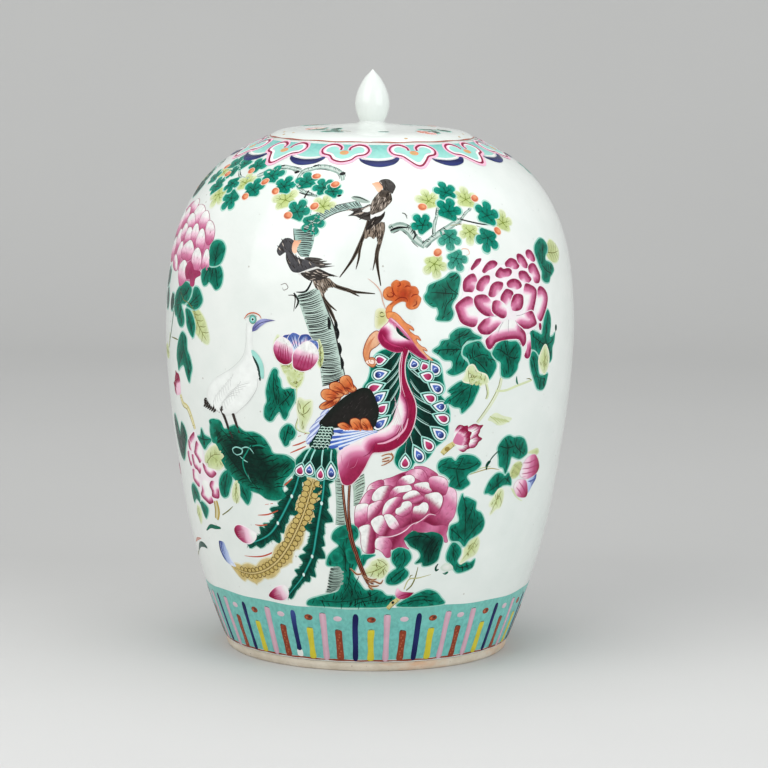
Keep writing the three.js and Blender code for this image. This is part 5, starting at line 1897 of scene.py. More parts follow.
def phoenix_collar():
    """The fan of peacock feathers round the neck."""
    p, jar = panel("phoenix_collar", 1.3)
    left = [(2, 211), (4, 213.6), (6, 213.4), (8.4, 212), (8.5, 204), (8.3, 195), (8.6, 186), (8.2, 178),
        (7.2, 170), (5.2, 164.6), (3, 162.6), (1.2, 164.4), (0.9, 169), (1.6, 174.6), (0.6, 180),
        (-0.6, 185), (-1.4, 189.6), (-0.2, 194.6), (0.4, 200), (0.6, 205.6)]
    right = [(9.6, 212.6), (10.8, 211.6), (13.6, 208.6), (16.4, 208), (18.6, 205), (19.4, 199.6),
        (19.8, 194), (20.4, 188), (19.4, 184), (21, 179.6), (22.2, 172), (21.8, 166), (22, 159.6),
        (20.6, 154.6), (18.6, 151), (17, 145), (15, 141), (13, 141.6), (11.6, 137), (9.2, 137),
        (7.6, 141.6), (8, 148), (9.2, 153), (10.6, 160), (11.8, 168), (12.4, 176), (12, 182),
        (10.6, 188), (9.4, 195), (9.2, 203)]
    raw = Brush(p, np.eye(2))
    for outline in (left, right):
        poly = curve(jar(outline), True, 5)
        p.add(grown(poly, 1.2), (0.30, 0.66, 0.56))
        p.add(grown(poly, 0.5), (0.0, 0.24, 0.15))
        p.add(poly, raw.rim(7, streaky((0.0, 0.22, 0.14), 0.9), streaky((0.0, 0.07, 0.05), 0.8),
                streaky((0.0, 0.028, 0.02), 0.6)), 0.1)
    eyes = [(5.4, 208.4, "c", 99, 8.8), (5.9, 200.6, "b", 107, 11), (4.7, 192.8, "c", 111, 12),
        (5.4, 188.8, "b", 128, 12.2), (5.7, 181.2, "c", 133, 10), (6.1, 172.8, "b", 131, 13.2),
        (11.2, 210, "b", 196, 7.6), (13.8, 207.4, "c", 206, 6.8), (15.9, 207.6, "b", 213, 10.6),
        (12.7, 199, "c", 251, 10), (15.3, 193.8, "b", 236, 12), (13.5, 186.2, "c", 244, 11.2),
        (16.4, 178.4, "b", 259, 10.4), (17, 172.6, "c", 247, 12.2), (16.6, 164.8, "b", 232, 12.8),
        (14.4, 158.6, "c", 219, 11.8), (12.1, 153.6, "b", 209, 12.8), (10.2, 148, "c", 181, 10)]
    for k, (a, h, tone, turn, long) in enumerate(eyes):
        root = (8.2, h + 9 + (k % 6) * 0.4) if k < 6 else ((9.8 + 0.25 * max(0, 200 - h) ** 0.55,
                h + 8) if h > 160 else (10.8 - 0.1 * (k - 14), h + 13))
        middle = ((root[0] + a) / 2, (root[1] + h) / 2 - 0.8)
        jar.line([root, middle, (a, h)], 0.55, (0.46, 0.70, 0.64), (0.2, 0.8))
        for off in (-2.6, -1.3, 1.3, 2.6):
            jar.line([(root[0], root[1] + off), (middle[0], middle[1] + off),
                    (a - 0.05 * off, h + off * 0.8)], 0.34, (0.0, 0.014, 0.010) if off != 1.3 else (0.30,
                    0.52, 0.46), (0.4, 0.3))
    for a, h, tone, turn, long in eyes:
        peacock_eye(jar.at(a, h, turn), tone, long * 1.02, 6.6)
    p.build()


def flame(jar, root, outline):
    """One orange feather outlined in iron red, with barbs from its root."""
    ink, deep, light = (0.24, 0.03, 0.012), (0.58, 0.10, 0.025), (0.80, 0.33, 0.13)
    poly = curve(jar(outline), True, 5)
    jar.panel.add(grown(poly, 0.45), ink)
    origin = jar([root])[0]
    reach = np.linalg.norm(poly - origin, axis=1).max()

    def paint(q, poly):
        t = np.linalg.norm(q - origin, axis=1) / reach
        return blend_colours(t, [streaky(light, 0.5), streaky(deep, 0.5),
                streaky((0.72, 0.20, 0.06), 0.5), streaky(light, 0.4)])

    jar.panel.add(poly, paint, 0.2)
    raw = jar.flat()
    for p in poly[rng.permutation(len(poly))[:9]]:
        raw.line([origin + (p - origin) * 0.25, origin + (p - origin) * 0.55 + 0.2,
                origin + (p - origin) * rng.uniform(0.72, 0.88)], 0.42, ink, (0.6, 0.2), steps=3)


def phoenix_body():
    p, jar = panel("phoenix_back", 1.2, 0.08)
    for a0, h0, a1, h1 in ((-11.0, 175, -13, 169.6), (-11.6, 171.6, -14.8, 164.6),
        (-12.6, 168, -16.4, 160), (-13.4, 163.4, -17.4, 153.4), (-14.6, 158, -17.2, 152)):
        jar.line([(a0, h0), ((a0 + a1) / 2 - 0.2, (h0 + h1) / 2), (a1, h1)], 3.4, (0.26, 0.32, 0.62),
            (0.4, 0.35), rise=0.1)
        jar.line([(a0, h0 + 0.6), ((a0 + a1) / 2 - 0.4, (h0 + h1) / 2), (a1 - 0.2, h1 + 0.6)], 1.3,
            (0.66, 0.72, 0.88), (0.4, 0.3))
    jar.blob([(-13.6, 166), (-12.4, 170), (-10.8, 174.4), (-8.4, 180), (-5.8, 185), (-3, 188.8),
            (-1, 190), (0.6, 188.4), (2, 182), (2.8, 175), (2.4, 169), (1.4, 164), (-2, 163), (-6, 164),
            (-9, 163.4), (-12, 163)], jar.rim(6, streaky((0.010, 0.016, 0.012), 0.4),
            streaky((0.022, 0.020, 0.018), 0.6)), rise=0.2)
    for k in range(26):
        a, h = rng.uniform(-10.5, 1.5), rng.uniform(169, 184)
        if h < 189 - 1.7 * abs(a + 0.5):
            jar.line([(a, h), (a + 0.6, h + rng.uniform(0.8, 2.0))], 0.5, (0.06, 0.05, 0.05), (0.6, 0.3))
    for root, outline in (((-4, 188), [(-7.8, 192.9), (-7.65, 195.5), (-6.8, 197), (-5.5, 197),
                (-4.7, 194.4), (-4.4, 191.8), (-3.5, 189), (-4.4, 187.1), (-5.7, 187.1), (-7, 189.2)]),
        ((-6, 186), [(-10.6, 190.3), (-10.1, 192.1), (-8.7, 192.9), (-7.7, 192.1), (-6.8, 189.8),
                (-5.5, 186.6), (-6.8, 185.1), (-9, 186.6), (-10.3, 188.2)]),
        ((-7.6, 184), [(-12.9, 185.6), (-12.2, 187.7), (-10.9, 188.2), (-9.6, 187.2), (-7, 185.3),
                (-7.9, 183), (-9.8, 180.9), (-11.6, 181.2), (-12.7, 183.2)]),
        ((-8.4, 182), [(-13.4, 176.2), (-13, 178), (-11.8, 179.9), (-10.1, 180.9), (-7.7, 183.2),
                (-8.5, 180.4), (-10.1, 177.3), (-11.6, 175.7), (-12.7, 175.2)]),
        ((-4.6, 162.4), [(-8.4, 165.3), (-7.7, 166.6), (-6.6, 166.8), (-5.2, 164.8), (-4.2, 162.2),
                (-5.7, 161.4), (-7.2, 162.7)]), ((-2, 161.4), [(-5, 166.8), (-4.8, 169.2), (-3.5, 169.9),
                (-2.4, 168.4), (-2.1, 165.8), (-1.4, 162.7), (-1.7, 160.9), (-3.5, 160.4), (-4.4, 162.7),
                (-4.6, 164.8)]), ((0.4, 162), [(-2.2, 166.8), (-2, 169.4), (-0.9, 169.9), (-0.1, 168.4),
                (0.4, 165.8), (1.1, 162.7), (0.4, 161.4), (-1.1, 161.1), (-1.6, 163.7)])):
        flame(jar, root, outline)
    p.build()
    p, jar = panel("phoenix_rump", 1.2, 0.13)
    fan = [(-16.6, 149), (-19.6, 144), (-20.8, 140), (-20.4, 134), (-17.6, 131), (-14, 130), (-10, 130),
        (-8.6, 135), (-8.8, 143), (-9.6, 150)]
    wash(jar, fan, "dark", strokes=0.03, halo=0.6)
    for root, tip in (((-16.2, 149.6), (-18.8, 139.6)), ((-14.8, 149), (-16.4, 141)),
        ((-12.6, 149.4), (-13.2, 138.6)), ((-10.2, 149), (-10.5, 142))):
        jar.line([root, ((root[0] + tip[0]) / 2 - 0.1, (root[1] + tip[1]) / 2), tip], 1.0,
            (0.34, 0.72, 0.64), (0.9, 0.5))
    for a, h, tone, turn, long, wide in ((-18.7, 140.2, "c", 161, 9.2, 6.6),
        (-16.4, 141.4, "b", 171, 9.4, 6.2), (-13.2, 139, "c", 172, 9.6, 5.4),
        (-10.5, 142.4, "b", 180, 12, 6.2)):
        peacock_eye(jar.at(a, h, turn), tone, long, wide)
    jar.blob([(-13, 165.4), (-11, 166), (-9.5, 163), (-9.8, 157), (-10.8, 151.6), (-12.6, 148.8),
            (-15, 148.8), (-16.6, 151), (-15.8, 155.4), (-14, 161)], streaky((0.002, 0.032, 0.024), 0.5),
        rise=0.12)
    for row in range(9):
        h = 150.4 + 1.85 * row
        left, right = -16.2 + 0.42 * row, -11.0 + 0.17 * row
        for k in range(4):
            a = left + (right - left) * (k + 0.5 + 0.25 * (row % 2)) / 4.2
            jar.line([(a - 0.52, h - 0.1), (a + 0.05, h + 0.5), (a + 0.5, h - 0.1)], 0.8,
                (0.50, 0.72, 0.62), (0.7, 0.5), steps=2)
            jar.line([(a + 0.5, h - 0.2), (a + 0.58, h - 1.2)], 0.45, (0.62, 0.78, 0.70), (0.9, 0.5),
                steps=2)
    p.build()
    p, jar = panel("phoenix_wing", 1.2, 0.13)
    for (a0, h0), (a1, h1) in (((-1, 162), (-9.6, 161.4)), ((1, 162), (-10.2, 157.4)),
        ((2.2, 162), (-10.6, 154)), ((2.4, 161.4), (-11, 150.8)), ((2.4, 160.6), (-8.2, 150)),
        ((1.6, 159.4), (-5, 152))):
        mid = ((a0 + a1) / 2 - 0.2, (h0 + h1) / 2 - 1.2)
        jar.line([(a0, h0), mid, (a1, h1)], 4.2, (0.72, 0.78, 0.88), (0.25, 0.75), rise=0.1)
        jar.line([(a0, h0), (mid[0], mid[1] - 0.2), (a1, h1)], 2.2, streaky((0.13, 0.25, 0.66), 0.6),
            (0.3, 0.5), rise=0.14)
        jar.line([(a0, h0 - 0.2), (mid[0], mid[1] - 0.9), (a1 + 0.8, h1 - 0.8)], 1.0, (0.02, 0.035, 0.26),
            (0.3, 0.3), rise=0.18)
        jar.line([(a1 + 2.6, h1 + 0.6), (a1 + 1.2, h1 - 0.1), (a1, h1 - 0.2)], 1.9, (0.06, 0.13, 0.50),
            (0.3, 0.9), rise=0.18)
    p.build()
    p, jar = panel("phoenix_neck_and_leg", 1.1, 0.17)
    body = [(9, 214.4), (8.3, 208), (8, 202), (8.2, 195), (8.5, 188.6), (8.1, 182), (7.6, 176),
        (6.6, 169), (5, 164.4), (2.2, 160.8), (-1, 157.6), (-4, 154), (-7, 150.4), (-8.4, 146),
        (-8.6, 140), (-8, 131.6), (-7.3, 127), (-6, 125.8), (-4.6, 127), (-2.6, 132), (-1, 138),
        (0, 143), (1.2, 147.4), (3.4, 148), (6.4, 149.4), (9.2, 153.4), (11, 159), (12.2, 166),
        (12.7, 174), (12.3, 181), (10.9, 188), (9.7, 195), (9.3, 202), (9.5, 208), (10.2, 214)]
    band = curve(jar([(9.6, 214), (8.7, 206), (8.8, 197), (10, 188), (11.6, 180), (11.9, 172), (11, 163),
                (9.4, 156), (6, 151.4), (2.4, 150)]), False, 6)
    thigh = curve(jar([(-1.6, 146), (-2.4, 139), (-4.2, 131), (-6, 127)]), False, 6)

    def paint(q, poly):
        a, h = q[:, 0] / DEGREE, q[:, 1]
        near = distance(q, band, False)
        neck = smooth(1 - (near - 1.6) / np.where(h > 192, 2.4, np.where(h > 166, 6.0, 11.0)))
        leg = smooth((158 - h) / 20) * smooth(1.15 - distance(q, thigh, False) / 17) * (a < 2.2)
        return blend_colours(np.maximum(neck, leg * 0.92), [(0.83, 0.83, 0.80), BLUSH, PINK, ROSE,
                streaky((0.34, 0.008, 0.06), 0.5)])

    p.add(grown(curve(jar(body), True, 5), 0.6), (0.78, 0.62, 0.66))
    p.add(curve(jar(body), True, 5), paint, 0.2)
    jar.line([(8.2, 187), (9.9, 181), (10.3, 173), (9.6, 166.6), (7.4, 159.4), (4.4, 155.6),
            (1.8, 154.6)], 0.6, (0.24, 0.02, 0.08), (0.3, 0.5))
    jar.line([(10.6, 170), (9.8, 163.4), (7.6, 158), (4.6, 154.4), (2.4, 153.6)], 1.4, (0.80, 0.40, 0.54),
        (0.3, 0.4))
    jar.line([(1.9, 154.4), (1.0, 150.6), (0.2, 147.4), (-1.4, 145)], 0.7, (0.30, 0.02, 0.09), (0.6, 0.3))
    jar.line([(8.8, 212), (8.4, 202), (8.6, 192), (9.6, 184)], 0.5, (0.80, 0.42, 0.54), (0.4, 0.4))
    for k in range(9):
        if k % 3 == 0:
            jar.line([(-7.6 + 0.8 * k, 146 - 0.3 * k), (-7.4 + 0.6 * k, 141 - 0.4 * k),
                    (-7.0 + 0.3 * k, 137)], 0.3, (0.60, 0.16, 0.30), (0.5, 0.2))
        jar.line([(6.8 + 0.28 * k, 184 - 2 * k), (7.0 + 0.26 * k, 178 - 2 * k),
                (6.2 + 0.2 * k, 172 - 2 * k)], 0.3, (0.74, 0.52, 0.60), (0.5, 0.2))
    for k in range(12):
        jar.line([(11.6 + 0.25 * math.sin(k), 190 - 3.4 * k), (11.9 - 0.16 * k, 187 - 3.4 * k)], 0.4,
            (0.18, 0.0, 0.03), (0.6, 0.3))
    p.build()


def phoenix_head():
    p, jar = panel("phoenix_head", 1.1, 0.17)
    jar.line([(-0.7, 258.4), (1.4, 254.6), (2.8, 250), (3.4, 244), (4.2, 239)], 0.7, (0.70, 0.42, 0.32),
        (0.3, 0.5))
    jar.line([(1.2, 225.2), (-0.2, 222.8)], 0.5, (0.70, 0.42, 0.32), (0.3, 0.5))
    jar.blob([(1.2, 232), (1.4, 238), (2.4, 240), (4, 239.4), (5, 236.6), (5, 232), (4, 229), (2.4, 227),
            (1.4, 228)], jar.rim(3, (0.76, 0.78, 0.56), (0.60, 0.60, 0.27)))
    for pts in ([(2.6, 236.4), (3.0, 237.4), (3.6, 236.8)], [(2.5, 235.4), (3.2, 234.6), (3.9, 235.6)],
        [(1.5, 235.2), (2.2, 234.0)]):
        jar.line(pts, 0.6, (0.10, 0.09, 0.02))
    wattle = [(1.7, 225.6), (0.2, 223), (-1.0, 218), (-1.6, 212), (-1.1, 207), (-0.1, 204), (1, 203.2),
        (1.7, 205.4), (1.3, 208.2), (0.4, 208.9), (-0.1, 208), (-0.1, 211.6), (0.5, 214.2), (1.8, 216.4),
        (2.8, 219.4), (2.6, 224)]
    p.add(grown(curve(jar(wattle), True, 5), 0.45), BRICK)
    jar.blob(wattle, jar.fade((-1.6, 212), (2.6, 218), streaky((0.70, 0.27, 0.11), 0.4),
            streaky((0.80, 0.46, 0.28), 0.4)), rise=0.2)
    jar.dot(0.5, 206.2, 1.5, 1.5, (0.86, 0.70, 0.60))
    jar.line([(-0.5, 208), (-0.1, 205.4), (0.9, 204.6), (1.4, 206.4), (0.8, 208), (0.2, 207.2),
            (0.5, 206.2)], 0.5, (0.50, 0.13, 0.04), (0.5, 0.3))
    for k in range(3):
        jar.line([(1.4 - 0.5 * k, 222.6 - k), (0.2 - 0.4 * k, 218 - k), (-0.4 - 0.2 * k, 213 - k)], 0.4,
            (0.62, 0.22, 0.10), (0.4, 0.3))
    crest = [(4.4, 236.8), (4.5, 240), (5.2, 242), (6.3, 244.2), (5.6, 245), (4.3, 245.8), (3.6, 248),
        (3.8, 251), (4.8, 253), (5.7, 253.2), (5.9, 255.4), (7, 257.2), (8, 256.4), (9.2, 257),
        (10.4, 256), (10.9, 253.6), (12.2, 253), (12.9, 250.4), (12.8, 248), (13.5, 246), (13.2, 243),
        (12.3, 240.2), (10.8, 239.6), (9.8, 241.2), (9.7, 243.8), (8.6, 244.6), (7.2, 243.4), (6, 241.2),
        (5.6, 238.4), (5.7, 236.8)]
    p.add(grown(curve(jar(crest), True, 5), 0.55), (0.60, 0.20, 0.08))
    jar.blob(crest, jar.tip((9, 248.6), 12, streaky((0.46, 0.05, 0.015), 0.6),
            streaky((0.62, 0.12, 0.03), 0.6), streaky((0.76, 0.25, 0.08), 0.5)), rise=0.2)
    for pts in ([(5.8, 253), (6.2, 249.6), (7, 247.4)], [(4.4, 249), (4.8, 247.2), (5.9, 247.2),
            (6.2, 248.8), (5.4, 250)], [(7.9, 256.2), (8, 254.4), (7.2, 253.4)],
        [(10.8, 253.6), (9.8, 253.8), (9.2, 252.8)], [(12.7, 248.4), (11.6, 248.2), (11, 246.8)],
        [(6.6, 244.6), (8, 246.6), (9.6, 246.2), (10, 244)], [(11.4, 241), (12.4, 242.4), (12.4, 244.6)],
        [(5.3, 242), (6.4, 244)]):
        jar.line(pts, 0.7, (0.28, 0.025, 0.01), (0.6, 0.3))
    ridge = [(4.35, 236.6), (4.95, 237.5), (6.5, 237.2), (7.7, 235.2), (8.65, 232.6), (9.6, 230.4),
        (10.6, 229.1), (11.3, 227.8), (11.7, 226), (11.7, 226), (10.4, 227.4), (10.5, 225.6),
        (10.9, 224.7), (11.9, 222.9), (12.8, 222.1), (13.6, 219.6), (13.6, 219.6), (12.3, 220.9),
        (12.6, 218.4), (13.7, 215.8), (14.7, 214.7), (15.4, 212.9), (15.4, 212.9), (14.1, 214),
        (14.8, 211.3), (15.8, 209.3), (17, 206.6), (17, 206.6), (15.6, 208), (14.4, 210.5),
        (12.7, 214.5), (11.5, 219.4), (10.2, 223), (8.8, 226.4), (7.2, 230.4), (5.8, 233.2),
        (4.7, 233.8)]
    p.add(grown(curve(jar(ridge), True, 4), 0.4), (0.50, 0.12, 0.04))
    jar.blob(ridge, jar.fade((4, 236), (16, 208), streaky((0.78, 0.30, 0.10), 0.4),
            streaky((0.74, 0.24, 0.09), 0.4), streaky((0.80, 0.44, 0.24), 0.4)), rise=0.2)
    head = [(2.6, 225.6), (3.6, 228.4), (4.8, 231), (5.3, 233.6), (6.2, 232.8), (8, 228.8), (9.8, 224),
        (11.4, 218.6), (13, 213.6), (14.8, 209.4), (15.2, 207.6), (13.2, 209.4), (11.2, 212.6),
        (10.2, 213.8), (8.6, 212.8), (6.8, 212.6), (4.8, 214.2), (3.2, 217), (2.2, 221.4)]
    spine = curve(jar([(3.2, 224), (3.4, 219.6), (5, 216), (8, 214.6), (11, 214.8), (14, 210)]), False, 6)
    top = curve(jar([(5.2, 232.6), (7.4, 228), (10, 221.6), (13, 213)]), False, 6)

    def paint(q, poly):
        low = smooth(1 - (distance(q, spine, False) - 1.2) / 6.0)
        high = smooth(1 - (distance(q, top, False) - 0.4) / 1.6) * 0.6
        return blend_colours(np.maximum(low, high), [(0.82, 0.84, 0.80), BLUSH, PINK, ROSE,
                streaky((0.34, 0.01, 0.07), 0.4)])

    p.add(grown(curve(jar(head), True, 5), 0.4), (0.62, 0.16, 0.30))
    p.add(curve(jar(head), True, 5), paint, 0.2)
    jar.blob([(6.9, 228.9), (6.9, 228.9), (8, 226.4), (9.4, 222.6), (10.8, 219.8), (10.8, 219.8),
            (9.4, 221), (7.8, 223.4), (7.0, 226)], (0.006, 0.035, 0.022), rise=0.1)
    jar.line([(7.6, 226.8), (8.6, 224.2), (9.8, 221.6)], 0.5, (0.05, 0.16, 0.12), (0.4, 0.3))
    for k in range(5):
        jar.line([(3.2 + 0.3 * k, 224 - k), (4 + 0.5 * k, 219.6 - 0.7 * k),
                (6 + 0.7 * k, 217.4 - 0.5 * k)], 0.45, (0.52, 0.04, 0.15), (0.3, 0.2))
    for k in range(8):
        jar.line([(6.4 + 0.62 * k, 215.4), (7 + 0.62 * k, 213.6)], 0.4, (0.16, 0.0, 0.03), (0.6, 0.3),
            steps=2)
        jar.line([(6.0 + 0.9 * k, 231 - 2.6 * k), (7.0 + 0.9 * k, 230.2 - 2.6 * k)], 0.35,
            (0.42, 0.03, 0.12), (0.6, 0.3), steps=2)
    p.build()


def phoenix_legs():
    p, jar = panel("phoenix_legs", 1.2, 0.22)
    skin_tone, ink = (0.50, 0.24, 0.13), (0.12, 0.015, 0.01)
    left = [(-7.3, 126), (-6.9, 114), (-6.2, 102), (-5.2, 90), (-3.4, 77), (-1.7, 67), (0, 59.6),
        (1.4, 56.2)]
    right = [(-5.3, 126), (-5.6, 114), (-5.5, 104), (-4.7, 91), (-3.0, 78), (-1.2, 68), (0.4, 61),
        (2, 58.6)]
    for pts in (left, right):
        jar.line(pts, 1.5, skin_tone, (0.8, 0.6))
        jar.line([(a - 0.22, h) for a, h in pts], 0.75, ink, (0.8, 0.6))
        jar.line([(a + 0.22, h) for a, h in pts], 0.75, ink, (0.8, 0.6))
    for pts in ([(-1.6, 66), (-3.2, 65.4), (-4.4, 67.6), (-5.4, 69.6)],
        [(-1.2, 64.4), (0.4, 62.4), (1.8, 61.6), (3, 62.4)], [(0.2, 60), (2.4, 60.4), (4.2, 59),
            (5, 61.6)], [(0.8, 57.6), (2.4, 57), (3.8, 57.6)], [(0.4, 57.4), (1.2, 55.4), (2, 54.8)]):
        jar.line(pts, 1.4, (0.62, 0.36, 0.20), (0.8, 0.4))
        jar.line(pts, 0.6, ink, (0.8, 0.4))
    for pts in ([(3.6, 145.4), (4.6, 146.4), (6, 146.8), (6.8, 145), (6.2, 142.4), (4.6, 140),
            (3.6, 139.2)], [(3.8, 143), (5, 144.2), (6, 144.6)], [(3.8, 141.8), (5, 142.2), (5.8, 143)],
        [(6.2, 147.6), (6.8, 146)]):
        jar.line(pts, 1.1, (0.74, 0.40, 0.22), (0.7, 0.5))
        jar.line(pts, 0.5, ink, (0.5, 0.5))
    p.build()


phoenix_collar()
phoenix_body()
phoenix_head()
phoenix_tail()
phoenix_legs()


# ---------------------------------------------------------------- the front: below


def low_peony():
    p, jar = panel("low_peony", 1.2)
    jar.blob([(-3.4, 99), (-3.6, 106), (-2.4, 115), (-0.6, 121), (2, 125.6), (5, 129.4), (9, 134),
            (13, 136.4), (15.4, 138), (18, 135), (20, 131.6), (22.6, 129), (23.4, 123), (25, 121),
            (26.4, 112), (26.4, 104), (25, 99.6), (24.4, 96), (22, 93.6), (17, 94), (14, 95), (11, 90),
            (11.6, 84), (8, 84.6), (5, 82), (1, 84), (-1.4, 88), (-2.4, 95)],
        streaky((0.50, 0.09, 0.20), 0.4), rise=0.1)
    deep, rose = (0.27, 0.015, 0.065), (0.48, 0.08, 0.19)
    for outline, tip, base, *colours in (
        ([(13, 137.4), (15.4, 138), (18, 135.4), (20, 132),
                (18.6, 131.2), (16, 133)], (14, 137.4), (19, 131.6), PINK, PINK, rose),
        ([(23.2, 123.1), (25.2, 122.4), (26.4, 118), (26.6, 107), (25.2, 100.3), (22.5, 98.1),
                (18.5, 98.9), (16.5, 101), (18.5, 104.6), (21.2, 106), (22.5, 114.6), (22.2, 118.1)],
            (26.6, 116), (20, 99), BLUSH, PINK, PINK, rose, deep),
        ([(17.3, 129.6), (18.8, 131.4), (21.2, 130.6), (22.9, 128.1), (23.4, 123.9), (22.9, 119.2),
                (21.9, 118.5), (20.5, 120.6), (18.8, 121.4), (17.7, 125.3)], (23.4, 129.4), (21, 118.6),
            WHITE, BLUSH, PINK, rose, deep),
        ([(16.5, 118.9), (18.5, 120.3), (20.5, 120.3),
                (21.9, 117.4), (22, 113.1), (21.2, 108.9), (19.8, 106), (18.5, 107.4), (18.2, 112.4),
                (16.5, 115.3)], (21.8, 118), (18, 108), WHITE, WHITE, rose, deep),
        ([(13.1, 99.6), (16.5, 101), (19.8, 98.1), (23.2, 98.1), (24.5, 96), (24.2, 91.7), (24.9, 86.7),
                (23.9, 86.7), (22.9, 91), (19.8, 93.9), (16.5, 93.9), (13.8, 95.3)], (24.8, 88),
            (16, 99), PINK, rose, PINK, rose),
        ([(10.4, 133.1), (11.8, 136), (14.8, 136.4),
                (16.5, 133.1), (17.2, 128.1), (16.2, 127.1), (14.8, 128.9), (13.1, 131), (11.8, 132.8)],
            (11.4, 134.6), (16.8, 128), PINK, BLUSH, PINK, rose),
        ([(4.1, 126.7), (4.4, 129.6), (6.4, 131), (9.8, 133.9), (10.4, 131.7), (9.1, 128.1),
                (7.1, 125.3), (5.8, 126)], (4.2, 127.6), (9.6, 130.6), BLUSH, PINK, rose, deep),
        ([(8.1, 126), (8.4, 128.9), (9.8, 131.7), (11.8, 132.8), (13.1, 131), (13.1, 128.1),
                (11.8, 126.7), (9.8, 125.6)], (11.6, 132.4), (9.2, 126), WHITE, WHITE, PINK, rose),
        ([(13.1, 126), (14.8, 127.4), (17.2, 127.4), (17.8, 123.9), (18.5, 121.7), (17.2, 119.9),
                (15.1, 121.4), (13.8, 123.1)], (16.4, 127.2), (15.4, 120.6), WHITE, WHITE, PINK, deep),
        ([(-0.3, 122.4), (0.7, 126.7), (3.7, 129.6), (4.4, 126.7), (3.1, 123.9), (1.1, 121.7)],
            (0, 124.6), (4, 127), (0.86, 0.77, 0.78), PINK, rose),
        ([(-2.3, 113.1), (-1.6, 117.4), (0.1, 122.4), (1.7, 123.1), (2.2, 121.7), (1.1, 118.1),
                (0.2, 113.9), (-1.3, 113.1)], (-1.4, 118), (1.8, 117.4), BLUSH, PINK, rose),
        ([(1.1, 116.7), (1.4, 120.3), (2.7, 123.9), (4.4, 125.6), (6.4, 125.6), (7.3, 123.1),
                (6.1, 118.9), (4.7, 116.7), (2.4, 115.3)], (2.4, 122.6), (6.6, 118.6), WHITE, WHITE,
            rose, deep),
        ([(5.9, 118.1), (6.4, 121.7), (7.8, 124.9), (9.8, 125.6), (11.8, 126),
                (12.5, 123.1), (11.1, 121.7), (9.1, 121), (7.8, 118.9), (6.4, 117.4)], (9.6, 126),
            (7, 118), WHITE, WHITE, PINK, rose),
        ([(-3.8, 100.3), (-3.8, 107.4), (-3.3, 112.4),
                (-1.6, 113.9), (0.1, 113.1), (0.2, 107.4), (-0.6, 101.7), (-1.6, 98.1), (-3.3, 98.1)],
            (-3.6, 110), (-1, 99), WHITE, BLUSH, PINK, rose, deep),
        ([(0.1, 101.7), (-0.1, 107.4), (0.2, 112.4), (1.7, 114.6), (3.7, 116), (4.6, 113.1),
                (3.7, 108.9), (2.4, 105.3), (1.1, 101.7)], (0.2, 112.4), (3.4, 107.4), WHITE, BLUSH,
            rose, deep),
        ([(4.2, 107.4), (4.6, 112.4), (5.8, 116), (7.8, 118.1), (9.4, 118.1),
                (9.8, 116), (8.8, 112.4), (7.4, 108.1), (5.8, 105.3), (4.6, 106)], (5.4, 114.8),
            (8.4, 110), WHITE, WHITE, PINK, rose, deep),
        ([(10.1, 116.7), (10.4, 119.6), (12.1, 122.1),
                (13.8, 122.1), (15.1, 119.9), (16.2, 117.4), (15.5, 113.9), (13.8, 113.1),
                (11.8, 115.3)], (12.8, 122), (14.2, 113.6), WHITE, WHITE, rose, PINK, deep),
        ([(8.8, 107.4), (10.4, 108.1), (12.5, 107.4), (13.1, 101), (12.1, 99.6), (9.8, 97.4),
                (8.1, 100.3), (7.8, 104.6)], (8.2, 106), (12, 99), PINK, rose, deep),
        ([(8.1, 107.4), (8.3, 110.3), (9.4, 111.7), (10.1, 114.6), (11.8, 115.3), (12.8, 113.1),
                (12.6, 108.9), (11.5, 106), (9.8, 105.3)], (9.6, 113.6), (12, 106), WHITE, WHITE, PINK,
            deep),
        ([(13.1, 101), (13.1, 107.4), (13.5, 111.4), (14.8, 112.1), (16.2, 114.2),
                (17.5, 113.1), (17.8, 109.6), (16.8, 105.3), (14.8, 101)], (15.6, 113.6), (14.6, 102),
            WHITE, WHITE, rose, deep),
        ([(3.1, 91.7), (7.1, 91.7), (9.8, 93.9), (11.8, 96.7),
                (13.1, 98.9), (13.1, 96), (11.8, 92.4), (10.8, 89.6), (11.8, 84.6), (12.5, 82.8),
                (9.8, 84.6), (7.4, 82.8), (5.8, 86), (3.7, 89.6)], (12.4, 84), (6, 92), PINK, rose, deep,
            rose),
        ([(-2.6, 97.4), (-0.6, 99.6), (0.7, 99.2), (2.1, 94.6), (2.4, 91), (1.9, 86),
                (2.1, 81), (0.4, 79.9), (-1.3, 81.7), (-2, 87.4), (-2, 93.1)], (-2, 88), (1.8, 87),
            WHITE, WHITE, rose, deep),
        ([(2.2, 87.4), (2.7, 90.3), (4.1, 91.4), (6.4, 90.3), (7.4, 86),
                (6.9, 81.7), (7.1, 78.1), (5.8, 77.4), (4.4, 81), (3.1, 83.1), (2.4, 83.9)], (2.2, 87),
            (7, 85), WHITE, BLUSH, PINK, rose),
        ([(0.9, 101.7), (2.1, 104.6), (4.1, 106), (5.1, 102.4),
                (6.4, 97.4), (9.4, 96.4), (9.4, 93.9), (7.1, 92.4), (4.1, 92.4), (2.4, 94.6),
                (1.4, 98.1)], (1.6, 101), (7.4, 95), WHITE, WHITE, PINK, deep, rose),
        ([(4.7, 106), (6.4, 106.7), (7.8, 104.6), (9.1, 100.3), (9.4, 97.4), (7.8, 96.4), (6.4, 98.1),
                (5.4, 101.7)], (6.2, 104), (9, 97.4), WHITE, WHITE, BLUSH, rose),
    ):
        cupped(jar, outline, tip, base, *colours)
    jar.line([(3.2, 92), (6, 91.4), (9, 93), (11.4, 96), (13, 99.4), (15.4, 101.6)], 0.8,
        (0.84, 0.60, 0.69), (0.3, 0.3))
    jar.line([(14, 99.6), (16.4, 103), (18.2, 106), (20.4, 105)], 0.6, (0.84, 0.62, 0.70), (0.4, 0.2))
    p.build()


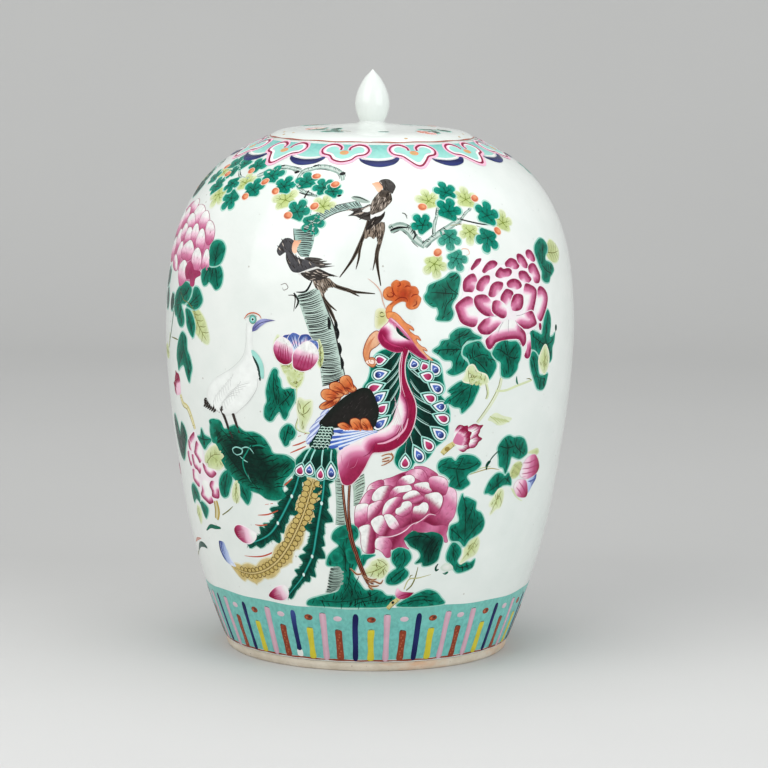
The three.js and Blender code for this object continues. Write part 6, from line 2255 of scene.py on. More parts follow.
def low_leaves():
    p, jar = panel("low_leaves", 1.7)
    wash(jar, [(10.8, 90), (12.6, 94), (14.6, 95.6), (17.4, 93.6), (19.4, 94.4), (22, 92.6), (23.4, 88),
            (22.8, 80), (22.2, 74), (20, 71), (17.6, 70.6), (17, 73), (15, 72.6), (16.4, 77),
            (15.6, 81.4), (13, 84.6), (11.8, 88)], "dark", [[(12, 90), (15, 91.4), (19, 90)],
            [(20.6, 91), (18.6, 84), (17.6, 76)], [(22, 88), (20.6, 81), (19.6, 74)],
            [(15, 94), (17.6, 92), (20, 88)]], heading=70)
    wash(jar, [(7.4, 80), (8.4, 83), (10, 84), (12.6, 81.6), (13.6, 76.6), (12.4, 72), (11.6, 70),
            (13, 66.6), (12.6, 63), (10, 58.6), (7.4, 58), (6, 60), (6.4, 64.6), (8, 68), (9, 70),
            (7.6, 74.4)], "deep", [[(11, 82), (11.6, 76), (10.6, 70)], [(11.6, 69), (9, 65), (6.8, 60)],
            [(11.6, 66), (10, 62), (8.6, 59.4)]])
    wash(jar, [(-1.4, 66), (0.6, 71), (1.6, 74.6), (4.6, 76.4), (6.4, 72.6), (6.4, 68), (5, 63.4),
            (3, 62.6), (1, 64)], "lime", [[(6.2, 73), (3, 68.4), (-0.6, 66)],
            [(5.6, 70.6), (4.4, 67), (3, 64.2)], [(4.4, 70.4), (2.6, 72), (1.4, 71.6)],
            [(3, 69), (1.8, 67), (1.6, 65)], [(3, 76), (5, 74), (6.2, 71)]])
    wash(jar, [(-2, 78.6), (0.4, 79.4), (2.4, 79), (0, 76), (-0.8, 72.6), (-1.8, 70.4), (-2, 74)], "deep",
        halo=0.6)
    wash(jar, [(25.1, 78.2), (26.2, 84.5), (27.6, 85.5), (29.7, 81.8), (30.2, 77.3), (29.3, 72.7),
            (30.3, 70), (32.6, 70.9), (34.3, 70.5), (35.9, 72.3), (35.7, 67.3), (33.9, 65), (30.3, 63.8),
            (28.5, 66.4), (27.2, 70.5), (25.4, 73.6)], "deep", [[(27.4, 84), (27.4, 78), (28.6, 71)],
            [(29, 70), (31, 67.4), (35, 69)]])
    wash(jar, [(31.2, 80.9), (33.4, 87.3), (35.5, 88.2), (36.6, 82.7), (35.9, 76.4), (33.4, 73.6),
            (30.5, 70.5), (31.2, 75.5)], "lime", [[(35.4, 87), (33.6, 80), (31, 73)],
            [(34.6, 84), (36, 81)], [(33.8, 80.6), (35.4, 77)], [(33.8, 82), (32, 82.4)]])
    wash(jar, [(28.3, 118.2), (28.9, 115.8), (29.8, 115.9), (31.4, 114.5), (33.4, 111.8), (33.5, 107.5),
            (34.4, 105.6), (35.5, 104.5), (36.8, 100.9), (37.5, 96.4), (36.8, 91.8), (35.1, 89.1),
            (32.6, 86.4), (31, 82.1), (28.9, 85.9), (26, 87.3), (25.1, 92.7), (25.4, 97.3), (28, 100),
            (27.2, 107.3), (27.4, 111.8)], "deep", [[(28.6, 117), (30, 108), (30.4, 98), (31, 84)],
            [(36.6, 99), (34, 94), (31.4, 87)], [(25.8, 95), (28, 91), (30.6, 86)],
            [(32.6, 111), (31.8, 104), (30.6, 98)]], strokes=0.03)
    wash(jar, [(19.8, 137.7), (20.6, 141.8), (23.5, 143.2), (25.1, 140.9), (26.4, 144.1), (28.5, 144.5),
            (31.4, 142.7), (33.7, 137.7), (32.2, 133.6), (30.1, 131.8), (29.3, 129.1), (30.5, 125),
            (29.3, 122.7), (27.6, 121.1), (25.1, 122.7), (23.7, 124.5), (23.9, 128.2), (22.2, 131.8),
            (20.6, 133.6)], "deep", [[(33, 138), (29, 135), (25.6, 135.4), (21, 137.6)],
            [(27.6, 143), (26.6, 138), (25.6, 135)], [(27.4, 122.6), (26.4, 128), (25.6, 135)]],
        heading=20)
    jar.line([(22.6, 71.4), (22.0, 69), (22.2, 66.8), (23, 67.6)], 1.6, DEEP_GREEN, (0.4, 0.5))
    jar.line([(25.2, 64.6), (26.4, 65), (25.6, 63.8), (24.6, 64.6)], 1.2, GREEN)
    jar.blob([(23.6, 69), (25.4, 71.6), (27.6, 69.6), (28, 66.6), (26, 65.6), (24.4, 66.4)],
        jar.rim(3, (0.62, 0.72, 0.62), (0.82, 0.82, 0.78)))
    p.build()
    p, jar = panel("low_stems", 1.7)
    jar.line([(12.8, 53.6), (14.4, 57), (15.4, 62.6), (16, 70)], 1.0, OLIVE, (0.8, 0.4))
    jar.line([(12, 54.4), (13.4, 61.4), (16.4, 62.2), (20.6, 64.2)], 0.9, (0.50, 0.50, 0.24), (0.8, 0.3))
    jar.line([(13.6, 62), (13.8, 64), (14.6, 64.4)], 0.7, OLIVE)
    jar.line([(30.1, 130.9), (33.9, 132.7), (37.6, 133.6), (40.9, 131.8)], 0.8, (0.45, 0.38, 0.16),
        (0.6, 0.3))
    jar.line([(31, 131.4), (34, 134.4), (37.4, 135)], 0.6, LIME, (0.6, 0.3))
    p.build()


def ground():
    p, jar = panel("ground_rocks", 1.9, 0.02)
    wash(jar, [(-20.6, 42), (-19.6, 45.4), (-16, 48.4), (-12.6, 50.6), (-9.6, 53), (-8.4, 58), (-7.8, 64),
            (-8.6, 70), (-11, 70.4), (-12.8, 71.4), (-12.2, 77), (-10.6, 81.4), (-8.8, 85),
            (-10.8, 89.6), (-9.8, 95.4), (-6.6, 99.4), (-3.4, 98.4), (-2.8, 92), (-4.4, 86.6),
            (-2.4, 83), (-2, 77), (-3.4, 70.6), (-4.2, 64.6), (-2.4, 59), (-0.6, 54.4), (2, 54.8),
            (4.6, 53.6), (6.4, 50.4), (9, 49.6), (9.2, 46), (7.4, 42.6), (4, 41.6), (-2, 41.4),
            (-8, 41.2), (-14, 41.2), (-19, 41)], "deep", [[(-8.6, 85), (-7, 80), (-6.8, 73), (-7, 66)],
            [(-5, 98), (-6, 92), (-6.4, 86)], [(-4.6, 80), (-5.4, 72), (-5.6, 64), (-6.4, 56), (-9, 48)],
            [(-2.6, 64), (-4, 56), (-3, 50)], [(-11.6, 76), (-9.6, 74), (-8, 75)],
            [(3.6, 53), (0, 49), (-5, 47)], [(-16, 45.4), (-10, 45), (-4, 46.6)],
            [(8.6, 48.6), (5, 46), (0, 44.6)], [(-4.6, 42.4), (-2, 45.4), (3, 47)]], strokes=0.026)
    wash(jar, [(10, 42.6), (12, 46.4), (15, 49.8), (18.4, 52.8), (20.6, 53.4), (23.4, 51), (25.6, 46.4),
            (27, 42.4), (22, 41.4), (15, 41.4)], "deep", [[(12, 44), (16, 46), (20, 46), (24, 44.4)],
            [(14, 47.4), (18, 49), (22, 47.6)]], heading=10)
    for outline in ([(-9.4, 95), (-7.6, 98.4), (-5.4, 96.4), (-5, 92.4), (-7.4, 89.6), (-9.2, 91)],
        [(-11.6, 77.4), (-9.6, 80.6), (-7.6, 78), (-8, 74), (-10.6, 73)],
        [(-6.6, 82), (-4.2, 83.4), (-3, 79), (-4, 73), (-6, 74)]):
        jar.blob(outline, jar.rim(4, streaky(SEA_GREEN, 0.9), streaky((0.0, 0.14, 0.09), 0.9)), rise=0.3)
    p.build()
    p, jar = panel("shell_rock", 1.4)
    shell = [(-13.6, 51.6), (-12.4, 56), (-12.2, 62), (-11.4, 68), (-9, 72), (-7.6, 69), (-7.2, 62.6),
        (-8.2, 56), (-10.8, 52.6)]
    jar.panel.add(grown(curve(jar(shell), True, 5), 0.8), (0.66, 0.72, 0.68))
    jar.blob(shell, streaky((0.34, 0.46, 0.40), 0.5), rise=0.25)
    hatch(jar, [(-11.2, 70), (-12.2, 62), (-12.6, 56), (-13.6, 51.6)],
        [(-8.2, 70.6), (-7.4, 63), (-8.4, 56.6), (-10.6, 52.8)], 17, (0.10, 0.14, 0.12), 0.55, 0.6)
    for k in range(9):
        h = 70.6 - 2.1 * k
        jar.line([(-11.4 - 0.22 * k, h), (-10.2 - 0.2 * k, h - 0.6)], 1.2, INK, (1, 0.2), steps=2)
    p.build()
    p, jar = panel("low_bud", 1.2, 0.17)
    stem(jar, [(6.9, 40.6), (8.4, 44.2), (10.8, 48.4)], 3.6, STRAW, OLIVE, ticks=3)
    jar.dot(8.6 , 45.2, 0.5, 1.0, INK)
    jar.blob([(9.2, 51.6), (9.8, 55.8), (9.8, 55.8), (11.2, 53), (13, 52.4), (15.4, 51.9), (15.4, 51.9),
            (14.2, 49.2), (12, 47.4), (10, 48.4)], jar.fade((9.6, 54), (13, 48), BLUSH, PINK, ROSE,
            CRIMSON), rise=0.3)
    jar.line([(10.2, 49), (11.8, 50.4), (14.4, 51)], 0.5, (0.25, 0.0, 0.04), (0.6, 0.3))
    p.build()


def right_flower():
    p, jar = panel("right_flower_leaves", 1.7)
    wash(jar, [(39.3, 148.2), (40.9, 152.7), (43, 154.4), (45.1, 152.7), (47.6, 152.5), (50, 150),
            (51.7, 144.5), (52.1, 140.5), (50.9, 138.6), (48.8, 137.3), (46.7, 138.6), (45.1, 139.5),
            (44.6, 134.5), (43.4, 128.6), (42.2, 132.7), (40.5, 134.5), (39.9, 140), (39.3, 144.5)],
        "deep", [[(43.4, 130), (43.6, 139), (43, 147), (42, 152)],
            [(45.4, 152), (46.6, 146), (50.6, 140)], [(40, 148), (43, 146), (46, 147)]], strokes=0.03)
    wash(jar, [(36.1, 117.7), (37.2, 124.5), (39.3, 129.1), (40.9, 130), (42.6, 128.6), (43.4, 127.3),
            (44.6, 129.1), (45.9, 126.4), (46.6, 120.5), (45.1, 120.9), (43, 120.9), (41.7, 119.1),
            (40.5, 116.4), (39, 115.5), (37.6, 116.8)], "deep",
        [[(43.2, 126), (40.6, 121.6), (37.4, 118)], [(43.4, 126), (45, 123.6), (46.2, 121.4)],
            [(41, 129), (40, 124)]])
    wash(jar, [(38.6, 109.1), (40.1, 114.5), (41.7, 118.6), (43.4, 117.3), (43.8, 111.8), (43, 106.4),
            (41.3, 105.5), (39.3, 102.3), (39.9, 106.4)], "lime",
        [[(42.6, 117.4), (41, 110.4), (39.4, 103.4)], [(42, 114.4), (43.2, 110), (43, 106.6)],
            [(41.6, 112.4), (40, 111)], [(41, 110), (42, 107)]])
    jar.line([(39.6, 145), (37.4, 140.6), (36, 136)], 0.9, DEEP_GREEN, (0.8, 0.4))
    jar.blob([(35.4, 136), (36.2, 138.8), (37.2, 138.4), (36.4, 135.6), (35.9, 132.7)],
        streaky(DEEP_GREEN, 0.7), rise=0.1)
    p.build()
    p, jar = panel("right_flower", 1.1)
    jar.blob([(52.1, 140.5), (54.6, 141.8), (57.5, 142.3), (58.8, 139.1), (57.1, 137.3), (54.6, 139.1)],
        jar.rim(3, PALE_LIME, LIME))
    jar.blob([(46.7, 118.2), (48.8, 112.7), (51.3, 109.1), (53.4, 107.6), (50.2, 111.6), (48.4, 116.4)],
        PALE_LIME)
    jar.line([(58.6, 136), (60, 131), (61, 126)], 0.8, PALE_LIME, (0.4, 0.3))
    jar.blob([(54.2, 120.9), (56, 122.4), (57.5, 122.7), (59.2, 124.4), (59.4, 121), (57.6, 116.6),
            (55.9, 112.4), (55.2, 114.5), (54.6, 117.3)], jar.fade((54.4, 120), (58.6, 118),
            (0.60, 0.68, 0.86), SKY, BLUE), rise=0.25)
    for k in range(5):
        jar.line([(54.8 + 0.3 * k, 120.6), (56.4 + 0.5 * k, 119.6 + 0.4 * k),
                (57.4 + 0.4 * k, 116.4 + 1.4 * k)], 0.5, BLUE, (0.5, 0.3))
    jar.blob([(45.3, 130), (46.6, 134.6), (49, 135.8), (50.6, 133.4), (50.6, 128.4), (48.8, 124.8),
            (46.6, 124.4), (45.3, 127)], jar.rim(4, PALE_LIME, LIME, (0.56, 0.60, 0.26)), rise=0.3)
    for outline, left, right in (
        ([(50.2, 126), (50.5, 131), (52.5, 136.6), (55.9, 138.4), (58.3, 135.2),
                (60.2, 129.4), (59.6, 125.5), (56.7, 123.2), (53.4, 122.7)], (50.4, 130), (59.8, 130)),
        ([(48, 119.4), (49.4, 122.6), (51.6, 122.6), (53.8, 120.9), (55.4, 114), (55.2, 110.4),
                (53.4, 110), (50.5, 111.8), (48.8, 115.5)], (48.4, 120), (55.2, 112)),
    ):
        jar.panel.add(grown(curve(jar(outline), True, 5), 0.4), (0.70, 0.50, 0.58))
        jar.blob(outline, jar.fade(left, right, (0.84, 0.80, 0.80), BLUSH, PINK, ROSE, CRIMSON),
            rise=0.35)
    for pts in ([(51, 134), (54, 133.4), (57, 134.6)], [(50.8, 130), (54.6, 129.6), (58.6, 130.6)],
        [(51, 126.6), (54, 126.4), (57.6, 126.4)], [(50, 121.6), (52.6, 117), (54.4, 112.4)],
        [(49.2, 118), (51, 115), (52.6, 111.6)], [(51.4, 124.4), (53.4, 124.2)]):
        jar.line(pts, 0.6, (0.42, 0.05, 0.16), (0.5, 0.2))
    for k in range(13):
        jar.line([(45.9 + 0.36 * k % 4.2, 126 + (k * 3.7) % 8.4),
                (46.7 + 0.36 * k % 4.2, 126.8 + (k * 3.7) % 8.4)], 0.7, OLIVE, (0.7, 0.4), steps=2)
    p.build()


def left_low_leaves():
    p, jar = panel("left_washed_leaves", 1.7)
    wash(jar, [(-77.9, 153.1), (-75.7, 157), (-73.3, 153.1), (-71.8, 146.3), (-70.4, 149.7),
            (-68.9, 153.6), (-66.5, 150.9), (-65.6, 144.2), (-68, 136.4), (-69.9, 129.8), (-72.3, 127),
            (-75.2, 129.8), (-77.1, 136.4), (-78.1, 145.3)], "dark",
        [[(-75.6, 155), (-74.6, 145), (-72.6, 137)], [(-68.4, 152), (-69.6, 144), (-72.4, 137),
                (-72.6, 129)]])
    wash(jar, [(-58.3, 147), (-56.4, 148.7), (-55.4, 153.7), (-54, 149.8), (-50.7, 147.6), (-53, 143.1),
            (-54.9, 139.8), (-56.4, 142.6)], "deep", [[(-55.4, 153), (-55, 147), (-54.8, 141)],
            [(-57.6, 147), (-54.4, 146.4), (-51.4, 147.4)]])
    wash(jar, [(-55.7, 133.1), (-53, 139.8), (-49.1, 144.2), (-46.7, 140.3), (-45.5, 134.2),
            (-48.2, 128.7), (-52, 127.6), (-54.9, 128.7)], "lime",
        [[(-55, 130), (-51.4, 136.6), (-47.4, 138.6)], [(-53.4, 133), (-54, 136)],
            [(-51.4, 136), (-49, 134)], [(-49.6, 138), (-50, 141)]])
    wash(jar, [(-49.9, 115.3), (-48.6, 123.1), (-45.3, 128.7), (-43.3, 124.2), (-44.8, 116.4),
            (-46.2, 110.9), (-48.6, 109.8)], "deep", [[(-45.2, 127), (-46.6, 119), (-47.8, 111)]])
    wash(jar, [(-41.2, 115.3), (-40, 122), (-37.5, 118.7), (-36.3, 115.3), (-38, 107.6), (-40, 110.9)],
        "deep", [[(-40, 120), (-38.8, 114), (-38, 109)]])
    wash(jar, [(-44.3, 110.9), (-43.3, 118.7), (-41.4, 123.1), (-40.9, 116.4), (-41.6, 108.7),
            (-43.3, 107.6)], "lime", [[(-41.8, 121), (-42.6, 114), (-42.8, 108)],
            [(-42.4, 115), (-43.8, 111)], [(-42.2, 115), (-41.4, 110)]], halo=0.5)
    wash(jar, [(-68.2, 108.7), (-66, 113.1), (-63.6, 110.9), (-62.2, 106.4), (-62.2, 102), (-60.7, 102.6),
            (-57.8, 99.8), (-57.8, 96.4), (-60, 91.4), (-61.7, 96.4), (-62.7, 100.9), (-65.1, 103.1),
            (-67.5, 99.8)], "deep", [[(-66.6, 111), (-64, 105), (-61, 99), (-60, 93)],
            [(-67, 101), (-64.4, 104)]])
    wash(jar, [(-66.5, 93.1), (-65.1, 98.7), (-62.7, 96.4), (-63.1, 89.8), (-64.8, 85.9), (-65.8, 89.8)],
        "lime", [[(-64.4, 97), (-64.8, 91), (-64.8, 87)]], halo=0.5)
    wash(jar, [(-68, 198.1), (-66.5, 207.6), (-63.6, 214.8), (-60.7, 212), (-60.2, 204.2), (-58.8, 199.8),
            (-57.8, 193.1), (-58.8, 187.6), (-60, 182.6), (-61.7, 187.6), (-62.7, 192.6), (-63.6, 193.1),
            (-65.6, 190.9), (-67, 188.7), (-67.5, 193.1)], "deep",
        [[(-63.4, 213), (-62.4, 204), (-60.6, 196), (-60, 185)],
            [(-62.6, 203), (-65, 196), (-66.8, 190)]], strokes=0.03)
    wash(jar, [(-50.6, 146.6), (-50.2, 154), (-51, 160), (-48.4, 162), (-46.6, 160), (-46.2, 156),
            (-48, 152), (-48.2, 148), (-49.2, 145.6)], "deep", halo=0.4)
    p.build()


low_peony()
low_leaves()
ground()
right_flower()
left_low_leaves()


# ---------------------------------------------------------------- the sides and the back


def full_bloom(jar, a, h, size=1.0, turn=0.0, **look):
    """A peony seen from the front: four rings of petals."""
    b = jar.at(a, h, turn, size)
    for ring, (count, r, long, wide) in enumerate(((9, 11, 16, 17), (8, 7, 14, 14), (6, 3, 12, 13),
            (4, 0, 9, 10))):
        for k in range(count):
            t = 360 / count * k + 23 * ring + rng.uniform(-5, 5)
            x, y = -r * math.sin(math.radians(t)), r * math.cos(math.radians(t)) - 1.5 * ring
            petal(b.part(x, y, t), long * rng.uniform(0.9, 1.1), wide * rng.uniform(0.9, 1.1), **look)


def spray(jar, a, h, turns, long=20, wide=14, tone="deep"):
    """Leaves that fan out round a point."""
    leaflets(jar, tone, *[(a + 0.6 * math.sin(k * 2.1), h + 1.5 * math.cos(k * 1.7), t,
                long * rng.uniform(0.8, 1.1), wide * rng.uniform(0.85, 1.1)) for k,
            t in enumerate(turns)])


def closed_bud(jar, a, h, turn, size=1.0):
    b = jar.at(a, h, turn, size)
    stem(b, [(1, -14), (0.6, -7), (0, 0)], 3.2, STRAW, OLIVE, ticks=3)
    for t, long, wide in ((28, 14, 10), (-28, 14, 10), (0, 16, 11)):
        petal(b.part(0, 0, t), long, wide, CRIMSON, BLUSH, 0.8, 1, middle=ROSE)


def left_side():
    """What the left edge of the front leads round to."""
    p, jar = panel("left_side_leaves", 1.9)
    stem(jar, [(-84, 262), (-91, 270), (-98, 268), (-106, 276)], 2.2, PALE_LIME)
    stem(jar, [(-98, 268), (-101, 255), (-108, 246)], 1.8, PALE_LIME)
    spray(jar, -93, 272, (60, 10, -50), 20, 14)
    spray(jar, -102, 262, (120, 170, 80), 18, 13)
    spray(jar, -92, 243, (150, 200), 16, 11)
    spray(jar, -99, 284, (30, -15), 17, 9, "lime")
    spray(jar, -108, 240, (140, 95), 15, 9, "lime")
    stem(jar, [(-97, 60), (-99, 84), (-96, 106), (-102, 124)], 2.6, STRAW, OLIVE, ticks=6)
    spray(jar, -98, 92, (70, -60, 110), 19, 13)
    spray(jar, -97, 112, (-40, -95), 17, 11)
    spray(jar, -92, 128, (-30, 20), 15, 9, "lime")
    p.build()
    p, jar = panel("left_side_blooms", 1.5)
    closed_bud(jar, -107, 277, 20)
    full_bloom(jar, -103, 140, 0.72, 10, gap=0.5, depth=0.8)
    closed_bud(jar, -88, 112, -30, 0.7)
    p.build()


def right_side():
    p, jar = panel("right_side_spray", 1.7)
    stem(jar, [(96, 96), (98, 120), (103, 140), (108, 152)], 2.4, STRAW, OLIVE, ticks=5)
    spray(jar, 97, 118, (60, -40, 110), 18, 13)
    spray(jar, 104, 138, (80, 30), 16, 11)
    spray(jar, 99, 104, (-70, -110), 15, 9, "lime")
    for turn in (40, -30, -80, 90):
        petal(jar.at(109.5, 154, turn), 16, 12, ROSE, WHITE, 0.8, 1, gap=0.4)
    jar.at(109.5, 154).dot(0, 0, 2.6, 2.6, YELLOW)
    p.build()
    vine("right_side_vine", [("deep", 96, 318, 8.5, 20), ("lime", 101, 309, 8, -15),
            ("deep", 106, 320, 9, 0), ("deep", 112, 311, 8.5, 30), ("lime", 117, 322, 8.5, 10),
            ("deep", 122, 313, 9, -20), ("deep", 90, 327, 8, 40), ("deep", 127, 324, 8, 15),
            ("lime", 131, 312, 8, -30)], [(99, 321), (109, 304), (119, 306), (126, 316)])
    p, jar = panel("right_side_branch", 1.5)
    twig(jar, [(86, 334), (94, 328), (103, 327), (112, 328), (122, 331), (132, 327)], 4.0, 14)
    p.build()


def back():
    """The reverse: a peony that grows from rocks, with vine above."""
    p, jar = panel("back_rocks", 2.0)
    top = [(a,
            47 + 15 * math.sin(math.radians((a - 140) * 2.4)) ** 2 + 5 * math.sin(
                a * 0.5)) for a in np.arange(141, 216, 5.0)]
    wash(jar, [(138, 42), *top, (219, 42), (200, 41.2), (180, 41.2), (160, 41.2)], "deep",
        [[(a, 44), (a + 3, 50 + 3 * math.sin(a)), (a + 6, 46)] for a in np.arange(144, 210, 7.0)],
        strokes=0.02)
    p.build()
    p, jar = panel("back_trunk", 1.5, 0.02)
    twig(jar, [(176, 58), (172, 90), (176, 122), (170, 156), (176, 190), (181, 214)], 10, 46)
    twig(jar, [(174, 128), (186, 142), (197, 152), (204, 166)], 5, 16)
    twig(jar, [(171, 150), (160, 164), (152, 172)], 4, 12)
    p.build()
    p, jar = panel("back_leaves", 1.9, 0.12)
    spray(jar, 160, 236, (60, 105, 150), 24, 17)
    spray(jar, 198, 236, (-60, -110, -20), 24, 17)
    spray(jar, 176, 202, (150, 190, -140), 22, 15)
    spray(jar, 216, 176, (-70, -20, -120), 20, 14)
    spray(jar, 200, 140, (170, -150, 130), 20, 14)
    spray(jar, 141, 188, (70, 20, 120), 19, 13)
    spray(jar, 150, 158, (150, 195), 19, 12)
    spray(jar, 166, 96, (80, 40, 130), 20, 14)
    spray(jar, 182, 84, (-50, -100), 18, 12)
    spray(jar, 190, 196, (-90, -40), 18, 10, "lime")
    spray(jar, 168, 262, (30, 80), 18, 10, "lime")
    spray(jar, 212, 150, (-140,), 18, 10, "lime")
    p.build()
    p, jar = panel("back_peony", 1.4, 0.14)
    full_bloom(jar, 179, 238, 1.22, 8, gap=0.5, depth=0.85)
    p.build()
    p, jar = panel("back_small_peonies", 1.4, 0.17)
    full_bloom(jar, 207, 172, 0.86, 30, gap=0.5, depth=0.8, dark=ROSE)
    full_bloom(jar, 150, 180, 0.74, -20, gap=0.5, depth=0.8)
    closed_bud(jar, 196, 276, -30)
    closed_bud(jar, 226, 214, -40, 0.9)
    closed_bud(jar, 132, 148, 40, 0.8)
    closed_bud(jar, 186, 70, -20, 0.8)
    p.build()
    vine("back_vine", [("deep", 148, 322, 9, 10), ("lime", 155, 312, 8.5, 25), ("deep", 161, 323, 9, -10),
            ("deep", 168, 314, 8.5, 15), ("deep", 175, 325, 9, 0), ("lime", 182, 316, 8.5, -20),
            ("deep", 189, 324, 9, 20), ("deep", 196, 313, 8.5, 0), ("lime", 203, 323, 8.5, 12),
            ("deep", 210, 315, 9, -15), ("deep", 217, 324, 8.5, 5), ("deep", 224, 314, 8, 25),
            ("deep", 241, 322, 9, 0), ("lime", 248, 313, 8, 15), ("deep", 254, 324, 9, -12),
            ("deep", 261, 314, 8.5, 20), ("deep", 267, 325, 8.5, 5), ("lime", 273, 316, 8, -20)],
        [(152, 329), (164, 306), (179, 308), (193, 330), (206, 306), (221, 306), (245, 306), (258, 330),
            (270, 308)])
    p, jar = panel("back_branches", 1.5)
    twig(jar, [(140, 332), (152, 333), (166, 331), (182, 334), (198, 331), (214, 333), (228, 330)], 4.0,
        22)
    twig(jar, [(236, 331), (248, 333), (260, 332), (272, 333), (280, 328)], 3.6, 16)
    p.build()
    p, jar = panel("back_butterflies", 1.2)
    for a, h, turn in ((238, 252, -25), (124, 246, 20), (250, 180, 40)):
        b = jar.at(a, h, turn)
        for side in (-1, 1):
            for pts, colour in (([(0, 0), (side * 4, 7), (side * 11, 9), (side * 12, 4), (side * 6, 0)],
                    APRICOT), ([(0, 0), (side * 7, -1), (side * 8, -6), (side * 4, -8), (side * 1, -3)],
                    SKY)):
                b.panel.add(grown(curve(b(pts), True, 5), 0.5), BROWN)
                b.blob(pts, b.tip((0, 0), 12, colour, blend_colours(np.array([0.5]),
                            [colour, WHITE])[0][:3]), rise=0.15)
            b.dot(side * 7.5, 5, 1.3, 1.3, ROSE)
            b.line([(0, 4), (side * 1.6, 8), (side * 3.4, 10)], 0.4, INK)
        b.line([(0, 5), (0.3, -1), (0, -6)], 1.8, INK, (0.6, 0.2))
    p.build()


# ---------------------------------------------------------------- the lid


def on_lid(verts, lifts):
    at, slope = lid_outline(verts[:, 1]), lid_outline(verts[:, 1], slope=True)
    slope = slope / np.linalg.norm(slope, axis=-1, keepdims=True)
    r = at[:, 0] + lifts * slope[:, 1]
    z = at[:, 1] - lifts * slope[:, 0]
    a = np.radians(verts[:, 0] / DEGREE)
    return np.stack([r * np.sin(a), -r * np.cos(a), z + 2 * (lifts * slope[:, 0]).clip(0)], -1) * MM


def lid_painting():
    p = Panel("lid_edge_line", 2.0)
    lid = Brush(p)
    a = np.linspace(0, 360, 181)
    inner = np.stack([a, 1.5 + 0.25 * np.sin(a * 0.31)], 1)
    outer = np.stack([a[::-1], 0.5 + 0.2 * np.sin(a * 0.23)], 1)
    lid.shape(np.concatenate([inner, outer]), streaky((0.45, 0.12, 0.07), 0.8))
    p.build(on_lid, "lid")
    p = Panel("lid_sprays", 1.6)

    def at(a, s, turn=0.0, size=1.0):
        c, d = math.cos(math.radians(turn)), math.sin(math.radians(turn))
        m = np.array([[125 / lid_outline(s)[0], 0], [0, 1]]) @ np.array([[c, -d], [d, c]]) * size
        return Brush(p, m, (a * DEGREE, s), size)

    for k, (a, s) in enumerate(((-38, 26), (62, 22), (150, 24), (238, 24))):
        b = at(a, s, 80 + 20 * k)
        b.line([(0, -16), (2, 0), (-2, 14)], 1.2, OLIVE, (0.8, 0.4))
        for x, y, turn, long, wide in ((0, -8, 50, 12, 7), (1, -2, -55, 13, 7), (0, 6, 40, 12, 6),
            (-1, 10, -40, 11, 6)):
            leaflet(b.part(x, y, turn), long, wide, "deep")
        for turn in (0, 50, -50):
            petal(b.part(-2, 14, turn), 9, 7, ORANGE, (0.84, 0.70, 0.58), 0.7, 1, middle=APRICOT, gap=0.3)
    for a, s, turn in ((14, 24, 88), (-22, 20, 95)):
        leaflet(at(a, s, turn), 7, 3.4, "dull")
    for a, s in ((62, 4.4), (-64, 5), (-70, 8), (74, 7), (-58, 9), (20, 5)):
        at(a, s).dot(0, 0, 1.3, 0.9, (0.62, 0.42, 0.22))
    p.build(on_lid, "lid")


left_side()
right_side()
back()
lid_painting()


# ---------------------------------------------------------------- camera, floor and light

CAMERA = (0.0, -2.146, 0.4676)
FOCAL = 151.76
TILT, TURN, ROLL = 7.756, -0.262, 0.65


def camera():
    data = bpy.data.cameras.new("camera")
    data.lens, data.sensor_width = FOCAL, 36
    data.clip_start, data.clip_end = 0.05, 20
    cam = bpy.data.objects.new("camera", data)
    cam.location = CAMERA
    turned_left = Quaternion((0, 0, 1), math.radians(TURN))
    tilted_down = Quaternion((1, 0, 0), math.radians(90 - TILT))
    rolled = Quaternion((0, 0, 1), math.radians(ROLL))
    cam.rotation_mode = "QUATERNION"
    cam.rotation_quaternion = turned_left @ tilted_down @ rolled
    bpy.context.scene.collection.objects.link(cam)
    bpy.context.scene.camera = cam


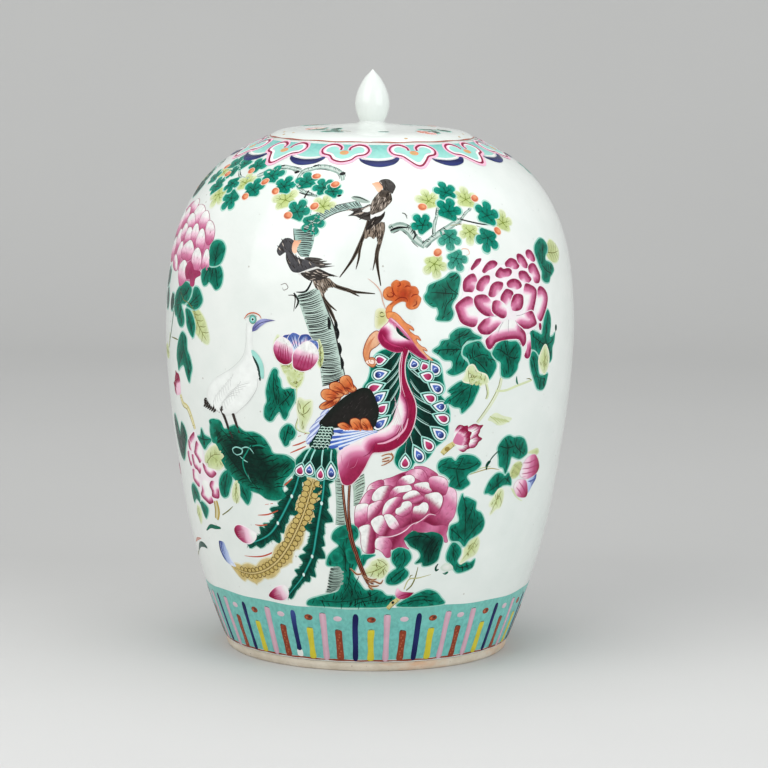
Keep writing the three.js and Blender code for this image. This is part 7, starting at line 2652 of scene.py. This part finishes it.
def backdrop():
    """A seamless paper sweep: floor in front, a wide bend, then the wall behind. Its grey is painted
    lighter on the floor in front and darker towards the wall, as painted shade.
    """
    n = Nodes("sweep_paper_with_painted_shade")
    across = n.add("SeparateXYZ", Vector=n.place()).outputs[1]
    # painted shade: the paper is one grey, painted lighter on the floor in front and darker towards the
    # bend and the wall behind, where less light falls
    depth = n.maths("DIVIDE", n.maths("ADD", across, 1.2), 2.4, clamp=True)
    tone = n.ramp(depth, (0.15, (0.66, 0.66, 0.655)), (0.42, (0.62, 0.62, 0.61)),
        (0.62, (0.50, 0.50, 0.49)))
    tone = n.mix(0.5, tone, n.ramp(n.noise(3, 2), (0.3, 0.96), (0.7, 1.0)), "MULTIPLY")
    paper = n.bump(n.noise(900, 3), 0.0001)
    n.set(Base_Color=tone, Roughness=0.75, Normal=paper)
    run = [(-3.0, 0.0)]
    bend, back = 0.9, 1.5
    run += [
        (back + bend * math.sin(t), bend - bend * math.cos(t)) for t in np.linspace(0, math.pi / 2, 24)
    ]
    run.append((back + bend, 3.4))
    verts, faces = [], []
    for y, z in run:
        verts += [(-3.2, y, z), (3.2, y, z)]
    for k in range(len(run) - 1):
        faces.append((2 * k, 2 * k + 1, 2 * k + 3, 2 * k + 2))
    mesh = bpy.data.meshes.new("sweep")
    mesh.from_pydata(verts, [], faces)
    mesh.materials.append(n.material)
    mesh.polygons.foreach_set("use_smooth", [True] * len(mesh.polygons))
    sweep = bpy.data.objects.new("sweep", mesh)
    bpy.context.scene.collection.objects.link(sweep)


def softbox(name, at, target, size, watts, colour=(1, 1, 1)):
    data = bpy.data.lights.new(name, "AREA")
    data.shape, data.size, data.size_y = "RECTANGLE", *size
    data.energy, data.color = watts, colour
    lamp = bpy.data.objects.new(name, data)
    lamp.location = at
    lamp.rotation_euler = (Vector(target) - Vector(at)).to_track_quat("-Z", "Y").to_euler()
    bpy.context.scene.collection.objects.link(lamp)


def lights():
    world = bpy.data.worlds.new("studio")
    world.use_nodes = True
    world.node_tree.nodes["Background"].inputs["Color"].default_value = (0.97, 0.985, 1, 1)
    world.node_tree.nodes["Background"].inputs["Strength"].default_value = 0.70
    bpy.context.scene.world = world
    softbox("key", (-1.7, -1.6, 1.7), (0, 0, 0.2), (2.6, 2.4), 36, (1, 0.99, 0.97))
    softbox("fill", (1.9, -1.7, 1.0), (0, 0, 0.2), (2.4, 2.4), 31, (0.97, 0.99, 1))
    softbox("top", (0, 0.2, 2.4), (0, 0, 0.2), (1.8, 1.8), 16)
    bpy.context.scene.view_settings.view_transform = "Standard"


camera()
backdrop()
lights()

bpy.context.view_layer.update()
